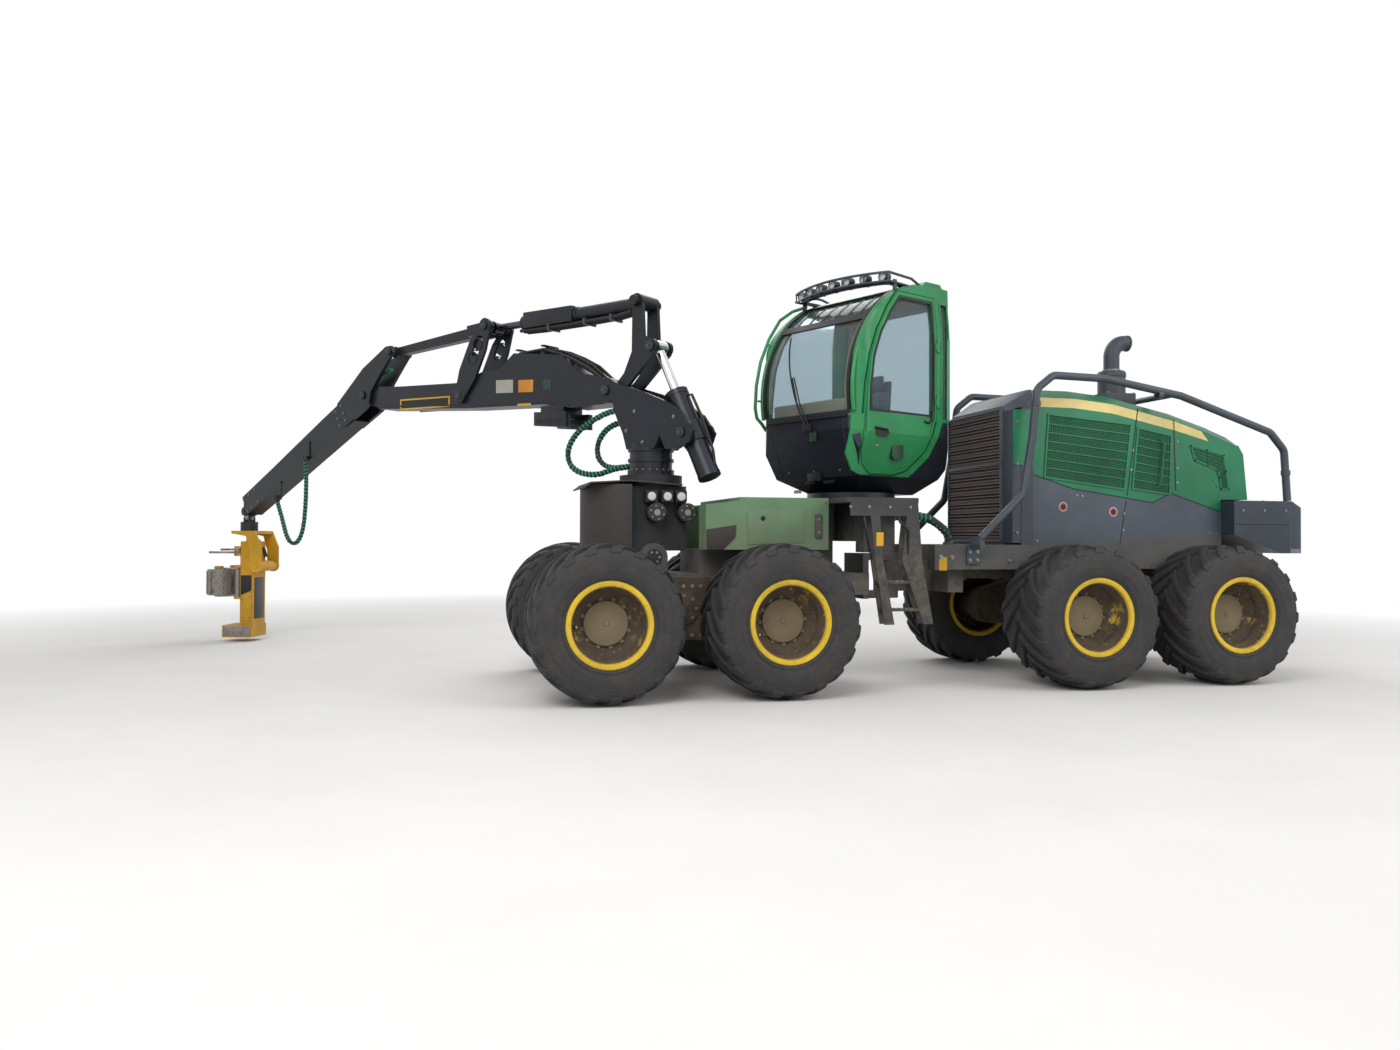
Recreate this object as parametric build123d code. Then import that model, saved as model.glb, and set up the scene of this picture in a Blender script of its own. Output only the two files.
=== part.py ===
from build123d import *
import math
import os

# Eight-wheeled forestry harvester: two hinged frames, a slewing cab, and a crane with a felling head.
# Millimetres. X runs forward, Y to the left, Z up from the ground. While it is modelled, X = 0 lies at
# the front bogie's centre and Y = 0 on the machine's middle plane. The crane is modelled in its own
# upright plane and turned to its rest heading, and the whole is last moved so that its box stands
# centred on the origin.

# Running gear
TYRE_RADIUS = 675
TYRE_WIDTH = 710
TYRE_BEAD = 30
TYRE_DRUM_RADIUS = 632
TYRE_WALL_RADIUS = 560
TYRE_TREAD_HALF = 292
TYRE_BORE_SIDES = 14
LUGS_PER_SIDE = 12
LUG_HALF = 38
LUG_LEAN = 57
LUG_DRAFT = 12
LUG_INNER = 16
LUG_OUTER = 276
RIM_RADIUS = 335
RIM_FLANGE = 30
RIM_WALL = 17
RIM_LIP = 15
HUB_DEPTH = 250
HUB_WALL = 25
HUB_NOSE_RADIUS = 60
TRACK_HALF = 1115
BOGIE_BASE = 1560
WHEELBASE = 4550
SPINDLE_RADIUS = 160
BOGIE_CASE_INNER = 500
BOGIE_CASE_WIDTH = 220
BOGIE_CASE_RADIUS = 200
BOGIE_HUMP_TOP = 1040
BOGIE_HUMP_HALF = 240
AXLE_TOP = 850
AXLE_HEIGHT = 290
AXLE_HALF_LENGTH = 190

# Fits
FIT = 0.3
PIN_FIT = 0.5
FACE_GAP = 0.5

# Front frame
FRAME_HALF = 400
FRAME_TOP = 1060
NOSE_X = 960
YOKE_X = -1930
YOKE_WALL = 60
YOKE_HALF = 250
YOKE_ARM = 70
YOKE_RADIUS = 130
LUG_BOTTOM = 870
LUG_TOP = 1180
JOINT_X = -WHEELBASE / 2
JOINT_PIN_RADIUS = 60
TOW_EYE_RADIUS = 30
TOW_EYE_WALL = 60

# Tool box and cab platform
BOX_FRONT = -520
BOX_REAR = -1380
BOX_HALF = 740
BOX_BOTTOM = 1290
BOX_TOP = 1770
BOX_STEP_FRONT = -200
BOX_STEP_TOP = 1700
BOX_STEP_INNER = 480
PEDESTAL_REAR = -1560
DECK_REAR = -2080
DECK_TOP = 1765
DECK_WALL = 45
DECK_LEFT = 1180
LADDER_FRONT = -1600
LADDER_REAR = -2040
LADDER_INNER = 860
LADDER_BOX_BOTTOM = 1270
LADDER_BOTTOM = 620
LADDER_WALL = 12
STEP_HEIGHTS = (1010, 760)
LADDER_CHEEK = 95
UNDER_BOX_FRONT = -1590
UNDER_BOX_REAR = -1960
UNDER_BOX_BOTTOM = 1370

# Crane base
TRUNNION_X = 200
TRUNNION_Z = 1215
TRUNNION_RADIUS = 75
CHEEK_INNER = 300
CHEEK_WALL = 70
CHEEK_RADIUS = 130
BASE_HALF = CHEEK_INNER - 1
BASE_REAR = -120
BASE_FRONT = 430
BASE_BOTTOM = 1150
BASE_TOP = 1880
SLEW_X = 160
SLEW_RING_RADIUS = 300
PILLAR_BOTTOM = 1990
RACK_RADIUS = 88
RACK_HALF = 450
RACK_Z = 1630
RACK_XS = (190, -100)
LAMP_XS = (240, 90, -40)
LAMP_Z = 1780
LAMP_SIZE = 105
GUARD_RADIUS = 410
GUARD_WALL = 14
GUARD_BOTTOM = 1275
GUARD_TOP = 1890

# Crane, in its own plane: S forward from the slewing axis, Z up
SLEW_REST = -50
COLUMN_RADIUS = 205
COLUMN_TOP = 2300
MANIFOLD_REAR = 60
MANIFOLD_FRONT = 255
MANIFOLD_BOTTOM = 2480
MANIFOLD_TOP = 2690
PILLAR_INNER = 150
PILLAR_WALL = 40
BOOM_PIVOT = (420, 2830)
BOOM_PIN_RADIUS = 50
BOOM_BOSS_RADIUS = 125
BOOM_HALF = 140
BOOM_END = 3980
BOOM_ROOT_HALF = PILLAR_INNER - FACE_GAP
LEVER_TOP = (80, 3670)
LEVER_EYE = (-90, 3220)
LEVER_INNER = 95
LEVER_WALL = 40
LEVER_BOSS_RADIUS = 75
LIFT_TRUNNION = (-500, 2370)
LIFT_BARREL_RADIUS = 105
LIFT_ROD_RADIUS = 45
LIFT_BARREL_BELOW = 460
LIFT_BARREL_ABOVE = 450
LIFT_ROD_HIDDEN = 520
JIB_BARREL_RADIUS = 72
JIB_ROD_RADIUS = 40
JIB_BARREL_LENGTH = 1640
JIB_ROD_HIDDEN = 1150
CYLINDER_WALL = 15
KNUCKLE_FOOT = (2540, 2940)
KNUCKLE_TOP = (2150, 3660)
KNUCKLE_WALL = 32
KNUCKLE_INNER = BOOM_HALF + 6
KNUCKLE_PIN_RADIUS = 42
KNUCKLE_BOSS_RADIUS = 85
KNUCKLE_FOOT_HALF = 78
KNUCKLE_BELLY_HALF = 135
KNUCKLE_SLOT_RADIUS = 55
TIE_END = (3800, 3560)
TIE_HALF = 50
TIE_FORK_LENGTH = 260
JIB_PIVOT = (4280, 3080)
JIB_PIN_RADIUS = 48
JIB_BOSS_RADIUS = 110
TONGUE_HALF = 95
CHEEK_PLATE = 44
JIB_ANGLE = -26.57
JIB_BOX_START = 310
JIB_BOX_END = 2860
JIB_HALF_HEIGHT = 150
JIB_HALF_WIDTH = 110
JIB_WALL = 30
EXTENSION_FIT = 0.4
EXTENSION_START = 560
EXTENSION_END = 2890
TIP_PIN = (6900, 1730)
TIP_PIN_RADIUS = 25
TIP_FORK_INNER = 60
TIP_FORK_WALL = 25
TIP_BOSS_RADIUS = 58
TIP_THROAT_RADIUS = 125
SWING_PIN_Z = 1640
LINK_HALF = 45

# Felling head, round the rotator's axis
HEAD_YAW = 35
ROTATOR_RADIUS = 110
ROTATOR_TOP = 1590
ROTATOR_BOTTOM = 1470
BRACKET_HALF = 290
BRACKET_WALL = 35
BRACKET_TOP_WALL = 40
TILT_PIVOT = (-210, 1000)
TILT_PIN_RADIUS = 35
TILT_BOSS_RADIUS = 80
SPINE_BACK = -140
SPINE_FRONT = 30
SPINE_HALF = 190
SPINE_BOTTOM = 220
SPINE_TOP = 1330
SAW_BOX_FRONT = 250
SAW_BOX_HALF = 230
SAW_BOX_BOTTOM = 60
ARM_BOSS_RADIUS = 45
ARM_PIVOT_X = SPINE_FRONT + ARM_BOSS_RADIUS + 5
ARM_PIVOT_Y = 160
ARM_PIN_RADIUS = 24
ARM_LUG = 35
ROLLER_RADIUS = 140
ROLLER_X = 300
ROLLER_Y = 225
ROLLER_BOTTOM = 620
ROLLER_TOP = 960
ROLLER_ARM_WALL = 20
ROLLER_RIBS = 10
ROLLER_RIB_HEIGHT = 13
ROLLER_RIB_WIDTH = 16
KNIFE_WALL = 28
KNIFE_BOTTOM = 1170
KNIFE_STEP = 32

# Rear frame
BEAM_INNER = 500
BEAM_OUTER = 660
BEAM_BOTTOM = 1100
BEAM_TOP = 1340
BEAM_FRONT = -2500
BEAM_REAR = -5720
BEAM_REAR_TOP = 1460
BEAM_LEVEL_X = -3560
CROSS_FRONT = -2720
CROSS_WALL = 160
SADDLE_HALF = 300
FLOOR_WALL = 30
BELLY_REAR = -5500
BELLY_HALF = 340
BELLY_BOTTOM = 1000
TOW_HALF = 180
TOW_PIN_X = -6700
TOW_PIN_RADIUS = 25
TOW_PLATE = 40
TOW_GAP = 110
TOW_Z = 1000

# Engine bay
HOOD_HALF = 660
HOOD_WALL = 22
HOOD_FRONT = -3560
HOOD_EDGE = 110
HOOD_BEVEL = 77
HOOD_OVERRUN = 80
HOOD_BELOW = 1500
GRILLE_BARS = 7
GRILLE_GAP = 38
RADIATOR_FRONT = -3290
RADIATOR_HALF = 560
RADIATOR_TOP = 2700
RADIATOR_SLATS = 14
RADIATOR_SLAT_DEPTH = 18
RADIATOR_SLAT_HEIGHT = 30
COWL_FRONT = -3430
COWL_TOP = 2790
ENGINE_FRONT = -3760
ENGINE_REAR = -5150
ENGINE_HALF = 380
ENGINE_TOP = 2320
EXHAUST_X = -4730
EXHAUST_Y = 250
EXHAUST_RADIUS = 140
EXHAUST_TOP = 3150
EXHAUST_SEAT = 2740
EXHAUST_FOOT_TOP = 2920
EXHAUST_PIPE_RADIUS = 80
EXHAUST_ELBOW_Z = 3470
EXHAUST_BEND = 150
EXHAUST_FOOT = 170
RAIL_Y = 820
RAIL_RADIUS = 38
RAIL_FOOT_X = -2900
RAIL_CROSS_X = -5050
RAIL_CROSS_RADIUS = 30
REAR_BOX_FRONT = -5740
REAR_BOX_REAR = -6600
REAR_BOX_HALF = 850
REAR_BOX_BOTTOM = 1260
REAR_BOX_TOP = 1800

# Cab, round its own slewing axis: U forward, N left
CAB_X = -1900
CAB_YAW = 25
CAB_REAR = -760
CAB_HALF = 690
CAB_BOTTOM = 1840
CAB_SILL = 2550
CAB_TOP = 3900
CAB_WALL = 60
CAB_ROOF = 50
CAB_CORNER_RADIUS = 130
SCREEN_FOOT = (640, 2600)
SCREEN_MIDDLE = (382, CAB_TOP - 360)
SCREEN_HEAD = (-100, CAB_TOP - 40)
SCREEN_HALF = 590
SCREEN_REAR = 40
GLASS_WALL = 10
GLASS_DEPTH = 20
TURNTABLE_RADIUS = 440
SILL_RISE = 15
HEAD_DROP = 150
DOOR_FRONT = 545
DOOR_REAR = -490
DOOR_BOTTOM = 2010
DOOR_TOP = CAB_TOP - 120
DOOR_SHOULDER = 2490
DOOR_STEP = (DOOR_TOP - DOOR_SHOULDER) / 129
DOOR_GAP = 6
DOOR_FRONT_GAP = 22
DOOR_RAIL = 45
DOOR_PANEL_TOP = CAB_SILL + 40
HINGE_RADIUS = 14
HINGE_PIN_RADIUS = 7
HINGE_LENGTH = 60
HINGE_OUT = 16
HINGE_HEIGHTS = (CAB_SILL + 200, CAB_TOP - 600)
CAB_LAMP_COUNT = 7
CAB_LAMP_RADIUS = 47
CAB_LAMP_HALF = 35
CAB_LAMP_RISE = 20
RACK_HALF_LENGTH = 600
RACK_SIDE_U = 100
RACK_MIDDLE_U = 240
RACK_HALF_WIDTH = 22
RACK_DROP = 50
RACK_PLATE = 26
RACK_ARM_REAR = -320
RACK_ARM_WIDTH = 40
SEAT_FOOT_HALF = 170
SEAT_HALF = 260
SEAT_DEPTH = 280
SEAT_BOTTOM = 2200
SEAT_TOP = 2330
SEAT_BACK_TOP = 3080
ARM_REST_INNER = 270
ARM_REST_WIDTH = 90
ARM_REST_BOTTOM = 2470
ARM_REST_TOP = 2540

# Outlines as (X, Z), (S, Z), (U, Z), (N, Z) or (X, Y) points
HOOD_OUTLINE = (
    (HOOD_FRONT, 2030),
    (HOOD_FRONT, 2890),
    (-4010, 2890),
    (-4450, 2850),
    (-5180, 2700),
    (-5620, 2570),
    (-5890, 2470),
    (-6010, 2290),
    (-6060, REAR_BOX_TOP + 15),
    (REAR_BOX_FRONT + 4, REAR_BOX_TOP + 15),
    (REAR_BOX_FRONT + 4, 1684),
    (-5130, 1870),
    (-4920, 1770),
    (-4000, 1900),
)
RAIL_ROUTE = (
    (RAIL_FOOT_X, 1400),
    (-3350, 1830),
    (-3450, 2380),
    (-3500, 2860),
    (-3680, 3000),
    (-4250, 2990),
    (-5130, 2850),
    (-6200, 2510),
    (-6370, 2330),
    (-6410, REAR_BOX_TOP + 3),
)
# The hood's grilles: the (X, Z) corners of each, on both sides
GRILLES = (
    ((-3740, 2640), (-4640, 2570), (-4570, 1960), (-3700, 2060)),
    ((-4780, 2510), (-5100, 2460), (-5080, 1930), (-4700, 1980)),
    ((-5380, 2360), (-5740, 2280), (-5820, 1950), (-5700, 1930)),
)
REAR_BOX_OUTLINE = (
    (REAR_BOX_FRONT, 1450),
    (REAR_BOX_FRONT, REAR_BOX_TOP),
    (-6500, REAR_BOX_TOP),
    (REAR_BOX_REAR, 1740),
    (REAR_BOX_REAR, 1300),
    (-6500, REAR_BOX_BOTTOM),
    (-6300, REAR_BOX_BOTTOM),
)
COVER_OUTLINE = (
    (-60, 1896),
    (430, 1930),
    (800, 1905),
    (860, 1860),
    (850, 1850),
    (795, 1891),
    (430, 1916),
    (-60, 1882),
)
PILLAR_OUTLINE = (
    (150, 2240),
    (200, 2400),
    (300, 2600),
    (330, 2720),
    (420, 2830),
    (380, 2940),
    (255, 2880),
    (-30, 2790),
    (-350, 2660),
    (-507, 2560),
    (-640, 2380),
    (-600, 2280),
    (-460, 2220),
    (-320, 2225),
    (-250, 2360),
    (-190, 2240),
)
BOOM_OUTLINE = (
    (400, 2706),
    (940, 2700),
    (1170, 2755),
    (2460, 2800),
    (BOOM_END, 2896),
    (BOOM_END, 3159),
    (3600, 3130),
    (2510, 3085),
    (2230, 3175),
    (1960, 3180),
    (1740, 3330),
    (1270, 3275),
    (1050, 3240),
    (825, 3050),
    (420, 2954),
)
TONGUE_OUTLINE = ((BOOM_END - 10, 2904), (BOOM_END - 10, 3155), (4280, 3180), (4280, 2980))
LEVER_OUTLINE = (
    (420, 2830),
    (300, 2920),
    (230, 2990),
    (135, 3190),
    (130, 3590),
    (150, 3680),
    (10, 3690),
    (-10, 3330),
    (-150, 3250),
    (-145, 3160),
    (40, 2990),
    (220, 2830),
    (330, 2760),
)
# The knuckle lever as shares of its length from foot to top, and half its width there
KNUCKLE_WIDTHS = (
    (0, KNUCKLE_FOOT_HALF),
    (0.3, KNUCKLE_BELLY_HALF),
    (0.72, KNUCKLE_BELLY_HALF),
    (1, KNUCKLE_BOSS_RADIUS),
)
KNUCKLE_SLOT = (0.64, 0.8)
JIB_CHEEK_OUTLINE = (
    (3735, 3545),
    (3770, 3620),
    (3860, 3620),
    (4290, 3400),
    (4790, 3010),
    (4640, 2730),
    (4260, 2910),
    (4170, 2970),
    (4140, 3110),
    (3960, 3310),
)
BRACKET_OUTLINE = (
    (-200, ROTATOR_BOTTOM - FACE_GAP),
    (80, ROTATOR_BOTTOM - FACE_GAP),
    (80, 1430),
    (-80, 1400),
    (-135, 1200),
    (-135, 970),
    (-210, 920),
    (-285, 970),
    (-285, 1250),
)
CAB_PLAN = (
    (680, -508),
    (680, 508),
    (540, CAB_HALF),
    (-680, CAB_HALF),
    (CAB_REAR, 600),
    (CAB_REAR, -600),
    (-680, -CAB_HALF),
    (540, -CAB_HALF),
)
# The cab's side view from the roof's front, round the rear and the floor to the windscreen's foot
CAB_SIDE = (
    SCREEN_HEAD,
    (-350, CAB_TOP),
    (CAB_REAR + 40, CAB_TOP),
    (CAB_REAR, CAB_TOP - 200),
    (CAB_REAR, 2100),
    (-560, CAB_BOTTOM),
    (250, CAB_BOTTOM),
    (500, 1990),
    (640, 2430),
    SCREEN_FOOT,
)
CAB_FRONT_VIEW = (
    (330, CAB_BOTTOM),
    (560, 1990),
    (CAB_HALF, 2400),
    (CAB_HALF, CAB_TOP - 450),
    (CAB_HALF - 50, CAB_TOP),
)
DOOR_OUTLINE = (
    (DOOR_REAR, DOOR_TOP),
    (DOOR_REAR, 2600),
    (-355, 2250),
    (-150, DOOR_BOTTOM + 50),
    (20, DOOR_BOTTOM),
    (370, DOOR_BOTTOM),
    (DOOR_FRONT - 45, DOOR_BOTTOM + 80),
    (DOOR_FRONT, DOOR_BOTTOM + 200),
    (DOOR_FRONT, DOOR_SHOULDER),
    (DOOR_FRONT - 22, DOOR_SHOULDER + 36 * DOOR_STEP),
    (DOOR_FRONT - 65, DOOR_SHOULDER + 64 * DOOR_STEP),
    (DOOR_FRONT - 165, DOOR_SHOULDER + 89 * DOOR_STEP),
    (DOOR_FRONT - 325, DOOR_SHOULDER + 112 * DOOR_STEP),
    (60, DOOR_TOP),
)
KNIFE_OUTLINE = (
    (60, 205),
    (110, 270),
    (260, 330),
    (410, 280),
    (450, 130),
    (420, 120),
    (385, 240),
    (260, 285),
    (150, 240),
    (105, 150),
    (60, 115),
)

# Hose routes: (S, Y, Z) in the crane's frame, (X, Y, Z) for the one across the frame joint
HOSE_RADIUS = 32
BASE_HOSE_OUTER = (
    (MANIFOLD_FRONT + FIT, 95, 2640),
    (400, 95, 2640),
    (570, 98, 2595),
    (740, 102, 2525),
    (890, 106, 2430),
    (985, 110, 2300),
    (985, 108, 2170),
    (900, 100, 2070),
    (750, 92, 2025),
    (580, 84, 2018),
    (400, 60, 2078),
    (COLUMN_RADIUS + 3, 50, 2090),
)
BASE_HOSE_INNER = (
    (MANIFOLD_FRONT + FIT, -40, 2540),
    (370, -40, 2540),
    (520, -45, 2520),
    (650, -50, 2455),
    (735, -55, 2340),
    (730, -50, 2215),
    (650, -45, 2125),
    (520, -40, 2085),
    (380, -35, 2090),
    (COLUMN_RADIUS + 3, -30, 2094),
)
TIP_HOSE_RADIUS = 30
TIP_HOSE_Y = 155
TIP_HOSE = (
    (5400, TIP_HOSE_Y, 2330),
    (5385, TIP_HOSE_Y, 2170),
    (5375, TIP_HOSE_Y + 5, 1980),
    (5380, TIP_HOSE_Y + 10, 1780),
    (5395, TIP_HOSE_Y + 15, 1590),
    (5440, TIP_HOSE_Y + 20, 1420),
    (5540, TIP_HOSE_Y + 22, 1310),
    (5670, TIP_HOSE_Y + 22, 1310),
    (5770, TIP_HOSE_Y + 20, 1410),
    (5840, TIP_HOSE_Y + 15, 1550),
    (5920, TIP_HOSE_Y + 8, 1700),
    (6010, TIP_HOSE_Y, 1850),
)
FRAME_HOSE_RADIUS = 45
HOSE_GLAND = 25
FRAME_HOSE = (
    (DECK_REAR + 20 - HOSE_GLAND - FIT, 260, 1600),
    (-2180, 260, 1600),
    (-2310, 285, 1622),
    (-2450, 315, 1630),
    (-2590, 345, 1600),
    (-2700, 372, 1525),
    (-2780, 390, 1440),
    (-2780, 390, BEAM_TOP + HOSE_GLAND + FIT),
)


def flat(points, normal, low, high):
    """A plate from an outline: normal names the axis that it is thick along."""
    place = {
        "x": lambda a, b: (low, a, b),
        "y": lambda a, b: (a, low, b),
        "z": lambda a, b: (a, b, low),
    }[normal]
    direction = {"x": (1, 0, 0), "y": (0, 1, 0), "z": (0, 0, 1)}[normal]
    outline = Polyline(*[place(a, b) for a, b in points], close=True)
    return extrude(make_face(outline), amount=high - low, dir=direction)


def block(x_low, x_high, y_low, y_high, z_low, z_high):
    size = Box(x_high - x_low, y_high - y_low, z_high - z_low, align=(Align.MIN, Align.MIN, Align.MIN))
    return Pos(x_low, y_low, z_low) * size


def bar(start, end, radius):
    """A round bar between two points."""
    axis = Vector(*end) - Vector(*start)
    shape = Cylinder(radius, axis.length, align=(Align.CENTER, Align.CENTER, Align.MIN))
    return Plane(origin=start, z_dir=axis) * shape


def across(point, radius, low, high):
    """A bar along Y at an (X, Z) point."""
    return bar((point[0], low, point[1]), (point[0], high, point[1]), radius)


def upright(point, radius, low, high):
    """A bar along Z at an (X, Y) point."""
    return bar((point[0], point[1], low), (point[0], point[1], high), radius)


def both_sides(shape):
    return shape + mirror(shape, about=Plane.XZ)


def along(start, angle, distance, offset=0.0):
    """The point at a distance along a line in the crane's plane, and an offset above it."""
    turn = math.radians(angle)
    return (
        start[0] + distance * math.cos(turn) - offset * math.sin(turn),
        start[1] + distance * math.sin(turn) + offset * math.cos(turn),
    )


def heading(start, end):
    """The angle in degrees of the line between two points of the crane's plane."""
    return math.degrees(math.atan2(end[1] - start[1], end[0] - start[0]))


def tube_along(points, radius):
    """A round tube on straight runs joined by tangent arcs."""
    corners = [Vector(*point) for point in points]
    runs = [(b - a).length for a, b in zip(corners, corners[1:])]
    radii = []
    for index in range(1, len(corners) - 1):
        before = corners[index] - corners[index - 1]
        after = corners[index + 1] - corners[index]
        half_turn = math.radians(before.get_angle(after)) / 2
        radii.append(0.45 * min(runs[index - 1], runs[index]) / math.tan(half_turn))
    path = FilletPolyline(*points, radius=radii)
    section = Plane(origin=points[0], z_dir=corners[1] - corners[0]) * Circle(radius)
    print("tube radius", radius, "smallest bend", round(min(radii)), "length", round(path.length))
    return sweep(section, path=path)


def crane(shape):
    """From the crane's own plane to its rest heading on the machine."""
    return Location((SLEW_X, 0, 0), (0, 0, SLEW_REST)) * shape


def head(shape):
    """From the head's own frame to its place under the crane's tip."""
    return crane(Location((TIP_PIN[0], 0, 0), (0, 0, HEAD_YAW)) * shape)


def cab(shape):
    """From the cab's own frame to its rest heading on the platform."""
    return Location((CAB_X, 0, 0), (0, 0, CAB_YAW)) * shape


def wheel_places():
    """Each wheel's name, X and side, front to rear."""
    stations = (BOGIE_BASE / 2, -BOGIE_BASE / 2, BOGIE_BASE / 2 - WHEELBASE, -BOGIE_BASE / 2 - WHEELBASE)
    return [
        (f"{side}_{number}", x, sign)
        for number, x in enumerate(stations, start=1)
        for side, sign in (("left", 1), ("right", -1))
    ]


def turned(profile, x, sign):
    """A wheel's part from its (radius, Y) profile, turned round the wheel's axis."""
    outline = Polyline(*[(x, sign * y, TYRE_RADIUS + r) for r, y in profile], close=True)
    return revolve(make_face(outline), axis=Axis((x, 0, TYRE_RADIUS), (0, 1, 0)))


def ring_face(apothem, sides, phase, y):
    """A regular polygon round the tyre's axis, its first flat at a phase in degrees from straight down."""
    reach = apothem / math.cos(math.pi / sides)
    corners = []
    for index in range(sides):
        angle = math.radians(phase) + 2 * math.pi * (index + 0.5) / sides
        corners.append((reach * math.sin(angle), y, -reach * math.cos(angle)))
    return make_face(Polyline(*corners, close=True))


def tyre_lug(apothem, side):
    """A leaning tread block at the tyre's lowest point, on one side of its middle plane."""
    faces = []
    for radius, grow in ((TYRE_DRUM_RADIUS - 1, LUG_DRAFT), (apothem, 0)):
        inner = side * (LUG_INNER - grow / 2)
        outer = side * (LUG_OUTER + grow)
        half = LUG_HALF + grow
        corners = (
            (-LUG_LEAN - half, inner),
            (LUG_LEAN - half, outer),
            (LUG_LEAN + half, outer),
            (-LUG_LEAN + half, inner),
        )
        faces.append(make_face(Polyline(*[(x, y, -radius) for x, y in corners], close=True)))
    return loft(faces, ruled=True)


def tyre_form():
    """A tyre round the origin: two flat-sided half drums, half a lug apart, each flat with its lug."""
    pitch = 360 / LUGS_PER_SIDE
    reach = LUG_LEAN + LUG_HALF
    turn = math.pi / LUGS_PER_SIDE
    lug_top = (TYRE_RADIUS - reach * math.sin(turn)) / math.cos(turn)
    axis = Axis((0, 0, 0), (0, 1, 0))
    half_width = TYRE_WIDTH / 2
    form = None
    for side, phase in ((1, 0), (-1, pitch / 2)):
        tread = extrude(ring_face(TYRE_DRUM_RADIUS, LUGS_PER_SIDE, phase, 0), TYRE_TREAD_HALF, (0, side, 0))
        edge = ring_face(TYRE_DRUM_RADIUS, LUGS_PER_SIDE, phase, side * TYRE_TREAD_HALF)
        wall = ring_face(TYRE_WALL_RADIUS, LUGS_PER_SIDE, phase, side * half_width)
        half = tread + loft([edge, wall], ruled=True)
        lug = tyre_lug(lug_top, side)
        for index in range(LUGS_PER_SIDE):
            half += lug.rotate(axis, phase + pitch * index)
        form = half if form is None else form + half
    seat = RIM_RADIUS + FIT
    lip = RIM_RADIUS + RIM_FLANGE + FIT
    bead = half_width - TYRE_BEAD - RIM_LIP - FIT
    form -= extrude(ring_face(seat, TYRE_BORE_SIDES, 0, -half_width - 1), TYRE_WIDTH + 2, (0, 1, 0))
    for side in (1, -1):
        form -= extrude(ring_face(lip, TYRE_BORE_SIDES, 0, side * bead), half_width, (0, side, 0))
    return form


def tyre(form, x, sign):
    """The tyre's form at a wheel's place, mirrored for the right side."""
    placed = form if sign > 0 else mirror(form, about=Plane.XZ)
    return Pos(x, sign * TRACK_HALF, TYRE_RADIUS) * placed


def rim(x, sign):
    inner = TRACK_HALF - TYRE_WIDTH / 2 + TYRE_BEAD
    outer = TRACK_HALF + TYRE_WIDTH / 2 - TYRE_BEAD
    hub_outer = outer - HUB_DEPTH
    bore = HUB_NOSE_RADIUS + PIN_FIT
    inside = RIM_RADIUS - RIM_WALL
    profile = [
        (bore, hub_outer - HUB_WALL),
        (inside, hub_outer - HUB_WALL),
        (inside, inner),
        (RIM_RADIUS + RIM_FLANGE, inner),
        (RIM_RADIUS + RIM_FLANGE, inner + RIM_LIP),
        (RIM_RADIUS, inner + RIM_LIP),
        (RIM_RADIUS, outer - RIM_LIP),
        (RIM_RADIUS + RIM_FLANGE, outer - RIM_LIP),
        (RIM_RADIUS + RIM_FLANGE, outer),
        (inside, outer),
        (inside, hub_outer),
        (bore, hub_outer),
    ]
    return turned(profile, x, sign)


def bogie_axle(x):
    """The axle housing across, a gear case on each side and a spindle at each wheel."""
    outer = BOGIE_CASE_INNER + BOGIE_CASE_WIDTH
    half = BOGIE_BASE / 2
    hub_face = TRACK_HALF + TYRE_WIDTH / 2 - TYRE_BEAD - HUB_DEPTH - HUB_WALL - FIT
    nose_end = hub_face + HUB_WALL + 2 * FIT + 12
    low = TYRE_RADIUS - BOGIE_CASE_RADIUS
    high = TYRE_RADIUS + BOGIE_CASE_RADIUS
    case_outline = (
        (x - half, low),
        (x - half, high),
        (x - BOGIE_HUMP_HALF, BOGIE_HUMP_TOP),
        (x + BOGIE_HUMP_HALF, BOGIE_HUMP_TOP),
        (x + half, high),
        (x + half, low),
    )
    side = flat(case_outline, "y", BOGIE_CASE_INNER, outer)
    for wheel_x in (x - half, x + half):
        centre = (wheel_x, TYRE_RADIUS)
        side += across(centre, BOGIE_CASE_RADIUS, BOGIE_CASE_INNER, outer)
        side += across(centre, SPINDLE_RADIUS, outer, hub_face)
        side += across(centre, HUB_NOSE_RADIUS, hub_face, nose_end)
    housing = block(
        x - AXLE_HALF_LENGTH,
        x + AXLE_HALF_LENGTH,
        -BOGIE_CASE_INNER,
        BOGIE_CASE_INNER,
        AXLE_TOP - AXLE_HEIGHT,
        AXLE_TOP,
    )
    return housing + both_sides(side)


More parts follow.
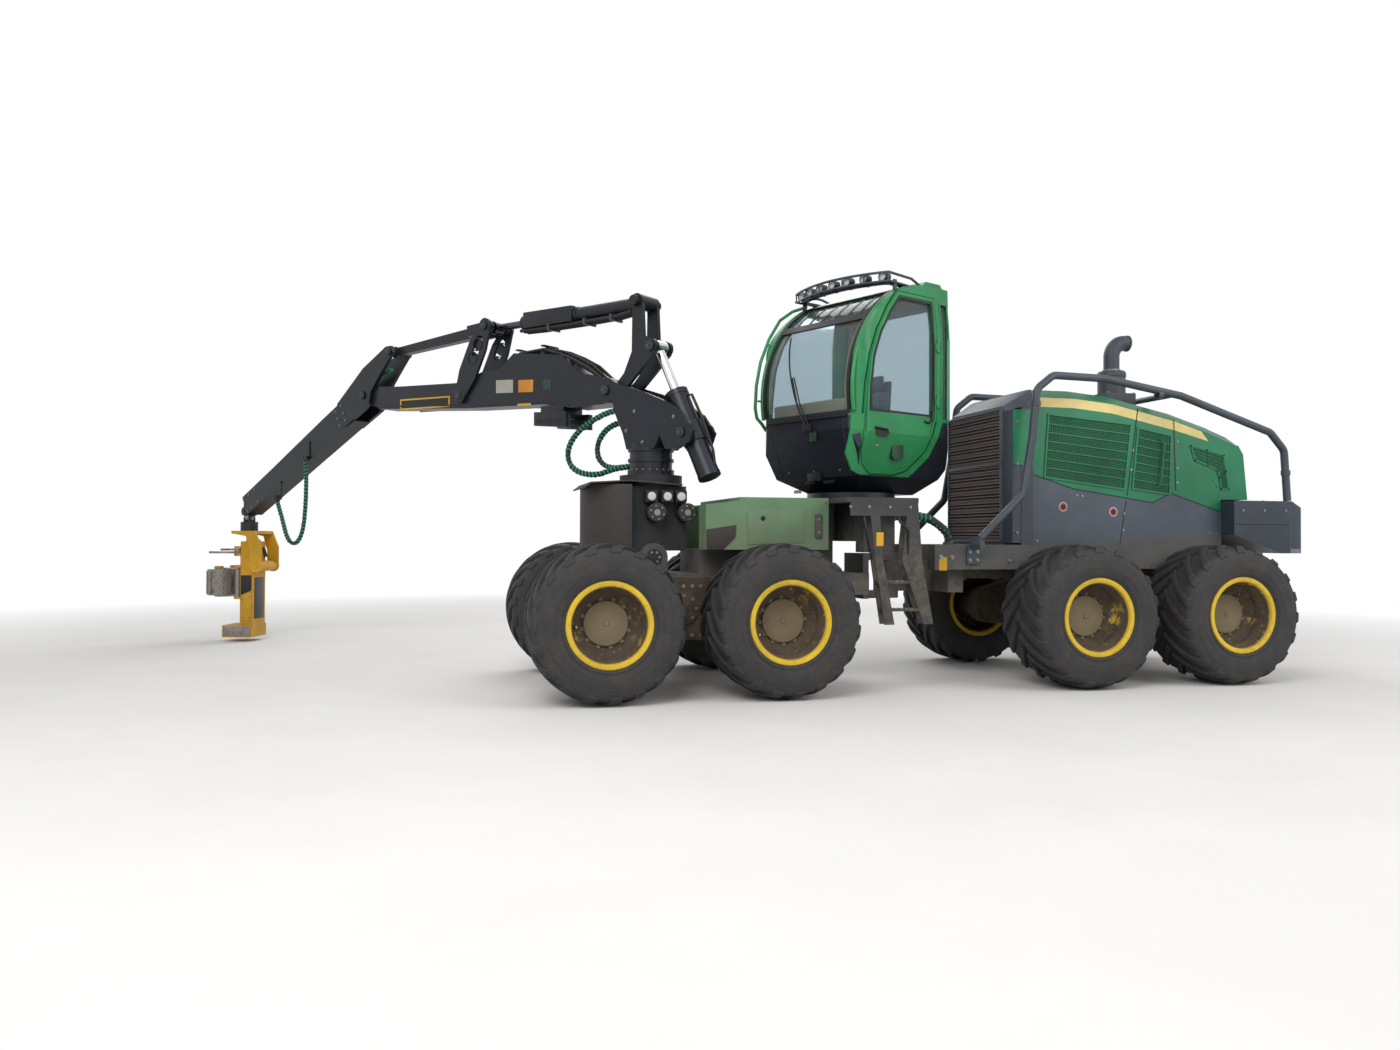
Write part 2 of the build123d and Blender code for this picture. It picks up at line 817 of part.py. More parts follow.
def front_chassis():
    """The front frame's beam, trunnion cheeks, cab pedestal and the frame joint's yoke."""
    beam = block(YOKE_X, NOSE_X - 300, -FRAME_HALF, FRAME_HALF, AXLE_TOP, FRAME_TOP)
    nose_outline = ((NOSE_X - 300, -FRAME_HALF), (NOSE_X, -250), (NOSE_X, 250), (NOSE_X - 300, FRAME_HALF))
    nose = flat(nose_outline, "z", AXLE_TOP, FRAME_TOP)
    cheek = block(
        TRUNNION_X - CHEEK_RADIUS,
        TRUNNION_X + CHEEK_RADIUS,
        CHEEK_INNER,
        CHEEK_INNER + CHEEK_WALL,
        FRAME_TOP,
        TRUNNION_Z,
    )
    cheek += across((TRUNNION_X, TRUNNION_Z), CHEEK_RADIUS, CHEEK_INNER, CHEEK_INNER + CHEEK_WALL)
    cheek -= across((TRUNNION_X, TRUNNION_Z), TRUNNION_RADIUS + PIN_FIT, 0, CHEEK_INNER + 2 * CHEEK_WALL)
    half = FRAME_HALF - 20
    pedestal = block(PEDESTAL_REAR, BOX_STEP_FRONT - 20, -half, half, FRAME_TOP, BOX_BOTTOM)
    pedestal += block(PEDESTAL_REAR, BOX_REAR, -half, half, BOX_BOTTOM, DECK_TOP - DECK_WALL)
    deck_beam = block(DECK_REAR + 20, PEDESTAL_REAR, -330, 330, 1470, DECK_TOP - DECK_WALL)
    gland_y, gland_z = FRAME_HOSE[0][1:]
    gland_start = (DECK_REAR + 25, gland_y, gland_z)
    gland_end = (DECK_REAR + 20 - HOSE_GLAND, gland_y, gland_z)
    deck_beam += bar(gland_start, gland_end, FRAME_HOSE_RADIUS + 10)
    yoke_low = LUG_BOTTOM - YOKE_ARM
    yoke_high = LUG_TOP + YOKE_ARM
    yoke = block(YOKE_X - YOKE_WALL, YOKE_X, -YOKE_HALF, YOKE_HALF, yoke_low, yoke_high)
    for low in (LUG_BOTTOM - YOKE_ARM - FACE_GAP, LUG_TOP + FACE_GAP):
        arm = block(JOINT_X, YOKE_X - YOKE_WALL + 5, -YOKE_RADIUS, YOKE_RADIUS, low, low + YOKE_ARM)
        yoke += arm + upright((JOINT_X, 0), YOKE_RADIUS, low, low + YOKE_ARM)
    yoke += upright((JOINT_X, 0), JOINT_PIN_RADIUS, yoke_low, yoke_high)
    eye = block(NOSE_X - 5, NOSE_X + 90, -80, 80, AXLE_TOP + 40, AXLE_TOP + 40 + TOW_EYE_WALL)
    eye += upright((NOSE_X + 90, 0), 80, AXLE_TOP + 40, AXLE_TOP + 40 + TOW_EYE_WALL)
    eye -= upright((NOSE_X + 90, 0), TOW_EYE_RADIUS, AXLE_TOP, FRAME_TOP)
    return beam + nose + both_sides(cheek) + pedestal + deck_beam + yoke + eye


def tool_box():
    """The green box behind the crane, with its lower step in front."""
    box = block(BOX_REAR, BOX_FRONT, -BOX_HALF, BOX_HALF, BOX_BOTTOM, BOX_TOP)
    step_outline = (
        (BOX_FRONT, BOX_BOTTOM),
        (BOX_FRONT, BOX_STEP_TOP + 40),
        (BOX_STEP_FRONT, BOX_STEP_TOP),
        (BOX_STEP_FRONT, BOX_BOTTOM),
    )
    return box + both_sides(flat(step_outline, "y", BOX_STEP_INNER, BOX_HALF))


def ladder_side_outline(rear):
    """One cheek of the ladder as (X, Z) points: a strip that leans back towards its foot."""
    top = LADDER_REAR + 60 if rear else LADDER_FRONT
    sign = -1 if rear else 1
    width = LADDER_CHEEK
    return (
        (top, DECK_TOP - DECK_WALL),
        (top - 60 * sign, 1200),
        (top - 150, LADDER_BOTTOM),
        (top - 150 - width, LADDER_BOTTOM),
        (top - 40 - width, 1200),
        (top - width, DECK_TOP - DECK_WALL),
    )


def cab_platform():
    """The deck under the cab, the box beside it and the boarding ladder with its treads."""
    deck = block(DECK_REAR, BOX_REAR - FACE_GAP, -BOX_HALF, DECK_LEFT, DECK_TOP - DECK_WALL, DECK_TOP)
    under = DECK_TOP - DECK_WALL
    skirt = block(LADDER_REAR, BOX_REAR - 40, DECK_LEFT - LADDER_WALL, DECK_LEFT, 1600, under)
    side_box = block(LADDER_FRONT - 300, LADDER_FRONT, LADDER_INNER, 1060, LADDER_BOX_BOTTOM, under)
    frame = deck + skirt + side_box
    for low, high in ((-BOX_HALF, -YOKE_HALF - 100), (YOKE_HALF + 100, LADDER_INNER)):
        frame += block(UNDER_BOX_REAR, UNDER_BOX_FRONT, low, high, UNDER_BOX_BOTTOM, under)
    inner = 1060
    for rear in (False, True):
        frame += flat(ladder_side_outline(rear), "y", DECK_LEFT - LADDER_WALL, DECK_LEFT)
        frame += flat(ladder_side_outline(rear), "y", inner, inner + LADDER_WALL)
    for height in STEP_HEIGHTS:
        lean = (1200 - height) * 110 / 580
        front = LADDER_FRONT - 60 - lean
        rear = LADDER_REAR - 30 - lean
        frame += block(rear, front, inner, DECK_LEFT, height - 20, height)
    return frame


def crane_base():
    """The tilting slew housing with its trunnion, rack cylinders and lamps."""
    body = block(BASE_REAR, BASE_FRONT, -BASE_HALF, BASE_HALF, TRUNNION_Z + 60, BASE_TOP)
    body += across((TRUNNION_X, TRUNNION_Z), CHEEK_RADIUS - 40, -BASE_HALF, BASE_HALF)
    pin_end = CHEEK_INNER + CHEEK_WALL + 12
    body += across((TRUNNION_X, TRUNNION_Z), TRUNNION_RADIUS, -pin_end, pin_end)
    body += upright((SLEW_X, 0), SLEW_RING_RADIUS, BASE_TOP, PILLAR_BOTTOM - FACE_GAP)
    for x in RACK_XS:
        body += across((x, RACK_Z), RACK_RADIUS, -RACK_HALF, RACK_HALF)
    for x in LAMP_XS:
        half = LAMP_SIZE / 2
        lamp = block(x - half, x + half, BASE_HALF - 5, RACK_HALF, LAMP_Z - half, LAMP_Z + half)
        body += both_sides(lamp)
    return body


def crane_guards():
    """The bent sheet round the front of the slew housing and the cover plate over it."""
    ring = upright((BASE_FRONT, 0), GUARD_RADIUS, GUARD_BOTTOM, GUARD_TOP)
    ring -= upright((BASE_FRONT, 0), GUARD_RADIUS - GUARD_WALL, GUARD_BOTTOM - 1, GUARD_TOP + 1)
    ring &= block(BASE_FRONT, BASE_FRONT + 2 * GUARD_RADIUS, -2 * GUARD_RADIUS, 2 * GUARD_RADIUS, 0, 3000)
    for low, high in ((BASE_HALF, GUARD_RADIUS), (-GUARD_RADIUS, -BASE_HALF)):
        ring += block(BASE_FRONT - GUARD_WALL, BASE_FRONT + FACE_GAP, low, high, GUARD_BOTTOM, GUARD_TOP)
    cover = flat(COVER_OUTLINE, "y", -GUARD_RADIUS, GUARD_RADIUS)
    cover -= upright((SLEW_X, 0), SLEW_RING_RADIUS + FIT, BASE_TOP - 50, PILLAR_BOTTOM)
    cover -= upright((BASE_FRONT, 0), GUARD_RADIUS, GUARD_BOTTOM, GUARD_TOP - 12)
    return ring + cover


def crane_pillar():
    """The slewing column, its two cheek plates and the boom's pin."""
    column = upright((0, 0), COLUMN_RADIUS, PILLAR_BOTTOM, COLUMN_TOP)
    column += upright((0, 0), COLUMN_RADIUS + 20, PILLAR_BOTTOM, PILLAR_BOTTOM + 50)
    outer = PILLAR_INNER + PILLAR_WALL
    plate = flat(PILLAR_OUTLINE, "y", PILLAR_INNER, outer)
    plate += across(BOOM_PIVOT, BOOM_BOSS_RADIUS, PILLAR_INNER, outer)
    plate += across(LIFT_TRUNNION, BOOM_BOSS_RADIUS, PILLAR_INNER, outer)
    plate -= across(LIFT_TRUNNION, BOOM_PIN_RADIUS + PIN_FIT, 0, 2 * outer)
    web_outline = ((150, 2240), (200, 2400), (240, 2520), (-60, 2640), (-190, 2560), (-190, 2240))
    web = flat(web_outline, "y", -PILLAR_INNER, PILLAR_INNER)
    low, high = MANIFOLD_BOTTOM, MANIFOLD_TOP
    manifold = block(MANIFOLD_REAR, MANIFOLD_FRONT, -PILLAR_INNER, PILLAR_INNER, low, high)
    pin = across(BOOM_PIVOT, BOOM_PIN_RADIUS, -outer - 15, outer + 15)
    return column + both_sides(plate) + web + manifold + pin


def main_boom():
    """The main boom with its tongue, and the lever that the lift cylinder holds."""
    boom = flat(BOOM_OUTLINE, "y", -BOOM_HALF, BOOM_HALF)
    boom += across(BOOM_PIVOT, BOOM_BOSS_RADIUS, -BOOM_ROOT_HALF, BOOM_ROOT_HALF)
    boom += flat(TONGUE_OUTLINE, "y", -TONGUE_HALF, TONGUE_HALF)
    boom += across(JIB_PIVOT, JIB_BOSS_RADIUS - 8, -TONGUE_HALF, TONGUE_HALF)
    lever = flat(LEVER_OUTLINE, "y", LEVER_INNER, LEVER_INNER + LEVER_WALL)
    for centre in (LEVER_TOP, LEVER_EYE):
        lever += across(centre, LEVER_BOSS_RADIUS, LEVER_INNER, LEVER_INNER + LEVER_WALL)
    lever += across(LEVER_TOP, BOOM_PIN_RADIUS, 0, 2 * LEVER_INNER)
    lever += across(LEVER_EYE, BOOM_PIN_RADIUS, LEVER_INNER, LEVER_INNER + LEVER_WALL + 15)
    boom += both_sides(lever)
    boom -= across(BOOM_PIVOT, BOOM_PIN_RADIUS + PIN_FIT, -BOOM_PIVOT[0], BOOM_PIVOT[0])
    boom -= across(KNUCKLE_FOOT, KNUCKLE_PIN_RADIUS + PIN_FIT, -BOOM_PIVOT[0], BOOM_PIVOT[0])
    boom -= across(JIB_PIVOT, JIB_PIN_RADIUS + PIN_FIT, -BOOM_PIVOT[0], BOOM_PIVOT[0])
    return boom


def cylinder_parts(
    foot, end, barrel_from, barrel_to, barrel_radius, rod_radius, rod_hidden, eye_radius, eye_half
):
    """A hydraulic cylinder along a line: its barrel, and its rod with an eye at the far end."""
    angle = heading(foot, end)
    length = math.dist(foot, end)

    def point(distance):
        s, z = along(foot, angle, distance)
        return (s, 0, z)

    barrel = bar(point(barrel_from), point(barrel_to), barrel_radius)
    bore = bar(point(barrel_from + CYLINDER_WALL), point(barrel_to + 1), rod_radius + PIN_FIT)
    rod = bar(point(length - rod_hidden), point(length), rod_radius)
    rod += across(end, eye_radius, -eye_half, eye_half)
    return barrel - bore, rod


def lift_cylinder():
    length = math.dist(LIFT_TRUNNION, LEVER_EYE)
    barrel, rod = cylinder_parts(
        LIFT_TRUNNION,
        LEVER_EYE,
        -LIFT_BARREL_BELOW,
        LIFT_BARREL_ABOVE,
        LIFT_BARREL_RADIUS,
        LIFT_ROD_RADIUS,
        length - LIFT_BARREL_ABOVE + LIFT_ROD_HIDDEN,
        LEVER_BOSS_RADIUS - 8,
        LEVER_INNER - 25,
    )
    pin = PILLAR_INNER + PILLAR_WALL + 10
    barrel += across(LIFT_TRUNNION, BOOM_PIN_RADIUS, LIFT_BARREL_RADIUS - 20, pin)
    barrel += across(LIFT_TRUNNION, BOOM_PIN_RADIUS, -pin, 20 - LIFT_BARREL_RADIUS)
    rod += across(LEVER_EYE, BOOM_PIN_RADIUS, -LEVER_INNER + FACE_GAP, LEVER_INNER - FACE_GAP)
    return barrel, rod


def jib_cylinder():
    barrel, rod = cylinder_parts(
        LEVER_TOP,
        KNUCKLE_TOP,
        0,
        JIB_BARREL_LENGTH,
        JIB_BARREL_RADIUS,
        JIB_ROD_RADIUS,
        JIB_ROD_HIDDEN + math.dist(LEVER_TOP, KNUCKLE_TOP) - JIB_BARREL_LENGTH,
        KNUCKLE_BOSS_RADIUS - 15,
        60,
    )
    barrel += across(LEVER_TOP, LEVER_BOSS_RADIUS, -LEVER_INNER + FACE_GAP, LEVER_INNER - FACE_GAP)
    barrel -= across(LEVER_TOP, BOOM_PIN_RADIUS + PIN_FIT, -LEVER_INNER, LEVER_INNER)
    return barrel, rod


def knuckle_lever():
    """Two plates with an oval hole, joined by the pin through the boom."""
    outer = KNUCKLE_INNER + KNUCKLE_WALL
    angle = heading(KNUCKLE_FOOT, KNUCKLE_TOP)
    length = math.dist(KNUCKLE_FOOT, KNUCKLE_TOP)
    left = [along(KNUCKLE_FOOT, angle, share * length, half) for share, half in KNUCKLE_WIDTHS]
    right = [along(KNUCKLE_FOOT, angle, share * length, -half) for share, half in KNUCKLE_WIDTHS]
    plate = flat(left + right[::-1], "y", KNUCKLE_INNER, outer)
    plate += across(KNUCKLE_FOOT, KNUCKLE_BOSS_RADIUS - 10, BOOM_HALF + FACE_GAP, outer)
    plate += across(KNUCKLE_TOP, KNUCKLE_BOSS_RADIUS, KNUCKLE_INNER, outer)
    ends = [along(KNUCKLE_FOOT, angle, share * length) for share in KNUCKLE_SLOT]
    for centre in ends:
        plate -= across(centre, KNUCKLE_SLOT_RADIUS, 0, 2 * outer)
    half = KNUCKLE_SLOT_RADIUS
    low, high = KNUCKLE_SLOT
    corners = ((low, half), (high, half), (high, -half), (low, -half))
    slot = [along(KNUCKLE_FOOT, angle, share * length, offset) for share, offset in corners]
    plate -= flat(slot, "y", 0, 2 * outer)
    plate += across(KNUCKLE_TOP, KNUCKLE_PIN_RADIUS, LEVER_INNER, outer + 12)
    pin = across(KNUCKLE_FOOT, KNUCKLE_PIN_RADIUS, -outer - 12, outer + 12)
    return both_sides(plate) + pin


def tie_bar():
    """The bar from the knuckle to the outer boom: a fork at the knuckle, an eye at the boom."""
    angle = heading(KNUCKLE_TOP, TIE_END)
    length = math.dist(KNUCKLE_TOP, TIE_END)

    def strip(start, end, half_start, half_end):
        return (
            along(KNUCKLE_TOP, angle, start, -half_start),
            along(KNUCKLE_TOP, angle, end, -half_end),
            along(KNUCKLE_TOP, angle, end, half_end),
            along(KNUCKLE_TOP, angle, start, half_start),
        )

    fork_outer = LEVER_INNER + LEVER_WALL
    fork = flat(strip(0, TIE_FORK_LENGTH + 60, 60, 60), "y", LEVER_INNER + FACE_GAP, fork_outer)
    fork += across(KNUCKLE_TOP, KNUCKLE_BOSS_RADIUS - 15, LEVER_INNER + FACE_GAP, fork_outer)
    fork -= across(KNUCKLE_TOP, KNUCKLE_PIN_RADIUS + PIN_FIT, 0, 2 * fork_outer)
    web = flat(strip(TIE_FORK_LENGTH, TIE_FORK_LENGTH + 60, 60, 60), "y", -fork_outer, fork_outer)
    beam = flat(strip(TIE_FORK_LENGTH, length, 60, 45), "y", -TIE_HALF, TIE_HALF)
    eye = across(TIE_END, KNUCKLE_BOSS_RADIUS - 20, -TIE_HALF, TIE_HALF)
    return both_sides(fork) + web + beam + eye


def jib_strip(start, end, half_start, half_end):
    """Four corners of a stretch of the outer boom, by distance from its pivot."""
    return (
        along(JIB_PIVOT, JIB_ANGLE, start, -half_start),
        along(JIB_PIVOT, JIB_ANGLE, end, -half_end),
        along(JIB_PIVOT, JIB_ANGLE, end, half_end),
        along(JIB_PIVOT, JIB_ANGLE, start, half_start),
    )


def outer_boom():
    """The outer boom: two cheeks round the main boom's tongue and a hollow beam."""
    inner = TONGUE_HALF + FACE_GAP
    cheek = flat(JIB_CHEEK_OUTLINE, "y", inner, inner + CHEEK_PLATE)
    cheek += across(JIB_PIVOT, JIB_BOSS_RADIUS, inner, inner + CHEEK_PLATE)
    for centre in (TIE_END, JIB_PIVOT):
        cheek += across(centre, JIB_PIN_RADIUS, inner, inner + CHEEK_PLATE + 14)
    pin = across(JIB_PIVOT, JIB_PIN_RADIUS, -inner - 5, inner + 5)
    half = JIB_HALF_HEIGHT
    beam_outline = jib_strip(JIB_BOX_START, JIB_BOX_END, half + 15, half - 20)
    beam = flat(beam_outline, "y", -JIB_HALF_WIDTH, JIB_HALF_WIDTH)
    hole = flat(
        jib_strip(EXTENSION_START - 60, JIB_BOX_END + 1, half - 20 - JIB_WALL, half - 20 - JIB_WALL),
        "y",
        JIB_WALL - JIB_HALF_WIDTH,
        JIB_HALF_WIDTH - JIB_WALL,
    )
    lugs = hose_lug(TIP_HOSE[0], TIP_HOSE[1]) + hose_lug(TIP_HOSE[-1], TIP_HOSE[-2])
    return both_sides(cheek) + pin + (beam - hole) + lugs


def hose_lug(end, before):
    """A bracket out of the outer boom's side, with the socket that one end of the tip hose meets."""
    s, y, z = end
    away = (Vector(*end) - Vector(*before)).normalized()
    near = Vector(*end) + away * FIT
    far = near + away * 70
    socket = bar(tuple(near), tuple(far), TIP_HOSE_RADIUS + 8)
    arm = block(s - 25, s + 25, JIB_HALF_WIDTH - 5, y, z + 20, z + 70)
    web = block(s - 25, s + 25, JIB_HALF_WIDTH - 5, JIB_HALF_WIDTH + 12, z + 20, z + 260)
    return socket + arm + web


def extension_boom():
    """The sliding beam inside the outer boom, with the fork that carries the head."""
    half = JIB_HALF_HEIGHT - 20 - JIB_WALL - EXTENSION_FIT
    width = JIB_HALF_WIDTH - JIB_WALL - EXTENSION_FIT
    beam = flat(jib_strip(EXTENSION_START, EXTENSION_END, half, half), "y", -width, width)
    fork_outline = (
        along(JIB_PIVOT, JIB_ANGLE, EXTENSION_END - 5, -half + 10),
        TIP_PIN,
        along(JIB_PIVOT, JIB_ANGLE, EXTENSION_END - 5, half - 10),
    )
    fork = flat(fork_outline, "y", TIP_FORK_INNER, TIP_FORK_INNER + TIP_FORK_WALL)
    fork += across(TIP_PIN, TIP_BOSS_RADIUS, TIP_FORK_INNER, TIP_FORK_INNER + TIP_FORK_WALL)
    beam -= across(TIP_PIN, TIP_THROAT_RADIUS, -TIP_FORK_INNER, TIP_FORK_INNER)
    pin_end = TIP_FORK_INNER + TIP_FORK_WALL + 8
    pin = across(TIP_PIN, TIP_PIN_RADIUS, -pin_end, pin_end)
    return beam + both_sides(fork) + pin


def tip_link():
    """The cross link between the boom's tip and the rotator, with its lower pin."""
    s = TIP_PIN[0]
    side = TIP_FORK_INNER - FACE_GAP
    body = across(TIP_PIN, LINK_HALF, -side, side)
    body += block(s - LINK_HALF, s + LINK_HALF, -LINK_HALF, LINK_HALF, SWING_PIN_Z, TIP_PIN[1])
    body += bar((s - LINK_HALF, 0, SWING_PIN_Z), (s + LINK_HALF, 0, SWING_PIN_Z), LINK_HALF - 5)
    body -= across(TIP_PIN, TIP_PIN_RADIUS + PIN_FIT, -side - 1, side + 1)
    return body + bar((s - 80, 0, SWING_PIN_Z), (s + 80, 0, SWING_PIN_Z), TIP_PIN_RADIUS)


def rotator():
    """The rotator's body, hung by two ears from the cross link's lower pin."""
    s = TIP_PIN[0]
    body = upright((s, 0), ROTATOR_RADIUS, ROTATOR_BOTTOM, ROTATOR_TOP)
    for low in (LINK_HALF + FACE_GAP, -LINK_HALF - FACE_GAP - 25):
        ear = block(s + low, s + low + 25, -45, 45, ROTATOR_TOP - 5, SWING_PIN_Z)
        ear += bar((s + low, 0, SWING_PIN_Z), (s + low + 25, 0, SWING_PIN_Z), 45)
        body += ear
    body -= bar((s - 90, 0, SWING_PIN_Z), (s + 90, 0, SWING_PIN_Z), TIP_PIN_RADIUS + PIN_FIT)
    return body


def tilt_bracket():
    """The bracket under the rotator that the head tilts in."""
    top = ROTATOR_BOTTOM - FACE_GAP
    plate = block(-200, 110, -BRACKET_HALF, BRACKET_HALF, top - BRACKET_TOP_WALL, top)
    side = flat(BRACKET_OUTLINE, "y", BRACKET_HALF - BRACKET_WALL, BRACKET_HALF)
    side += across(TILT_PIVOT, TILT_BOSS_RADIUS, BRACKET_HALF - BRACKET_WALL, BRACKET_HALF)
    side -= across(TILT_PIVOT, TILT_PIN_RADIUS + PIN_FIT, 0, 2 * BRACKET_HALF)
    return plate + both_sides(side)


def head_frame():
    """The felling head's spine, tilt tube, saw box, fixed top knife and the lugs of its arms."""
    spine = block(SPINE_BACK, SPINE_FRONT, -SPINE_HALF, SPINE_HALF, SPINE_BOTTOM, SPINE_TOP)
    inner = BRACKET_HALF - BRACKET_WALL - FACE_GAP
    spine += across(TILT_PIVOT, TILT_BOSS_RADIUS - 10, -inner, inner)
    tilt_x, tilt_z = TILT_PIVOT
    spine += block(tilt_x, SPINE_BACK + 5, -SPINE_HALF, SPINE_HALF, tilt_z - 70, tilt_z + 70)
    spine += across(TILT_PIVOT, TILT_PIN_RADIUS, -BRACKET_HALF - 8, BRACKET_HALF + 8)
    spine += block(SPINE_BACK, SAW_BOX_FRONT, -SAW_BOX_HALF, SAW_BOX_HALF, SAW_BOX_BOTTOM, SPINE_BOTTOM)
    for low, high in arm_lug_heights():
        lug = block(SPINE_FRONT - 5, ARM_PIVOT_X, ARM_PIVOT_Y - 45, ARM_PIVOT_Y + 45, low, high)
        lug += upright((ARM_PIVOT_X, ARM_PIVOT_Y), ARM_BOSS_RADIUS, low, high)
        spine += both_sides(lug)
    for low, high in arm_hub_heights():
        spine += both_sides(upright((ARM_PIVOT_X, ARM_PIVOT_Y), ARM_PIN_RADIUS, low - 5, high + 5))
    return spine


def arm_hub_heights():
    """Where the arms' hubs sit on their pins, from bottom to top: rollers, then knives."""
    knife_top = KNIFE_BOTTOM + KNIFE_WALL + KNIFE_STEP
    return ((ROLLER_BOTTOM - ROLLER_ARM_WALL, ROLLER_TOP + ROLLER_ARM_WALL), (KNIFE_BOTTOM, knife_top))


def arm_lug_heights():
    """The lugs lie just below and above each hub."""
    places = []
    for low, high in arm_hub_heights():
        places.append((low - ARM_LUG - FACE_GAP, low - FACE_GAP))
        places.append((high + FACE_GAP, high + ARM_LUG + FACE_GAP))
    return places


def feed_arm(sign):
    """One feed roller between its two arm plates."""
    low, high = arm_hub_heights()[0]
    hub = upright((ARM_PIVOT_X, ARM_PIVOT_Y), ARM_BOSS_RADIUS, low, high)
    roller = upright((ROLLER_X, ROLLER_Y), ROLLER_RADIUS, ROLLER_BOTTOM, ROLLER_TOP)
    plate_outline = (
        (ARM_PIVOT_X - 10, ARM_PIVOT_Y + ARM_BOSS_RADIUS - 5),
        (ROLLER_X - 30, ROLLER_Y + 70),
        (ROLLER_X + 50, ROLLER_Y + 20),
        (ROLLER_X + 30, ROLLER_Y - 60),
        (ARM_PIVOT_X + 20, ARM_PIVOT_Y - ARM_BOSS_RADIUS + 5),
    )
    for index in range(ROLLER_RIBS):
        rib = block(
            ROLLER_RADIUS - 5,
            ROLLER_RADIUS + ROLLER_RIB_HEIGHT,
            -ROLLER_RIB_WIDTH / 2,
            ROLLER_RIB_WIDTH / 2,
            ROLLER_BOTTOM + ROLLER_ARM_WALL,
            ROLLER_TOP - ROLLER_ARM_WALL,
        )
        roller += Pos(ROLLER_X, ROLLER_Y, 0) * Rot(0, 0, 360 * index / ROLLER_RIBS) * rib
    arm = hub + roller
    for bottom in (ROLLER_BOTTOM - ROLLER_ARM_WALL, ROLLER_TOP):
        arm += flat(plate_outline, "z", bottom, bottom + ROLLER_ARM_WALL)
    arm -= upright((ARM_PIVOT_X, ARM_PIVOT_Y), ARM_PIN_RADIUS + PIN_FIT, low - 1, high + 1)
    return arm if sign > 0 else mirror(arm, about=Plane.XZ)


def knife(sign):
    """One curved delimbing knife; the right one closes just above the left one."""
    low, high = arm_hub_heights()[1]
    hub = upright((ARM_PIVOT_X, ARM_PIVOT_Y), ARM_BOSS_RADIUS, low, high)
    bottom = KNIFE_BOTTOM if sign > 0 else KNIFE_BOTTOM + KNIFE_STEP
    blade = flat(KNIFE_OUTLINE, "z", bottom, bottom + KNIFE_WALL)
    part = hub + blade
    part -= upright((ARM_PIVOT_X, ARM_PIVOT_Y), ARM_PIN_RADIUS + PIN_FIT, low - 1, high + 1)
    return part if sign > 0 else mirror(part, about=Plane.XZ)


def beam_top(x):
    """The rear frame's top edge: level in front, then rising to the rear."""
    if x >= BEAM_LEVEL_X:
        return BEAM_TOP
    return BEAM_TOP + (BEAM_REAR_TOP - BEAM_TOP) * (BEAM_LEVEL_X - x) / (BEAM_LEVEL_X - BEAM_REAR)


def rear_chassis():
    """The rear frame: two side beams, cross members, the joint's lug, axle saddle and tow hitch."""
    beam_outline = (
        (BEAM_FRONT, BEAM_BOTTOM),
        (BEAM_FRONT, BEAM_TOP),
        (BEAM_LEVEL_X, BEAM_TOP),
        (BEAM_REAR, BEAM_REAR_TOP),
        (BEAM_REAR, BEAM_BOTTOM),
    )
    frame = both_sides(flat(beam_outline, "y", BEAM_INNER, BEAM_OUTER))
    frame += block(CROSS_FRONT - CROSS_WALL, CROSS_FRONT, -BEAM_INNER, BEAM_INNER, LUG_BOTTOM, BEAM_TOP)
    lug = block(CROSS_FRONT - 5, JOINT_X, -YOKE_RADIUS + 10, YOKE_RADIUS - 10, LUG_BOTTOM, LUG_TOP)
    lug += upright((JOINT_X, 0), YOKE_RADIUS - 10, LUG_BOTTOM, LUG_TOP)
    lug -= upright((JOINT_X, 0), JOINT_PIN_RADIUS + PIN_FIT, LUG_BOTTOM - 1, LUG_TOP + 1)
    floor = block(BEAM_REAR, CROSS_FRONT, -BEAM_INNER, BEAM_INNER, BEAM_TOP - FLOOR_WALL, BEAM_TOP)
    axle_front = -WHEELBASE + SADDLE_HALF
    axle_rear = -WHEELBASE - SADDLE_HALF
    saddle = block(axle_rear, axle_front, -FRAME_HALF, FRAME_HALF, AXLE_TOP, BEAM_TOP)
    belly = block(BELLY_REAR, CROSS_FRONT - 60, -BELLY_HALF, BELLY_HALF, BELLY_BOTTOM, BEAM_TOP)
    plate_front = BEAM_REAR
    plate_rear = REAR_BOX_FRONT + FACE_GAP
    rear_plate = block(plate_rear, plate_front, -BEAM_OUTER, BEAM_OUTER, BEAM_BOTTOM, REAR_BOX_TOP - 120)
    gland = upright(FRAME_HOSE[-1][:2], FRAME_HOSE_RADIUS + 10, BEAM_TOP - 5, BEAM_TOP + HOSE_GLAND)
    hitch = block(TOW_PIN_X + 180, BEAM_REAR, -TOW_HALF, TOW_HALF, TOW_Z, REAR_BOX_BOTTOM)
    for low in (TOW_Z, TOW_Z + TOW_PLATE + TOW_GAP):
        hitch += block(TOW_PIN_X, BEAM_REAR, -TOW_HALF, TOW_HALF, low, low + TOW_PLATE)
    hitch -= upright((TOW_PIN_X + 70, 0), TOW_PIN_RADIUS, TOW_Z - 1, REAR_BOX_BOTTOM)
    return frame + lug + floor + saddle + belly + rear_plate + gland + hitch


def engine_block():
    return block(ENGINE_REAR, ENGINE_FRONT, -ENGINE_HALF, ENGINE_HALF, BEAM_TOP, ENGINE_TOP)


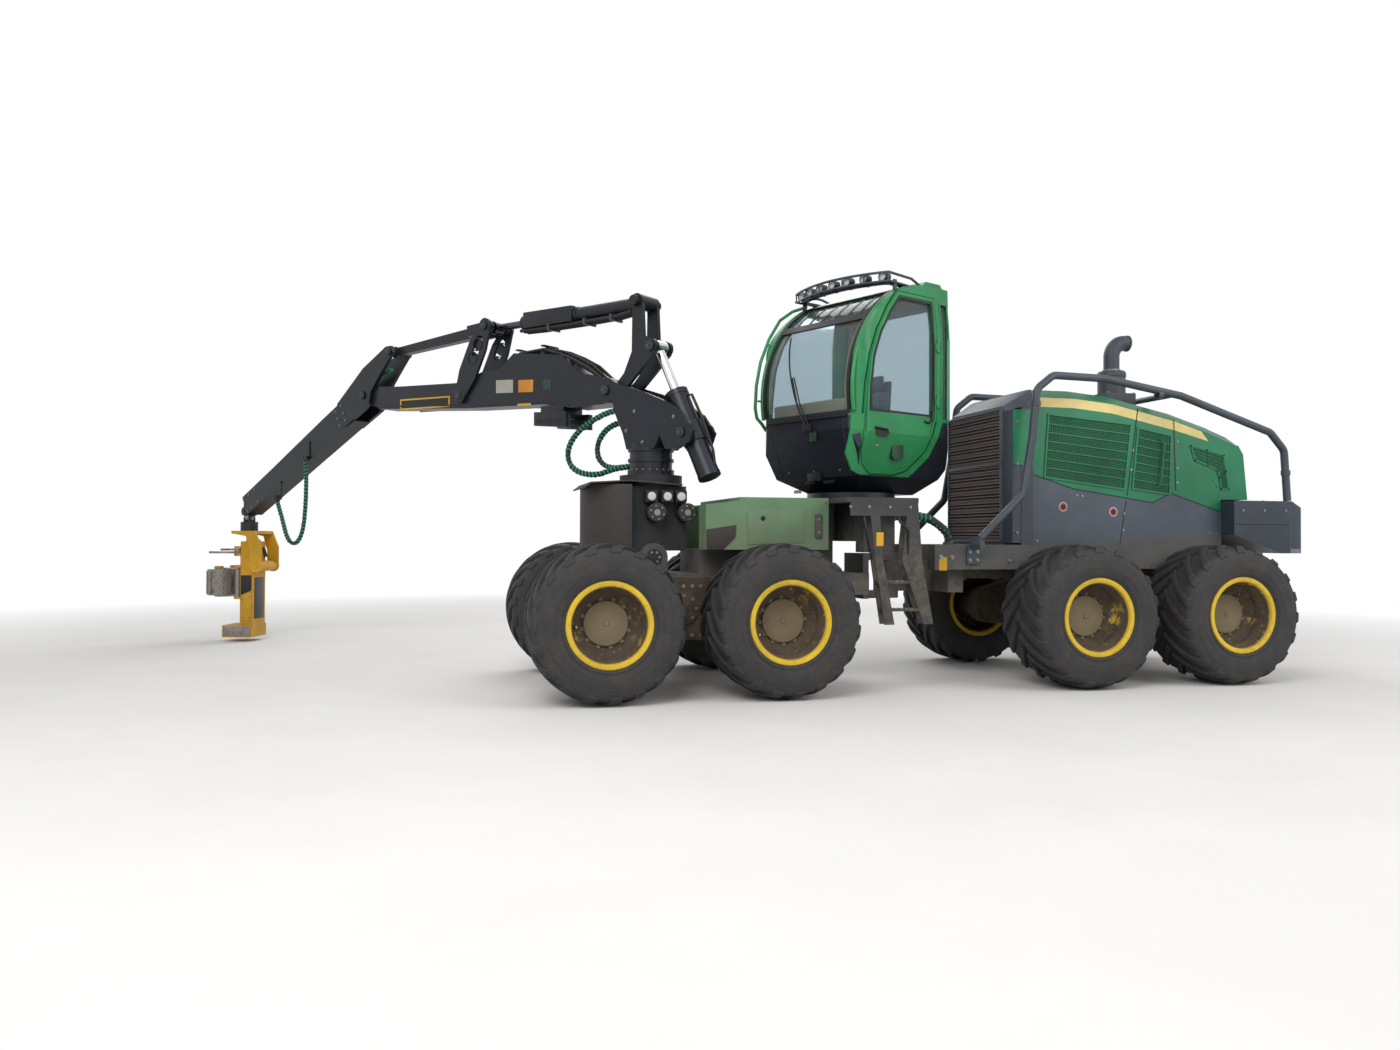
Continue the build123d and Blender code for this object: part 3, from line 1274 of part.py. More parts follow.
def radiator_housing():
    """The cooler in front of the engine and the cowl round it."""
    core = block(HOOD_FRONT, RADIATOR_FRONT, -RADIATOR_HALF, RADIATOR_HALF, BEAM_TOP, RADIATOR_TOP)
    cowl_outline = (
        (-BEAM_OUTER, BEAM_TOP),
        (-BEAM_OUTER, COWL_TOP - 90),
        (-BEAM_OUTER + 110, COWL_TOP),
        (BEAM_OUTER - 110, COWL_TOP),
        (BEAM_OUTER, COWL_TOP - 90),
        (BEAM_OUTER, BEAM_TOP),
    )
    slat_step = (RADIATOR_TOP - BEAM_TOP) / RADIATOR_SLATS
    for index in range(RADIATOR_SLATS):
        low = BEAM_TOP + slat_step * (index + 0.5) - RADIATOR_SLAT_HEIGHT / 2
        front = RADIATOR_FRONT + RADIATOR_SLAT_DEPTH
        side = RADIATOR_HALF - 30
        core += block(RADIATOR_FRONT - 5, front, -side, side, low, low + RADIATOR_SLAT_HEIGHT)
    return core + flat(cowl_outline, "x", HOOD_FRONT, COWL_FRONT)


def edge_wedges(side, drop):
    """The long wedges that bevel the hood's upper edges, at a half-width and a drop below its outline."""
    points = ((0, HOOD_EDGE + 1, -HOOD_BEVEL), (0, HOOD_EDGE + 1, 1), (0, 0, 1))
    wedges = []
    for (x_front, z_front), (x_rear, z_rear) in zip(HOOD_OUTLINE[1:6], HOOD_OUTLINE[2:7]):
        length = math.dist((x_front, z_front), (x_rear, z_rear)) + 2 * HOOD_OVERRUN
        slope = (z_front - z_rear) / (x_front - x_rear)
        wedge = extrude(make_face(Polyline(*points, close=True)), amount=length, dir=(1, 0, 0))
        place = Location((x_rear - HOOD_OVERRUN, side, z_rear - drop - HOOD_OVERRUN * slope))
        placed = place * Rot(0, -math.degrees(math.atan(slope)), 0) * wedge
        wedges.append(placed + mirror(placed, about=Plane.XZ))
    return wedges


def grille_slots(corners):
    """Level slots through the hood's sides, evenly spaced over one grille's four corners."""
    (x0, z0), (x1, z1), (x2, z2), (x3, z3) = corners
    slots = []
    for index in range(GRILLE_BARS):
        share = (index + 0.5) / GRILLE_BARS
        front_x, front_z = x0 + (x3 - x0) * share, z0 + (z3 - z0) * share
        rear_x, rear_z = x1 + (x2 - x1) * share, z1 + (z2 - z1) * share
        half = GRILLE_GAP / 2
        outline = (
            (front_x, front_z - half),
            (rear_x, rear_z - half),
            (rear_x, rear_z + half),
            (front_x, front_z + half),
        )
        slots.append(both_sides(flat(outline, "y", HOOD_HALF - HOOD_WALL - 1, HOOD_HALF + 1)))
    return slots


def engine_hood():
    """The green hood as a shell, open below and at the cooler."""
    outer = flat(HOOD_OUTLINE, "y", -HOOD_HALF, HOOD_HALF)
    for wedge in edge_wedges(HOOD_HALF - HOOD_EDGE, 0):
        outer -= wedge
    top = [(x, z - HOOD_WALL) for x, z in HOOD_OUTLINE[2:6]]
    tail = [(x + HOOD_WALL, z) for x, z in HOOD_OUTLINE[6:9]]
    hollow_outline = [
        (HOOD_FRONT + 1, HOOD_BELOW),
        (HOOD_FRONT + 1, HOOD_OUTLINE[1][1] - HOOD_WALL),
        *top,
        *tail,
        (HOOD_OUTLINE[8][0] + HOOD_WALL, HOOD_BELOW),
    ]
    side = HOOD_HALF - HOOD_WALL
    hollow = flat(hollow_outline, "y", -side, side)
    for wedge in edge_wedges(side - HOOD_EDGE - 8, HOOD_WALL):
        hollow -= wedge
    shell = outer - hollow
    for corners in GRILLES:
        for slot in grille_slots(corners):
            shell -= slot
    return shell


def lower_side_panels():
    """The grey panels between the frame and the hood, one on each side."""
    (x_low, z_low), (x_high, z_high) = HOOD_OUTLINE[10:12]
    rear_z = z_low + (z_high - z_low) * (BEAM_REAR - x_low) / (x_high - x_low)
    edge = [(BEAM_REAR, rear_z), *HOOD_OUTLINE[11:], HOOD_OUTLINE[0]]
    outline = [(HOOD_FRONT, beam_top(HOOD_FRONT)), (BEAM_REAR, beam_top(BEAM_REAR))]
    outline += [(x, z - FACE_GAP) for x, z in edge]
    return both_sides(flat(outline, "y", HOOD_HALF - HOOD_WALL, HOOD_HALF))


def exhaust_pipe():
    """The silencer's stack on its foot, with an elbow to the rear."""
    foot = block(
        EXHAUST_X - EXHAUST_FOOT,
        EXHAUST_X + EXHAUST_FOOT,
        EXHAUST_Y - EXHAUST_FOOT,
        EXHAUST_Y + EXHAUST_FOOT,
        EXHAUST_SEAT,
        EXHAUST_FOOT_TOP,
    )
    stack = upright((EXHAUST_X, EXHAUST_Y), EXHAUST_RADIUS, EXHAUST_FOOT_TOP - 20, EXHAUST_TOP)
    path = FilletPolyline(
        (EXHAUST_X, EXHAUST_Y, EXHAUST_TOP - 20),
        (EXHAUST_X, EXHAUST_Y, EXHAUST_ELBOW_Z),
        (EXHAUST_X - EXHAUST_BEND - 40, EXHAUST_Y, EXHAUST_ELBOW_Z),
        radius=EXHAUST_BEND,
    )
    start = Plane(origin=(EXHAUST_X, EXHAUST_Y, EXHAUST_TOP - 20), z_dir=(0, 0, 1))
    shape = foot + stack + sweep(start * Circle(EXHAUST_PIPE_RADIUS), path=path)
    return shape - flat(HOOD_OUTLINE, "y", -HOOD_HALF, HOOD_HALF)


def guard_rails():
    """The tube rails over the hood, left and right, with their feet and a cross tube."""
    outline = [(x, RAIL_Y, z) for x, z in RAIL_ROUTE]
    path = FilletPolyline(*outline, radius=110)
    start = Vector(*outline[1]) - Vector(*outline[0])
    rail = sweep(Plane(origin=outline[0], z_dir=start) * Circle(RAIL_RADIUS), path=path)
    foot = block(RAIL_FOOT_X - 70, RAIL_FOOT_X + 70, BEAM_OUTER, BEAM_OUTER + 20, 1150, 1330)
    foot += block(RAIL_FOOT_X - 25, RAIL_FOOT_X + 25, BEAM_OUTER, RAIL_Y + RAIL_RADIUS - 10, 1300, 1420)
    sides = both_sides(rail + foot)
    (front_x, front_z), (rear_x, rear_z) = RAIL_ROUTE[5:7]
    cross_z = front_z + (rear_z - front_z) * (RAIL_CROSS_X - front_x) / (rear_x - front_x)
    return sides + bar((RAIL_CROSS_X, -RAIL_Y, cross_z), (RAIL_CROSS_X, RAIL_Y, cross_z), RAIL_CROSS_RADIUS)


def rear_box():
    return flat(REAR_BOX_OUTLINE, "y", -REAR_BOX_HALF, REAR_BOX_HALF)


def inset(face, depth):
    """A face with every edge moved inwards by the same depth."""
    return offset(face, -depth, kind=Kind.INTERSECTION) if depth else face


def cab_form(depth):
    """The cab's closed form, each wall moved in by a depth: plan, side and front views together."""
    plan_face = make_face(Polyline(*CAB_PLAN, close=True))
    plan_face = fillet(plan_face.vertices(), CAB_CORNER_RADIUS)
    screen = ThreePointArc(SCREEN_FOOT, SCREEN_MIDDLE, SCREEN_HEAD)
    side_face = make_face(Polyline(*CAB_SIDE) + screen)
    plan = extrude(inset(plan_face, depth), amount=CAB_TOP + 1)
    side = extrude(Plane.XZ * inset(side_face, depth), amount=2 * CAB_HALF, both=True)
    return plan & side & cab_front_form(depth)


def cab_front_form(depth):
    """The cab's front view as a long block, its side walls moved in by a depth."""
    front_view = [(n, z) for n, z in CAB_FRONT_VIEW] + [(-n, z) for n, z in reversed(CAB_FRONT_VIEW)]
    face = make_face(Polyline(*front_view, close=True))
    return extrude(Plane.YZ * inset(face, depth), amount=2 * CAB_HALF, both=True)


def door_shape(gap, front_gap):
    """The door's outline as a block through the left wall, grown by its gaps."""
    face = make_face(Polyline(*DOOR_OUTLINE, close=True))
    if gap > 0:
        face = offset(face, gap, kind=Kind.INTERSECTION)
    shape = extrude(Plane.XZ * face, amount=-2 * CAB_HALF)
    if front_gap > gap:
        shape += Pos(front_gap - gap, 0, 0) * shape
    return shape


def window_cuts():
    """Blocks through the cab's walls where its windows are: name, then the block."""
    low = CAB_SILL + SILL_RISE
    high = CAB_TOP - HEAD_DROP
    far = 2 * CAB_HALF
    return {
        "windscreen": block(SCREEN_REAR, far, -SCREEN_HALF, SCREEN_HALF, low, CAB_TOP),
        "right_window": mirror(door_window(low), about=Plane.XZ) - cab_front_form(CAB_WALL + DOOR_GAP),
        "rear_window": block(-far, CAB_REAR + 200, -CAB_HALF + 150, CAB_HALF - 150, low, high),
        "left_window": block(CAB_REAR + 70, DOOR_REAR - 65, CAB_HALF - 200, far, low, high),
    }


def hinge_point():
    """The door's hinge axis in the cab's plan."""
    return (DOOR_REAR - 4, CAB_HALF + HINGE_OUT)


def door_hinges(on_door):
    """Knuckles of the door's hinges: the middle one is the door's, with the pin on the cab."""
    u, n = hinge_point()
    parts = []
    for height in HINGE_HEIGHTS:
        third = HINGE_LENGTH / 2
        if on_door:
            part = upright((u, n), HINGE_RADIUS, height - third + FACE_GAP, height + third - FACE_GAP)
            part += block(u, u + 40, CAB_HALF - 8, n, height - third + FACE_GAP, height + third - FACE_GAP)
            part -= upright((u, n), HINGE_PIN_RADIUS + PIN_FIT, height - 2 * third, height + 2 * third)
        else:
            part = upright((u, n), HINGE_PIN_RADIUS, height - 2 * third, height + 2 * third)
            for low in (height - 2 * third, height + third):
                part += upright((u, n), HINGE_RADIUS, low, low + third)
                part += block(u - 40, u, CAB_HALF - 8, n, low, low + third)
        parts.append(part)
    return parts[0] + parts[1]


def cab_parts():
    """The cab's shell split into its lower body and window frame, with its glass and door."""
    form = cab_form(0)
    shell = form - cab_form(CAB_WALL)
    opening = door_shape(DOOR_GAP, DOOR_FRONT_GAP) - cab_front_form(CAB_WALL + DOOR_GAP)
    glass_layer = cab_form(GLASS_DEPTH) - cab_form(GLASS_DEPTH + GLASS_WALL)
    body = shell - opening
    below = cab_layer(0, CAB_SILL)
    above = cab_layer(CAB_SILL, CAB_TOP - CAB_WALL)
    lid = cab_layer(CAB_TOP - CAB_WALL, CAB_TOP)
    lower = body & below
    lower += upright((0, 0), TURNTABLE_RADIUS, DECK_TOP + FACE_GAP, CAB_BOTTOM + 5) - cab_form(CAB_WALL)
    frame = body & above
    panes = []
    for cut in window_cuts().values():
        frame -= cut
        panes.append(glass_layer & cut & above)
    glass = Compound(children=[pane for pane in panes])
    frame += door_hinges(False)
    roof = cab_roof(shell & lid)
    door = (form & door_shape(0, 0)) - cab_front_form(CAB_WALL) + door_hinges(True)
    window = door_window(DOOR_PANEL_TOP)
    door -= window
    pane = glass_layer & window
    return lower, frame, roof, glass, door, pane


def cab_layer(low, high):
    """A level layer of the cab's space."""
    far = 2 * CAB_HALF
    return block(-far, far, -far, far, low, high)


def door_window(low):
    """The door's window as a block through it, from a height up."""
    inner = inset(make_face(Polyline(*DOOR_OUTLINE, close=True)), DOOR_RAIL)
    shape = extrude(Plane.XZ * inner, amount=-2 * CAB_HALF)
    return shape & cab_layer(low, DOOR_TOP)


def lamp_line(n):
    """Where the lamps' curved rack runs in plan: U at a place across the cab."""
    return RACK_MIDDLE_U - (RACK_MIDDLE_U - RACK_SIDE_U) * (n / RACK_HALF_LENGTH) ** 2


def cab_roof(lid):
    """The roof's slab with its raised middle, and the lamps on their curved rack over the windscreen."""
    raised_outline = (
        (-360, CAB_TOP - 5),
        (CAB_REAR + 70, CAB_TOP - 5),
        (CAB_REAR + 120, CAB_TOP + CAB_ROOF),
        (-420, CAB_TOP + CAB_ROOF),
    )
    roof = lid + flat(raised_outline, "y", -CAB_HALF + 80, CAB_HALF - 80)
    plate_low = CAB_TOP - RACK_DROP
    half = RACK_HALF_WIDTH
    ends = [(RACK_SIDE_U + grow, n) for grow, n in ((-half, -1), (-half, 1), (half, 1), (half, -1))]
    left, right = [[(u, n * RACK_HALF_LENGTH) for u, n in pair] for pair in (ends[:2], ends[2:])]
    inner = ThreePointArc(left[0], (RACK_MIDDLE_U - half, 0), left[1])
    outer = ThreePointArc(right[0], (RACK_MIDDLE_U + half, 0), right[1])
    band = make_face(inner + Line(left[1], right[0]) + outer + Line(right[1], left[0]))
    roof += extrude(Pos(0, 0, plate_low) * band, RACK_PLATE, (0, 0, 1))
    arm = block(
        RACK_ARM_REAR,
        RACK_SIDE_U,
        RACK_HALF_LENGTH - RACK_ARM_WIDTH,
        RACK_HALF_LENGTH,
        plate_low,
        plate_low + RACK_PLATE,
    )
    roof += both_sides(arm)
    lamp_z = CAB_TOP + CAB_LAMP_RISE
    for index in range(CAB_LAMP_COUNT):
        reach = RACK_HALF_LENGTH - CAB_LAMP_RADIUS
        n = reach * (2 * index / (CAB_LAMP_COUNT - 1) - 1)
        u = lamp_line(n)
        roof += bar((u - CAB_LAMP_HALF, n, lamp_z), (u + CAB_LAMP_HALF, n, lamp_z), CAB_LAMP_RADIUS)
    return roof


def cab_seat():
    """The seat on its pedestal, with its back and arm rests."""
    foot = SEAT_FOOT_HALF
    seat = block(-foot, foot, -foot, foot, CAB_BOTTOM + CAB_WALL, SEAT_BOTTOM)
    seat += block(-SEAT_DEPTH, SEAT_DEPTH, -SEAT_HALF, SEAT_HALF, SEAT_BOTTOM, SEAT_TOP)
    back_outline = (
        (-SEAT_DEPTH, SEAT_BOTTOM),
        (80 - SEAT_DEPTH, SEAT_TOP),
        (-SEAT_DEPTH - 20, SEAT_BACK_TOP),
        (-SEAT_DEPTH - 120, SEAT_BACK_TOP),
        (-SEAT_DEPTH - 120, SEAT_TOP),
    )
    seat += flat(back_outline, "y", 20 - SEAT_HALF, SEAT_HALF - 20)
    rear = -SEAT_DEPTH - 20
    outer = ARM_REST_INNER + ARM_REST_WIDTH
    rest = block(rear, 230, ARM_REST_INNER, outer, ARM_REST_BOTTOM, ARM_REST_TOP)
    rest += block(rear, rear + 80, ARM_REST_INNER, outer, SEAT_TOP, ARM_REST_BOTTOM)
    rest += block(rear, rear + 80, SEAT_HALF - 20, outer, SEAT_TOP - 80, SEAT_TOP)
    return seat + both_sides(rest)


def build_nodes():
    """Every node's shape in the machine's frame."""
    nodes = {}
    form = tyre_form()
    for name, x, sign in wheel_places():
        nodes[f"tyre_{name}"] = tyre(form, x, sign)
        nodes[f"rim_{name}"] = rim(x, sign)
    nodes["front_chassis"] = front_chassis()
    nodes["front_bogie_axle"] = bogie_axle(0)
    nodes["rear_bogie_axle"] = bogie_axle(-WHEELBASE)
    nodes["tool_box"] = tool_box()
    nodes["cab_platform"] = cab_platform()
    nodes["crane_base"] = crane_base()
    nodes["crane_guards"] = crane_guards()
    lift_barrel, lift_rod = lift_cylinder()
    jib_barrel, jib_rod = jib_cylinder()
    crane_nodes = {
        "crane_pillar": crane_pillar(),
        "main_boom": main_boom(),
        "lift_cylinder_barrel": lift_barrel,
        "lift_cylinder_rod": lift_rod,
        "jib_cylinder_barrel": jib_barrel,
        "jib_cylinder_rod": jib_rod,
        "knuckle_lever": knuckle_lever(),
        "tie_bar": tie_bar(),
        "outer_boom": outer_boom(),
        "extension_boom": extension_boom(),
        "tip_link": tip_link(),
        "rotator": rotator(),
        "base_hose_outer": tube_along(BASE_HOSE_OUTER, HOSE_RADIUS),
        "base_hose_inner": tube_along(BASE_HOSE_INNER, HOSE_RADIUS),
        "tip_hose": tube_along(TIP_HOSE, TIP_HOSE_RADIUS),
    }
    head_nodes = {
        "tilt_bracket": tilt_bracket(),
        "head_frame": head_frame(),
        "feed_arm_left": feed_arm(1),
        "feed_arm_right": feed_arm(-1),
        "knife_left": knife(1),
        "knife_right": knife(-1),
    }
    nodes.update({name: crane(shape) for name, shape in crane_nodes.items()})
    nodes.update({name: head(shape) for name, shape in head_nodes.items()})
    nodes["frame_hose"] = tube_along(FRAME_HOSE, FRAME_HOSE_RADIUS)
    nodes["rear_chassis"] = rear_chassis()
    nodes["engine_block"] = engine_block()
    nodes["radiator_housing"] = radiator_housing()
    nodes["engine_hood"] = engine_hood()
    nodes["lower_side_panels"] = lower_side_panels()
    nodes["exhaust_pipe"] = exhaust_pipe()
    nodes["guard_rails"] = guard_rails()
    nodes["rear_box"] = rear_box()
    lower, frame, roof, glass, door, pane = cab_parts()
    cab_nodes = {
        "cab_lower_body": lower,
        "cab_frame": frame,
        "cab_roof": roof,
        "cab_glass": glass,
        "cab_door": door,
        "door_glass": pane,
        "cab_seat": cab_seat(),
    }
    nodes.update({name: cab(shape) for name, shape in cab_nodes.items()})
    return nodes


def stand_shift(nodes):
    """The move that stands the whole machine's box centred on the origin."""
    boxes = [shape.bounding_box() for shape in nodes.values()]
    x_mid = (min(box.min.X for box in boxes) + max(box.max.X for box in boxes)) / 2
    y_mid = (min(box.min.Y for box in boxes) + max(box.max.Y for box in boxes)) / 2
    return (-x_mid, -y_mid, -min(box.min.Z for box in boxes))


def main():
    os.makedirs("parts", exist_ok=True)
    nodes = build_nodes()
    shift = stand_shift(nodes)
    for name, shape in nodes.items():
        export_step(Pos(*shift) * shape, f"parts/{name}.step")
    print("nodes", len(nodes), "shift", [round(value, 3) for value in shift])


if __name__ == "__main__":
    main()
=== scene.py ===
import bmesh
import bpy
import math
from mathutils import Matrix, Vector


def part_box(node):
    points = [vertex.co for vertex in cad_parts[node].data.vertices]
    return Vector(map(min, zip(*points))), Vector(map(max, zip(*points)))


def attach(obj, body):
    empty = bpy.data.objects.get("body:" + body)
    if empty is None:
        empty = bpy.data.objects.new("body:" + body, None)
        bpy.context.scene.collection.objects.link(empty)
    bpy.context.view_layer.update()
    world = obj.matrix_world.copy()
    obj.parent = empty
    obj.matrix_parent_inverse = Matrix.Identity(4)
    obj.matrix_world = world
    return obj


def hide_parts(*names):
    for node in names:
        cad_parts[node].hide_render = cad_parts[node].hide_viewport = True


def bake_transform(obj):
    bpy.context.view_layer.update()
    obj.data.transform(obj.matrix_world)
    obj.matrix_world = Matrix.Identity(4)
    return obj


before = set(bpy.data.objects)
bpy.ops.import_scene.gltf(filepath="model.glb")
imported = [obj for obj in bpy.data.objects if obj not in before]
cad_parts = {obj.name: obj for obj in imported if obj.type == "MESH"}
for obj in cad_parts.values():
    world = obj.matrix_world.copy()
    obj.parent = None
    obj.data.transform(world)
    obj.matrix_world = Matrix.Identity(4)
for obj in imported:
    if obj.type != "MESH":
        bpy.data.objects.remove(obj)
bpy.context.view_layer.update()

# Metres, in the machine's own frame: X forward from the front bogie's centre, Y left, Z up
REAR_BOX_REAR = -6.6
WHEELBASE = 4.55
BOGIE_BASE = 1.56
TRACK_HALF = 1.115
TYRE_RADIUS = 0.675
TYRE_HALF = 0.355
RIM_RADIUS = 0.335
SLEW_X = 0.16
SLEW_REST = math.radians(-50)
HEAD_S = 6.9
HEAD_YAW = math.radians(35)
CAB_X = -1.9
CAB_YAW = math.radians(25)
HOOD_HALF = 0.66
REAR_FRAME_HALF = 0.66
SIDES = ((1, "left"), (-1, "right"))
UP, BACK = (0, 0, 1), (-1, 0, 0)
SHARP_EDGE = math.radians(35)

# The camera that the photograph was taken with
CAMERA_PLACE = (2.1785, 10.0562, 1.388)
CAMERA_YAW = -0.2445
CAMERA_PITCH = 0.0129
CAMERA_ROLL = 0.0039
CAMERA_FOCAL = 1063.6
IMAGE_WIDTH = 1400
SENSOR_WIDTH = 36.0

rear_low, rear_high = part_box("rear_box")
ORIGIN = Vector((rear_low.x - REAR_BOX_REAR, (rear_low.y + rear_high.y) / 2, 0))
MACHINE = Matrix.Translation(ORIGIN)
CRANE = MACHINE @ Matrix.Translation((SLEW_X, 0, 0)) @ Matrix.Rotation(SLEW_REST, 4, "Z")
HEAD = CRANE @ Matrix.Translation((HEAD_S, 0, 0)) @ Matrix.Rotation(HEAD_YAW, 4, "Z")
CAB = MACHINE @ Matrix.Translation((CAB_X, 0, 0)) @ Matrix.Rotation(CAB_YAW, 4, "Z")


# Materials


def rgb(text):
    """A linear colour from a six-figure screen colour."""
    values = [int(text[i:i + 2], 16) / 255 for i in (0, 2, 4)]
    linear = [v / 12.92 if v <= 0.04045 else ((v + 0.055) / 1.055) ** 2.4 for v in values]
    return (*linear, 1.0)


class Nodes:
    """A material's node tree, with short calls for the nodes used here."""

    def __init__(self, name):
        self.material = bpy.data.materials.new(name)
        self.material.use_nodes = True
        self.tree = self.material.node_tree
        self.shader = self.tree.nodes["Principled BSDF"]
        self.where = self.tree.nodes.new("ShaderNodeTexCoord").outputs["Object"]

    def link(self, source, target):
        self.tree.links.new(source, target)

    def noise(self, scale, detail=4.0, rough=0.6, stretch=None):
        node = self.tree.nodes.new("ShaderNodeTexNoise")
        node.inputs["Scale"].default_value = scale
        node.inputs["Detail"].default_value = detail
        node.inputs["Roughness"].default_value = rough
        source = self.where
        if stretch:
            mapping = self.tree.nodes.new("ShaderNodeMapping")
            mapping.inputs["Scale"].default_value = stretch
            self.link(source, mapping.inputs["Vector"])
            source = mapping.outputs["Vector"]
        self.link(source, node.inputs["Vector"])
        return node.outputs["Fac"]

    def spread(self, value, low, high, to_low=0.0, to_high=1.0):
        node = self.tree.nodes.new("ShaderNodeMapRange")
        node.inputs["From Min"].default_value = low
        node.inputs["From Max"].default_value = high
        node.inputs["To Min"].default_value = to_low
        node.inputs["To Max"].default_value = to_high
        self.link(value, node.inputs["Value"])
        return node.outputs["Result"]

    def maths(self, operation, a, b):
        node = self.tree.nodes.new("ShaderNodeMath")
        node.operation = operation
        node.use_clamp = True
        for socket, value in zip(node.inputs, (a, b)):
            if isinstance(value, (int, float)):
                socket.default_value = value
            else:
                self.link(value, socket)
        return node.outputs["Value"]

    def mix(self, factor, a, b):
        node = self.tree.nodes.new("ShaderNodeMix")
        node.data_type = "RGBA"
        self.link(factor, node.inputs["Factor"])
        for socket, value in ((node.inputs[6], a), (node.inputs[7], b)):
            if isinstance(value, tuple):
                socket.default_value = value
            else:
                self.link(value, socket)
        return node.outputs[2]

    def height(self):
        node = self.tree.nodes.new("ShaderNodeSeparateXYZ")
        self.link(self.where, node.inputs[0])
        return node.outputs["Z"]

    def along(self, way):
        node = self.tree.nodes.new("ShaderNodeVectorMath")
        node.operation = "DOT_PRODUCT"
        self.link(self.where, node.inputs[0])
        node.inputs[1].default_value = way
        return node.outputs["Value"]

    def facing_up(self):
        geometry = self.tree.nodes.new("ShaderNodeNewGeometry")
        node = self.tree.nodes.new("ShaderNodeSeparateXYZ")
        self.link(geometry.outputs["Normal"], node.inputs[0])
        return node.outputs["Z"]

    def bump(self, value, strength, distance):
        node = self.tree.nodes.new("ShaderNodeBump")
        node.inputs["Strength"].default_value = strength
        node.inputs["Distance"].default_value = distance
        self.link(value, node.inputs["Height"])
        self.link(node.outputs["Normal"], self.shader.inputs["Normal"])

    def colour(self, value):
        self.link(value, self.shader.inputs["Base Color"])

    def roughness(self, value):
        self.link(value, self.shader.inputs["Roughness"])


def darker(colour, share):
    return (*[c * share for c in colour[:3]], 1.0)


def painted(name, paint, dust, dusty, rough, scratches=0.3, mud_below=None, split=None):
    """Paint that has faded a little, with dust on what faces up, scratches, and mud low down."""
    m = Nodes(name)
    paint = rgb(paint)
    base = m.mix(m.spread(m.noise(1.7, 6), 0.35, 0.68), darker(paint, 0.78), darker(paint, 1.15))
    scratch = m.spread(m.noise(26, 8, 0.75, (1, 1, 4)), 0.62, 0.68, 0.0, scratches)
    base = m.mix(scratch, base, rgb("9a968c"))
    if split:
        other, edge = split
        forward = m.along(CAB.col[0].xyz)
        edge += CAB.col[0].xyz.dot(CAB.translation)
        base = m.mix(m.spread(forward, edge - 0.002, edge + 0.002), base, rgb(other))
    cloud = m.spread(m.noise(5.5, 10, 0.7), 0.42, 0.72)
    top = m.spread(m.facing_up(), 0.25, 0.95, 0.25, 1.0)
    grime = m.maths("MULTIPLY", m.maths("MULTIPLY", cloud, top), dusty * 2)
    if mud_below:
        low = m.spread(m.height(), mud_below - 0.5, mud_below, 1.0, 0.0)
        splash = m.maths("MULTIPLY", m.spread(m.noise(9, 10, 0.8), 0.4, 0.6), low)
        grime = m.maths("MAXIMUM", grime, splash)
    m.colour(m.mix(grime, base, rgb(dust)))
    m.roughness(m.spread(grime, 0.0, 1.0, rough, 0.9))
    m.shader.inputs["Specular IOR Level"].default_value = 0.35
    m.bump(m.maths("ADD", m.noise(55, 3), grime), 0.12, 0.004)
    return m.material


def rubber(name, clean, mud, muddy, low=0.42):
    """Rubber with dried mud in its hollows."""
    m = Nodes(name)
    cloud = m.spread(m.noise(6, 12, 0.75), low, low + 0.28, 0.0, muddy)
    grain = m.spread(m.noise(60, 6, 0.7), 0.35, 0.7)
    base = m.mix(grain, darker(rgb(clean), 0.75), darker(rgb(clean), 1.3))
    m.colour(m.mix(cloud, base, rgb(mud)))
    m.roughness(m.spread(cloud, 0.0, 1.0, 0.72, 0.95))
    m.bump(m.maths("ADD", m.noise(90, 5), cloud), 0.35, 0.006)
    return m.material


def metal(name, colour, rough, rust=0.0, streak=(1, 1, 1)):
    """Bare metal with fine machining marks and some rust."""
    m = Nodes(name)
    mark = m.spread(m.noise(70, 6, 0.7, streak), 0.3, 0.7)
    base = m.mix(mark, darker(rgb(colour), 0.8), darker(rgb(colour), 1.15))
    stain = m.spread(m.noise(11, 10, 0.75), 0.5, 0.66, 0.0, rust)
    m.colour(m.mix(stain, base, rgb("5d4330")))
    m.roughness(m.maths("ADD", m.spread(mark, 0, 1, rough, rough + 0.12), stain))
    m.shader.inputs["Metallic"].default_value = 1.0 if rust < 0.5 else 0.6
    m.bump(mark, 0.05, 0.001)
    return m.material


def glass(name, tint):
    """Thin pane: mostly clear, with a faint film of dust."""
    m = Nodes(name)
    film = m.spread(m.noise(4, 8, 0.7), 0.45, 0.75, 0.05, 0.22)
    m.colour(m.mix(film, rgb(tint), rgb("c9c4b4")))
    m.roughness(m.spread(film, 0.05, 0.3, 0.03, 0.3))
    m.shader.inputs["Transmission Weight"].default_value = 0.94
    m.shader.inputs["IOR"].default_value = 1.1
    return m.material


def cloth(name, colour):
    """Woven seat cloth."""
    m = Nodes(name)
    weave = m.tree.nodes.new("ShaderNodeTexWave")
    weave.inputs["Scale"].default_value = 90
    weave.inputs["Distortion"].default_value = 2.5
    m.link(m.where, weave.inputs["Vector"])
    thread = weave.outputs["Fac"]
    colour = rgb(colour)
    base = m.mix(m.spread(m.noise(9, 6), 0.3, 0.7), darker(colour, 0.8), darker(colour, 1.2))
    m.colour(m.mix(m.spread(thread, 0, 1, 0, 0.35), base, darker(colour, 0.5)))
    m.roughness(m.spread(thread, 0, 1, 0.8, 0.95))
    m.shader.inputs["Sheen Weight"].default_value = 0.3
    m.bump(thread, 0.3, 0.002)
    return m.material


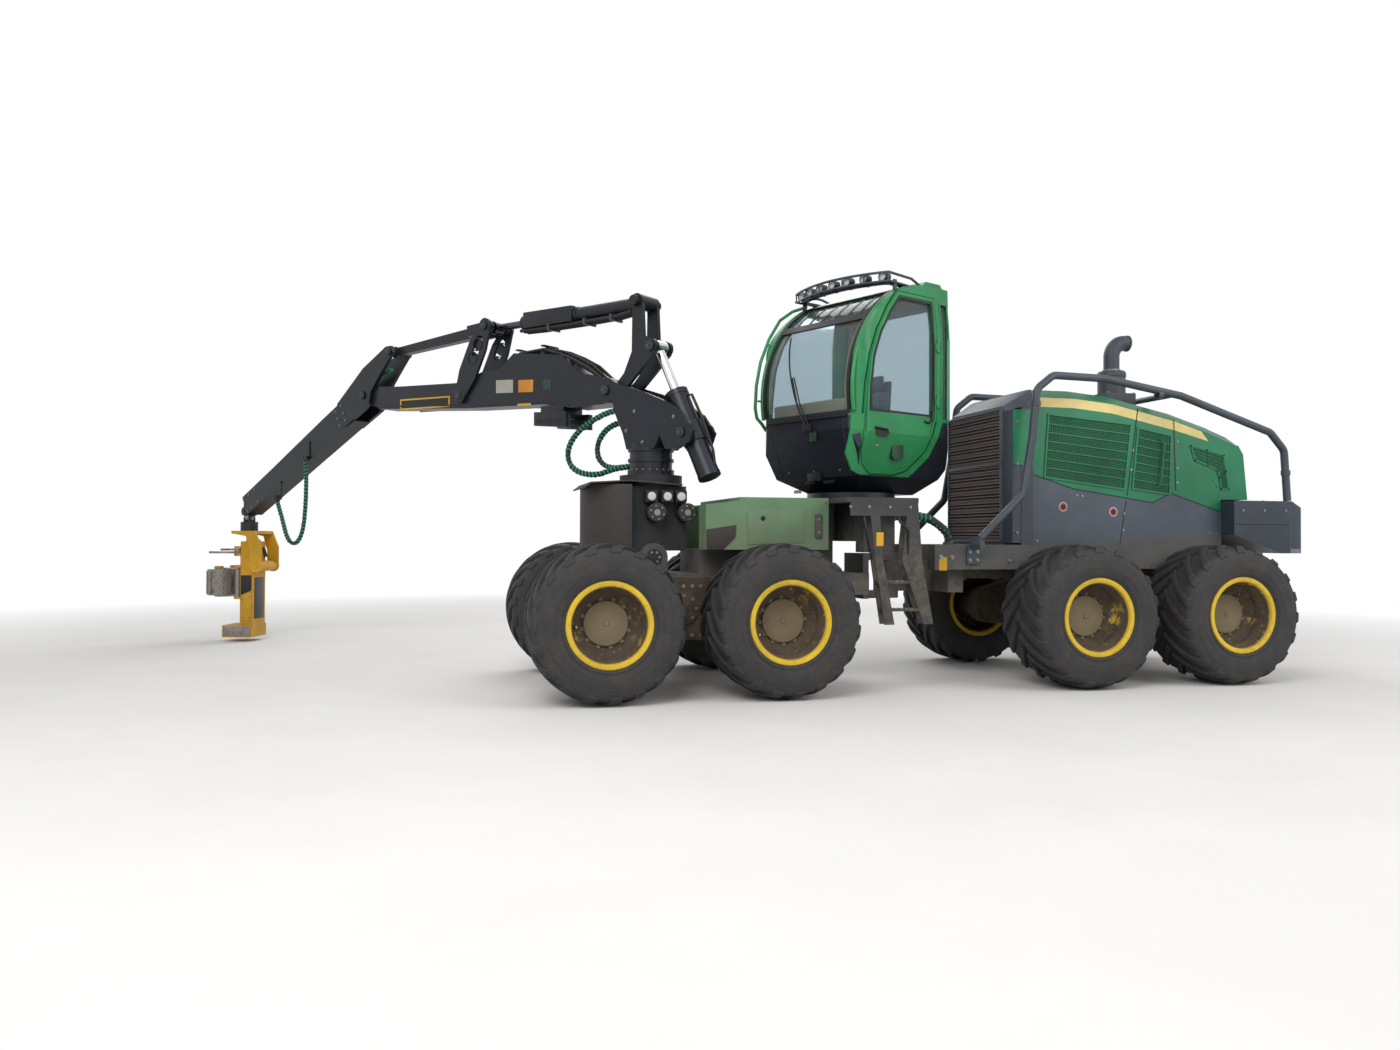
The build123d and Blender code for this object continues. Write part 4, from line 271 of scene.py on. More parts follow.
def lens(name, colour):
    """A lamp's fluted glass."""
    m = Nodes(name)
    flute = m.tree.nodes.new("ShaderNodeTexWave")
    flute.inputs["Scale"].default_value = 24
    m.link(m.where, flute.inputs["Vector"])
    colour = rgb(colour)
    m.colour(m.mix(m.spread(flute.outputs["Fac"], 0, 1, 0, 0.6), colour, darker(colour, 0.55)))
    m.roughness(m.spread(m.noise(20), 0.3, 0.7, 0.08, 0.3))
    m.bump(flute.outputs["Fac"], 0.3, 0.002)
    return m.material


def patched(name, mud, dry, paint):
    """Dried mud with paint showing through in worn patches, spread unevenly by a broad noise."""
    m = Nodes(name)
    base = m.mix(m.spread(m.noise(7, 8, 0.7), 0.35, 0.68), rgb(mud), rgb(dry))
    worn = m.spread(m.noise(4.2, 10, 0.72), 0.585, 0.62)
    flecks = m.spread(m.noise(34, 6, 0.7), 0.60, 0.66, 0.0, 0.7)
    show = m.maths("MAXIMUM", worn, flecks)
    where = m.spread(m.noise(1.3, 2), 0.40, 0.58)
    m.colour(m.mix(m.maths("MULTIPLY", show, where), base, rgb(paint)))
    m.roughness(m.spread(show, 0, 1, 0.88, 0.5))
    m.bump(m.maths("ADD", m.noise(45, 6), m.noise(8, 4)), 0.3, 0.008)
    return m.material


# Name, colour, dust, how dusty, roughness, scratches, top of the mud's splash, and a second colour
# with the place where it starts
DUST = "8b7d66"
PAINTS = (
    ("hood_green", "14704a", DUST, 0.07, 0.34, 0.05),
    ("cab_green", "23804a", DUST, 0.06, 0.3, 0.04),
    ("roof_green", "23804a", DUST, 0.06, 0.3, 0.04, None, ("161b25", -0.105)),
    ("box_green", "60805f", "7d7864", 0.5, 0.6, 0.4, 1.7),
    ("crane_charcoal", "12171f", "3a4048", 0.10, 0.38, 0.12),
    ("frame_grey", "4b4d4e", "776b5a", 0.5, 0.6, 0.3, 1.35),
    ("panel_grey", "3a4149", "5f5f5c", 0.16, 0.46),
    ("lower_grey", "454d57", "6c6b68", 0.16, 0.46),
    ("rear_grey", "2e3640", "55585a", 0.14, 0.44),
    # Lighter grey skin on the rear box's cut corners: a painted highlight
    ("rear_cut", "6a737c", "77756f", 0.16, 0.46),
    ("deck_grey", "303336", "5e5649", 0.5, 0.6, 0.3, 1.75),
    ("rail_grey", "3d444c", "66645e", 0.14, 0.4),
    ("axle_iron", "3d352d", "5f4f3e", 0.6, 0.78, 0.3, 1.2),
    ("base_grey", "242628", "4a4238", 0.5, 0.6),
    ("guard_brown", "332f2e", "564a3e", 0.5, 0.62, 0.4),
    ("head_yellow", "c9961a", "5f5036", 0.4, 0.5, 0.6),
    ("rim_yellow", "d3b02c", "7a6a4c", 0.35, 0.5, 0.5),
    ("hub_mud", "80725a", "8b7d64", 0.7, 0.88, 0.5),
    ("stripe_yellow", "d2c07a", DUST, 0.08, 0.3, 0.05),
    ("cab_black", "161b25", "44464a", 0.12, 0.34, 0.15),
    ("black_plastic", "131416", "3c3a35", 0.16, 0.5, 0.08),
    ("louvre_brown", "43342c", "5a4a3d", 0.3, 0.7, 0.2),
    # Dark brown backing behind the louvres: painted shade seen through their gaps
    ("louvre_dark", "1d1815", "33291f", 0.3, 0.85, 0.0),
    # Dark green backing behind the grilles: painted shade seen through their gaps
    ("grille_dark", "173f2b", "3a4a38", 0.2, 0.8, 0.0),
    ("grille_wire", "23704a", "56604c", 0.25, 0.5, 0.1),
    ("engine_iron", "25282a", "4d463b", 0.4, 0.7),
    ("exhaust_grey", "363b42", "57544d", 0.2, 0.5),
    ("interior_beige", "a08c70", "b09c7e", 0.1, 0.7, 0.0),
    ("plate_blank", "a9a59a", DUST, 0.2, 0.45, 0.1),
    ("plate_white", "cfccc4", DUST, 0.2, 0.45, 0.1),
    ("plate_yellow", "cf9d22", DUST, 0.15, 0.45, 0.15),
    ("plate_orange", "c9842c", DUST, 0.15, 0.45, 0.15),
    ("plate_green", "1a3a27", "4c4d40", 0.15, 0.35, 0.1),
    ("marker_red", "9c2f2a", DUST, 0.1, 0.4, 0.1),
    ("rotator_iron", "27292a", "5d5245", 0.4, 0.55),
    ("lamp_ring", "55585c", "6a675f", 0.15, 0.3),
    ("pin_dark", "2a2f36", "4c4b48", 0.3, 0.5, 0.5),
)
OTHERS = (
    (patched, "rim_barrel", "43392f", "5b4d3d", "c7a631"),
    (metal, "worn_steel", "8b8680", 0.38, 0.55),
    (metal, "bolt_steel", "8b8984", 0.38, 0.25),
    (metal, "rod_chrome", "dcdcdc", 0.08, 0.0, (1, 1, 0.1)),
    # Dark metal for the jib cylinder's chrome rod: painted shade and a painted dark reflection on it
    (metal, "rod_dark", "50545a", 0.2, 0.0, (1, 1, 0.1)),
    (rubber, "tyre_rubber", "242427", "544b3f", 0.42, 0.5),
    (rubber, "tyre_side", "262628", "50483d", 0.5, 0.44),
    (rubber, "hose_black", "1a1b1b", "3f3a32", 0.3),
    (rubber, "hose_green", "238a66", "37604c", 0.22),
    (glass, "clear_glass", "c8d6dd"),
    (cloth, "seat_fabric", "3d4c66"),
    (lens, "lamp_lens", "c9cfd2"),
)
MATERIALS = {row[0]: painted(*row) for row in PAINTS} | {row[1]: row[0](*row[1:]) for row in OTHERS}

# The CAD nodes that each material goes on
NODES_BY_MATERIAL = {
    "frame_grey": "front_chassis rear_chassis",
    "axle_iron": "front_bogie_axle rear_bogie_axle",
    "box_green": "tool_box",
    "deck_grey": "cab_platform",
    "base_grey": "crane_base",
    "guard_brown": "crane_guards",
    "crane_charcoal": "crane_pillar main_boom lift_cylinder_barrel jib_cylinder_barrel"
                      " knuckle_lever tie_bar outer_boom extension_boom",
    "rod_chrome": "lift_cylinder_rod",
    # The jib cylinder's rod takes the dark metal that paints shade and a dark reflection on it
    "rod_dark": "jib_cylinder_rod",
    "worn_steel": "tip_link feed_arm_left feed_arm_right knife_left knife_right",
    "rotator_iron": "rotator",
    "head_yellow": "tilt_bracket head_frame",
    "engine_iron": "engine_block",
    "panel_grey": "radiator_housing",
    "hood_green": "engine_hood",
    "lower_grey": "lower_side_panels",
    "exhaust_grey": "exhaust_pipe",
    "rail_grey": "guard_rails",
    "rear_grey": "rear_box",
    "cab_black": "cab_lower_body",
    "cab_green": "cab_frame cab_door",
    "roof_green": "cab_roof",
    "clear_glass": "cab_glass door_glass",
    "seat_fabric": "cab_seat",
}


# Mesh building


def moving_frames(points):
    """Each point of a line with the way ahead and two ways across that turn as little as they can."""
    side = None
    for index, point in enumerate(points):
        ahead = (points[min(index + 1, len(points) - 1)] - points[max(index - 1, 0)]).normalized()
        side = ahead.orthogonal() if side is None else side - ahead * side.dot(ahead)
        side.normalize()
        yield point, ahead, side, ahead.cross(side)


def around(count, first=0.0):
    """The cosine and sine of evenly spaced turns."""
    return [(math.cos(a), math.sin(a)) for a in (first + 2 * math.pi * i / count for i in range(count))]


class Piece:
    """One mesh piece, built from simple closed forms in one of the frames above."""

    def __init__(self, name, body, place=MACHINE):
        self.name = name
        self.body = body
        self.place = place
        self.mesh = bmesh.new()
        self.slots = []
        self.slot = 0

    def use(self, material):
        if material not in self.slots:
            self.slots.append(material)
        self.slot = self.slots.index(material)
        return self

    def face(self, corners, smooth=False):
        face = self.mesh.faces.new(corners)
        face.material_index = self.slot
        face.smooth = smooth

    def add(self, vertices, faces, bevel=0.0):
        made = [self.mesh.verts.new(v) for v in vertices]
        for face in faces:
            self.face([made[i] for i in face])
        if bevel:
            edges = {edge for vertex in made for edge in vertex.link_edges}
            result = bmesh.ops.bevel(
                self.mesh, geom=list(edges), offset=bevel, segments=2, profile=0.6, affect="EDGES"
            )
            for face in result["faces"]:
                face.material_index = self.slot
        return self

    def box(self, low, high, bevel=0.0):
        (x0, y0, z0), (x1, y1, z1) = low, high
        corners = [(x, y, z) for z in (z0, z1) for y in (y0, y1) for x in (x0, x1)]
        faces = [(0, 2, 3, 1), (4, 5, 7, 6), (0, 1, 5, 4), (2, 6, 7, 3), (0, 4, 6, 2), (1, 3, 7, 5)]
        return self.add(corners, faces, bevel)

    def slab(self, vertices, bevel=0.0):
        """A closed form between two loops of equal length, given one after the other."""
        count = len(vertices) // 2
        faces = [tuple(range(count)), tuple(range(2 * count - 1, count - 1, -1))]
        faces += [(i, (i + 1) % count, count + (i + 1) % count, count + i) for i in range(count)]
        return self.add(vertices, faces, bevel)

    def prism(self, outline, axis, low, high, bevel=0.0):
        """A plate from an outline in the two other axes."""
        def point(a, b, c):
            return {"x": (c, a, b), "y": (a, c, b), "z": (a, b, c)}[axis]

        return self.slab([point(a, b, c) for c in (low, high) for a, b in outline], bevel)

    def plate(self, outline, side, near, far, bevel=0.0):
        """A plate on one side of the machine, between two distances from its middle."""
        return self.prism(outline, "y", *sorted((side * near, side * far)), bevel)

    def block(self, side, low, high, bevel=0.0):
        """A box on one side of the machine: its Y places are distances from the middle."""
        near, far = sorted((side * low[1], side * high[1]))
        return self.box((low[0], near, low[2]), (high[0], far, high[2]), bevel)

    def hull(self, points):
        """The closed form that wraps a set of points."""
        made = [self.mesh.verts.new(point) for point in points]
        for part in bmesh.ops.convex_hull(self.mesh, input=made)["geom"]:
            if isinstance(part, bmesh.types.BMFace):
                part.material_index = self.slot
        return self

    def circle(self, centre, side, other, radius, sides):
        return [self.mesh.verts.new(centre + (side * c + other * s) * radius) for c, s in around(sides)]

    def lathe(self, origin, axis, profile, sides=32):
        """A (radius, distance) profile turned about an axis."""
        axis = Vector(axis).normalized()
        side = axis.orthogonal().normalized()
        other = axis.cross(side)
        rings = []
        for radius, distance in profile:
            centre = Vector(origin) + axis * distance
            if radius < 1e-6:
                rings.append([self.mesh.verts.new(centre)])
            else:
                rings.append(self.circle(centre, side, other, radius, sides))
        if profile[0] == profile[-1]:
            for vertex in rings[-1]:
                self.mesh.verts.remove(vertex)
            rings[-1] = rings[0]
        for one, two in zip(rings, rings[1:]):
            for i in range(sides):
                j = (i + 1) % sides
                corners = [one[i % len(one)], one[j % len(one)], two[j % len(two)], two[i % len(two)]]
                corners = [v for k, v in enumerate(corners) if v not in corners[:k]]
                if len(corners) > 2:
                    self.face(corners, True)
        return self

    def rod(self, start, end, radius, sides=20, end_radius=None):
        way = Vector(end) - Vector(start)
        tip = radius if end_radius is None else end_radius
        return self.lathe(start, way, [(0, 0), (radius, 0), (tip, way.length), (0, way.length)], sides)

    def ring(self, origin, axis, inner, outer, length, sides):
        profile = [(inner, 0), (outer, 0), (outer, length), (inner, length), (inner, 0)]
        return self.lathe(origin, axis, profile, sides)

    def cap(self, origin, axis, top, foot, rise, sides):
        """A low round cap, narrower at its top."""
        return self.lathe(origin, axis, [(0, rise), (top, rise), (foot, 0), (0, 0)], sides)

    def skin(self, rings):
        """A smooth wall through rings of points, with a flat cap at each end."""
        for one, two in zip(rings, rings[1:]):
            for i in range(len(one)):
                j = (i + 1) % len(one)
                self.face((one[i], one[j], two[j], two[i]), True)
        self.face(rings[0])
        self.face(rings[-1])
        return self

    def tube(self, points, radius, sides=12):
        """A round tube through points, with a flat cap at each end."""
        return self.skin([
            self.circle(point, side, other, radius, sides)
            for point, _, side, other in moving_frames([Vector(p) for p in points])
        ])

    def bolt(self, place, axis, size=0.012):
        """A washer and a six-sided head."""
        axis = Vector(axis).normalized()
        place = Vector(place)
        self.rod(place, place + axis * size * 0.3, size * 1.5, 14)
        return self.rod(place + axis * size * 0.3, place + axis * size * 1.1, size, 6)

    def bolts(self, places, axis, size):
        for place in places:
            self.bolt(place, axis, size)
        return self

    def side_bolts(self, side, y, places, size):
        """Bolts at X, Z places on a wall that faces +Y or -Y, at a distance from the middle."""
        return self.bolts([(x, side * y, z) for x, z in places], (0, side, 0), size)

    def bolt_circle(self, centre, side, radius, count, size, first=0.0):
        """Bolts in a circle on a wall that faces +Y or -Y."""
        x, y, z = centre
        places = [(x + radius * c, y, z + radius * s) for c, s in around(count, first)]
        return self.bolts(places, (0, side, 0), size)

    def done(self, *replaced, blend=None):
        """The finished object, riding on its body, or with its place baked in and on no body when a blend
        is given.
        """
        bmesh.ops.transform(self.mesh, matrix=self.place, verts=self.mesh.verts)
        bmesh.ops.recalc_face_normals(self.mesh, faces=self.mesh.faces)
        data = bpy.data.meshes.new(self.name)
        self.mesh.to_mesh(data)
        self.mesh.free()
        data.set_sharp_from_angle(angle=SHARP_EDGE)
        for slot in self.slots:
            data.materials.append(MATERIALS[slot])
        thing = bpy.data.objects.new(self.name, data)
        bpy.context.scene.collection.objects.link(thing)
        if blend:
            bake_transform(thing)
        else:
            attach(thing, self.body)
        if replaced:
            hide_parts(*replaced)
        return thing


def between(one, two, share):
    return (one[0] + (two[0] - one[0]) * share, one[1] + (two[1] - one[1]) * share)


# Wheels

AXLE = (0, 1, 0)
HUB = (0, 0, 0)
LUG_COUNT = 19
LUG_STATIONS = 12
LUG_SWEEP = math.radians(27)
LUG_HALF_TURN = math.pi / LUG_COUNT
LUG_END_Y = 0.340
SHOULDER_SHARE = 0.86
# Half of the carcass from its bead to the tread's middle: radius, distance from the middle plane
TREAD_PROFILE = (
    (0.362, 0.296), (0.368, 0.322), (0.382, 0.334), (0.400, 0.337), (0.430, 0.347), (0.475, 0.3525),
    (0.520, 0.351), (0.560, 0.343), (0.590, 0.338), (0.612, 0.325), (0.626, 0.300), (0.633, 0.260),
    (0.633, 0.150), (0.633, 0.0),
)
# The lugs' outer radius at distances from the middle plane
LUG_CREST = (
    (0.006, 0.6735), (0.10, 0.6725), (0.20, 0.668), (0.26, 0.661), (0.300, 0.650), (0.325, 0.634),
    (0.340, 0.615),
)


def crest(y):
    """The lugs' outer radius at a distance from the tyre's middle plane."""
    for (y0, r0), (y1, r1) in zip(LUG_CREST, LUG_CREST[1:]):
        if y <= y1:
            return r0 + (r1 - r0) * max(0.0, (y - y0) / (y1 - y0))
    return LUG_CREST[-1][1]


def add_tyre(piece):
    """The carcass turned from its profile, and two rows of curved lugs that lean towards its middle."""
    half = list(TREAD_PROFILE)
    profile = half + [(r, -y) for r, y in reversed(half[:-1])]
    piece.use("tyre_side").lathe(HUB, AXLE, profile + [profile[0]], 112)
    for ring, out in ((0.392, 0.3415), (0.405, 0.3425), (0.452, 0.3525), (0.530, 0.3520)):
        edge = [(ring - 0.006, out - 0.004), (ring, out), (ring + 0.006, out - 0.004), (ring, out - 0.02)]
        for side in (1, -1):
            piece.lathe(HUB, AXLE, [(r, side * y) for r, y in edge + edge[:1]], 96)
    piece.use("tyre_rubber")
    for side in (1, -1):
        for number in range(LUG_COUNT):
            add_lug(piece, 2 * math.pi * number / LUG_COUNT + (LUG_HALF_TURN if side > 0 else 0), side)


def add_lug(piece, start, side):
    """One lug: from the middle plane it curves back, widens, and rolls over the shoulder on to the side."""
    rows = []
    for station in range(LUG_STATIONS):
        share = station / (LUG_STATIONS - 1)
        y = 0.004 + 0.336 * math.sin(share * math.pi / 2)
        past = max(0.0, share - SHOULDER_SHARE) / (1 - SHOULDER_SHARE)
        top = crest(y) - 0.012 * past
        half = 0.030 + 0.017 * min(1.0, share / 0.8) - 0.010 * past
        base = top - (0.075 if share < SHOULDER_SHARE else 0.06)
        angle = start - LUG_SWEEP * (1 - (1 - y / LUG_END_Y) ** 1.35)
        section = [
            (base, half * 1.22), (top - 0.014, half * 1.03), (top - 0.003, half * 0.93), (top, half * 0.74),
        ]
        ring = [(r, angle + width / r) for r, width in section]
        ring += [(r, angle - width / r) for r, width in reversed(section)]
        rows.append([
            piece.mesh.verts.new((
                r * math.cos(a), side * (y - (0.030 * past if r < top - 0.02 else 0.0)), r * math.sin(a),
            ))
            for r, a in ring
        ])
    piece.skin(rows)


def add_rim(piece):
    """Flange rings, deep barrel, flat hub disc and its small bolts; the outer side is at +Y."""
    flange = RIM_RADIUS + 0.032
    barrel = RIM_RADIUS - 0.014
    piece.use("rim_yellow")
    edge = (
        (barrel - 0.004, 0.286), (RIM_RADIUS, 0.298), (RIM_RADIUS + 0.010, 0.312), (flange - 0.006, 0.316),
        (flange, 0.322), (flange - 0.006, 0.330), (flange - 0.016, 0.332), (barrel + 0.004, 0.324),
        (barrel - 0.004, 0.308), (barrel - 0.004, 0.286),
    )
    for side in (1, -1):
        piece.lathe(HUB, AXLE, [(r, side * y) for r, y in edge], 72)
    piece.use("rim_barrel").lathe(HUB, AXLE, [
        (barrel, 0.304), (barrel - 0.012, 0.292), (barrel - 0.014, 0.240), (barrel - 0.024, 0.222),
        (barrel - 0.026, 0.130), (barrel - 0.050, 0.098), (0.232, 0.074), (0.190, 0.070), (0.060, 0.070),
        (0.060, 0.044), (barrel - 0.034, 0.046), (barrel - 0.014, 0.020), (barrel - 0.010, -0.296),
        (RIM_RADIUS, -0.300), (RIM_RADIUS, 0.302), (barrel, 0.304),
    ], 72)
    piece.use("hub_mud").lathe(HUB, AXLE, [
        (0, 0.108), (0.020, 0.108), (0.024, 0.104), (0.026, 0.099), (0.176, 0.098), (0.188, 0.094),
        (0.192, 0.086), (0.192, 0.068), (0, 0.068),
    ], 64)
    piece.lathe((0, 0.0985, 0), AXLE, [(0.032, 0), (0.036, 0.002), (0.040, 0), (0.032, 0)], 32)
    piece.bolt_circle((0, 0.072, 0), 1, 0.205, 12, 0.013, math.radians(9))
    piece.use("rim_yellow").bolt_circle((0, 0.3295, 0), 1, 0.343, 24, 0.0045, math.radians(7.5))
    valve = [(0, 0.055), (0.010, 0.055), (0.014, 0.045), (0.016, 0.0), (0, 0)]
    piece.use("bolt_steel").lathe((0.262, 0.095, 0.07), (-0.3, 1, 0), valve, 14)


def make_wheels():
    """Each wheel at its own turn, the right ones turned about so that the rim's outer side is outside."""
    stations = (BOGIE_BASE / 2, -BOGIE_BASE / 2, BOGIE_BASE / 2 - WHEELBASE, -BOGIE_BASE / 2 - WHEELBASE)
    for number, x in enumerate(stations, start=1):
        for side, sign in (("left", 1), ("right", -1)):
            turn = Matrix.Rotation(0.37 * number + (0.8 if sign < 0 else 0), 4, "Y")
            facing = Matrix.Rotation(0 if sign > 0 else math.pi, 4, "Z")
            place = MACHINE @ Matrix.Translation((x, sign * TRACK_HALF, TYRE_RADIUS)) @ turn @ facing
            for name, node, add in (("tyre_tread", "tyre", add_tyre), ("rim_detail", "rim", add_rim)):
                piece = Piece(f"{name}_{side}_{number}", f"wheel_{side}_{number}", place)
                add(piece)
                piece.done(f"{node}_{side}_{number}")


# Rear frame and hood: outlines and places are X, Z

HOOD_SIDE_TOP = ((-3.56, 2.813), (-4.01, 2.813), (-4.45, 2.773), (-5.18, 2.623), (-5.62, 2.493))
HOOD_EDGE = ((-3.56, 2.035), (-4.0, 1.903), (-4.92, 1.773), (-5.13, 1.873), (-5.736, 1.687))
# Each grille's number of upright gaps, then its corners
GRILLES = (
    (42, (-3.735, 2.63), (-4.655, 2.555), (-4.575, 1.915), (-3.69, 2.02)),
    (18, (-4.755, 2.52), (-5.125, 2.455), (-5.105, 1.870), (-4.69, 1.92)),
)
GRILLE_RIBS = 7
GRILLE_EDGE = 0.018
# The bent grille's outer and inner points along its bend
CORNER_GRILLE = (
    ((-5.37, 2.365), (-5.42, 2.215)),
    ((-5.56, 2.325), (-5.57, 2.165)),
    ((-5.765, 2.275), (-5.690, 2.115)),
    ((-5.795, 2.11), (-5.715, 2.04)),
    ((-5.825, 1.925), (-5.735, 1.925)),
)
SEAMS = (
    ((-4.74, 2.73), (-4.615, 1.84), 0.012),
    ((-5.162, 2.63), (-5.185, 1.90), 0.012),
    ((-4.535, 1.36), (-4.605, 1.79), 0.008),
)
HOOD_HOLES = ((-3.89, 1.72), (-4.46, 1.675))
HOOD_BOLTS = (
    (-4.046, 1.835), (-4.105, 1.83), (-4.585, 1.66), (-4.575, 1.49), (-3.60, 1.38), (-5.596, 1.468),
    (-5.675, 1.468), (-4.67, 2.106), (-5.21, 2.133), (-4.69, 2.30), (-5.21, 2.40), (-5.21, 1.98),
)
REAR_BOX_HALF = 0.85
REAR_BOX_CORNERS = (
    (-5.736, 0.85, 1.45), (-5.736, 0.85, 1.80), (-6.44, 0.85, 1.80), (-6.48, 0.70, 1.80),
    (-6.60, 0.80, 1.735), (-6.60, 0.80, 1.26), (-6.42, 0.85, 1.26), (-6.30, 0.85, 1.26),
)
COOLER_X = -3.29
COOLER_HALF = 0.56
COOLER_BOTTOM, COOLER_SPLIT, COOLER_TOP = 1.36, 2.14, 2.70
COWL_CORNERS = (
    (-3.56, 0.600, 2.886), (-3.56, 0.658, 2.806), (-3.56, 0.658, 2.705), (-3.44, 0.658, 2.705),
    (-3.30, 0.520, 2.722), (-3.30, 0.558, 2.690), (-3.30, 0.558, 2.665),
)


def bar(one, two, half, reach=0.0):
    """The four corners of a bar along a line, its ends moved out by a reach."""
    way = Vector((two[0] - one[0], two[1] - one[1])).normalized()
    wide = Vector((way.y, -way.x)) * half
    start, end = Vector(one) - way * reach, Vector(two) + way * reach
    return [tuple(corner) for corner in (start - wide, start + wide, end + wide, end - wide)]


def level_bar(one, two, half):
    """A bar whose half width is measured upright."""
    return [(x, z + rise) for (x, z), rise in ((one, half), (two, half), (two, -half), (one, -half))]


def grille(piece, side, wires, corners):
    """A grille on the hood's side: a dark backing as painted shade seen through it, raised edge, ribs along
    it and fine crossed wires.
    """
    def plate(a0, a1, d0, d1, near, far):
        outline = [
            between(between(corners[0], corners[1], a), between(corners[3], corners[2], a), d)
            for a, d in ((a0, d0), (a1, d0), (a1, d1), (a0, d1))
        ]
        piece.plate(outline, side, HOOD_HALF + near, HOOD_HALF + far)

    length = abs(corners[1][0] - corners[0][0])
    height = abs(corners[0][1] - corners[3][1])
    edge_a, edge_d = GRILLE_EDGE / length, GRILLE_EDGE / height
    # The backing: a dark sheet that paints the shade behind the grille's gaps
    piece.use("grille_dark")
    plate(-edge_a / 2, 1 + edge_a / 2, -edge_d / 2, 1 + edge_d / 2, 0.0, 0.002)
    piece.use("hood_green")
    plate(-edge_a, 1 + edge_a, -edge_d, 0, 0.0, 0.012)
    plate(-edge_a, 1 + edge_a, 1, 1 + edge_d, 0.0, 0.012)
    plate(-edge_a, 0, 0, 1, 0.0, 0.012)
    plate(1, 1 + edge_a, 0, 1, 0.0, 0.012)
    rib, fine, thin = 0.0055 / height, 0.0018 / height, 0.0018 / length
    for index in range(1, GRILLE_RIBS):
        share = index / GRILLE_RIBS
        plate(0, 1, share - rib, share + rib, 0.001, 0.011)
    piece.use("grille_wire")
    for index in range(GRILLE_RIBS * 4):
        if index % 4:
            share = index / (GRILLE_RIBS * 4)
            plate(0, 1, share - fine, share + fine, 0.001, 0.006)
    for index in range(1, wires):
        share = index / wires
        plate(share - thin, share + thin, 0, 1, 0.001, 0.006)


def corner_grille(piece, side):
    """The bent grille near the hood's rear corner, in short quads along its bend."""
    y = HOOD_HALF
    for (a, b), (c, d) in zip(CORNER_GRILLE, CORNER_GRILLE[1:]):
        # Dark backing: painted shade seen through the bent grille's gaps
        piece.use("grille_dark").plate([a, c, d, b], side, y, y + 0.002)
        piece.use("grille_wire")
        for share in (number / 8 for number in range(1, 8)):
            wire = bar(between(a, c, share), between(b, d, share), 0.0022)
            piece.plate(wire, side, y + 0.001, y + 0.006)
        for share in ((number + 0.5) / 5 for number in range(5)):
            rib = level_bar(between(a, b, share), between(c, d, share), 0.0025)
            piece.plate(rib, side, y + 0.001, y + 0.008)
    rim = [pair[0] for pair in CORNER_GRILLE] + [pair[1] for pair in reversed(CORNER_GRILLE)]
    piece.use("hood_green")
    for one, two in zip(rim, rim[1:] + rim[:1]):
        piece.plate(bar(one, two, 0.008, 0.008), side, y, y + 0.010)


def make_hood():
    """Grilles, stripe, seams, holes, handle and bolts on the hood's sides, and its top's slots."""
    for side, word in SIDES:
        piece = Piece(f"hood_trim_{word}", "rear_frame")
        y = HOOD_HALF
        axis = (0, side, 0)
        for wires, *corners in GRILLES:
            grille(piece, side, wires, corners)
        skin = [(-5.36, 2.36), (-5.74, 2.28), (-5.82, 1.95), (-5.70, 1.93)]
        piece.use("hood_green").plate(skin, side, y, y + 0.0008)
        corner_grille(piece, side)
        piece.use("stripe_yellow")
        for (x0, z0), (x1, z1) in zip(HOOD_SIDE_TOP, HOOD_SIDE_TOP[1:]):
            last = (x1, z1) == HOOD_SIDE_TOP[-1]
            end = (-5.50, 2.515) if last else (x1, z1 - 0.012)
            foot = (-5.585, 2.415) if last else (x1, z1 - 0.105)
            piece.plate([(x0, z0 - 0.012), end, foot, (x0, z0 - 0.105)], side, y, y + 0.0025)
        piece.use("black_plastic")
        for (x0, z0), (x1, z1), wide in SEAMS:
            seam = [(x0, z0), (x0 - wide, z0), (x1 - wide, z1), (x1, z1)]
            piece.plate(seam, side, y, y + 0.0025)
        for one, two in zip(HOOD_EDGE, HOOD_EDGE[1:]):
            piece.plate(level_bar(one, two, 0.005), side, y, y + 0.0025)
        for x, z in HOOD_HOLES:
            place = (x, side * y, z)
            piece.use("marker_red").ring(place, axis, 0.024, 0.040, 0.004, 28)
            piece.use("plate_white").ring(place, axis, 0.040, 0.046, 0.003, 28)
            # A black disc in each hole: painted shade at its bottom
            bottom = [(0, 0.001), (0.024, 0.001), (0.024, 0.003), (0, 0.003)]
            piece.use("black_plastic").lathe(place, axis, bottom, 28)
        near, far = side * y, side * (y + 0.034)
        piece.use("hood_green").tube([
            (-4.99, near, 2.43), (-4.995, far, 2.42), (-5.035, far, 2.36), (-4.99, far, 1.95),
            (-4.96, near, 1.92),
        ], 0.0085)
        piece.use("bolt_steel").side_bolts(side, y, HOOD_BOLTS, 0.009)
        piece.done()
    top = Piece("hood_top_trim", "rear_frame")
    # Black plates for the top's slots: painted shade inside them
    top.use("black_plastic")
    for x in (-3.85, -4.0, -4.15):
        top.box((x - 0.03, -0.30, 2.890), (x + 0.03, 0.30, 2.8945))
    top.use("hood_green").box((-3.72, -0.40, 2.889), (-3.62, 0.40, 2.8945), 0.002)
    top.done()


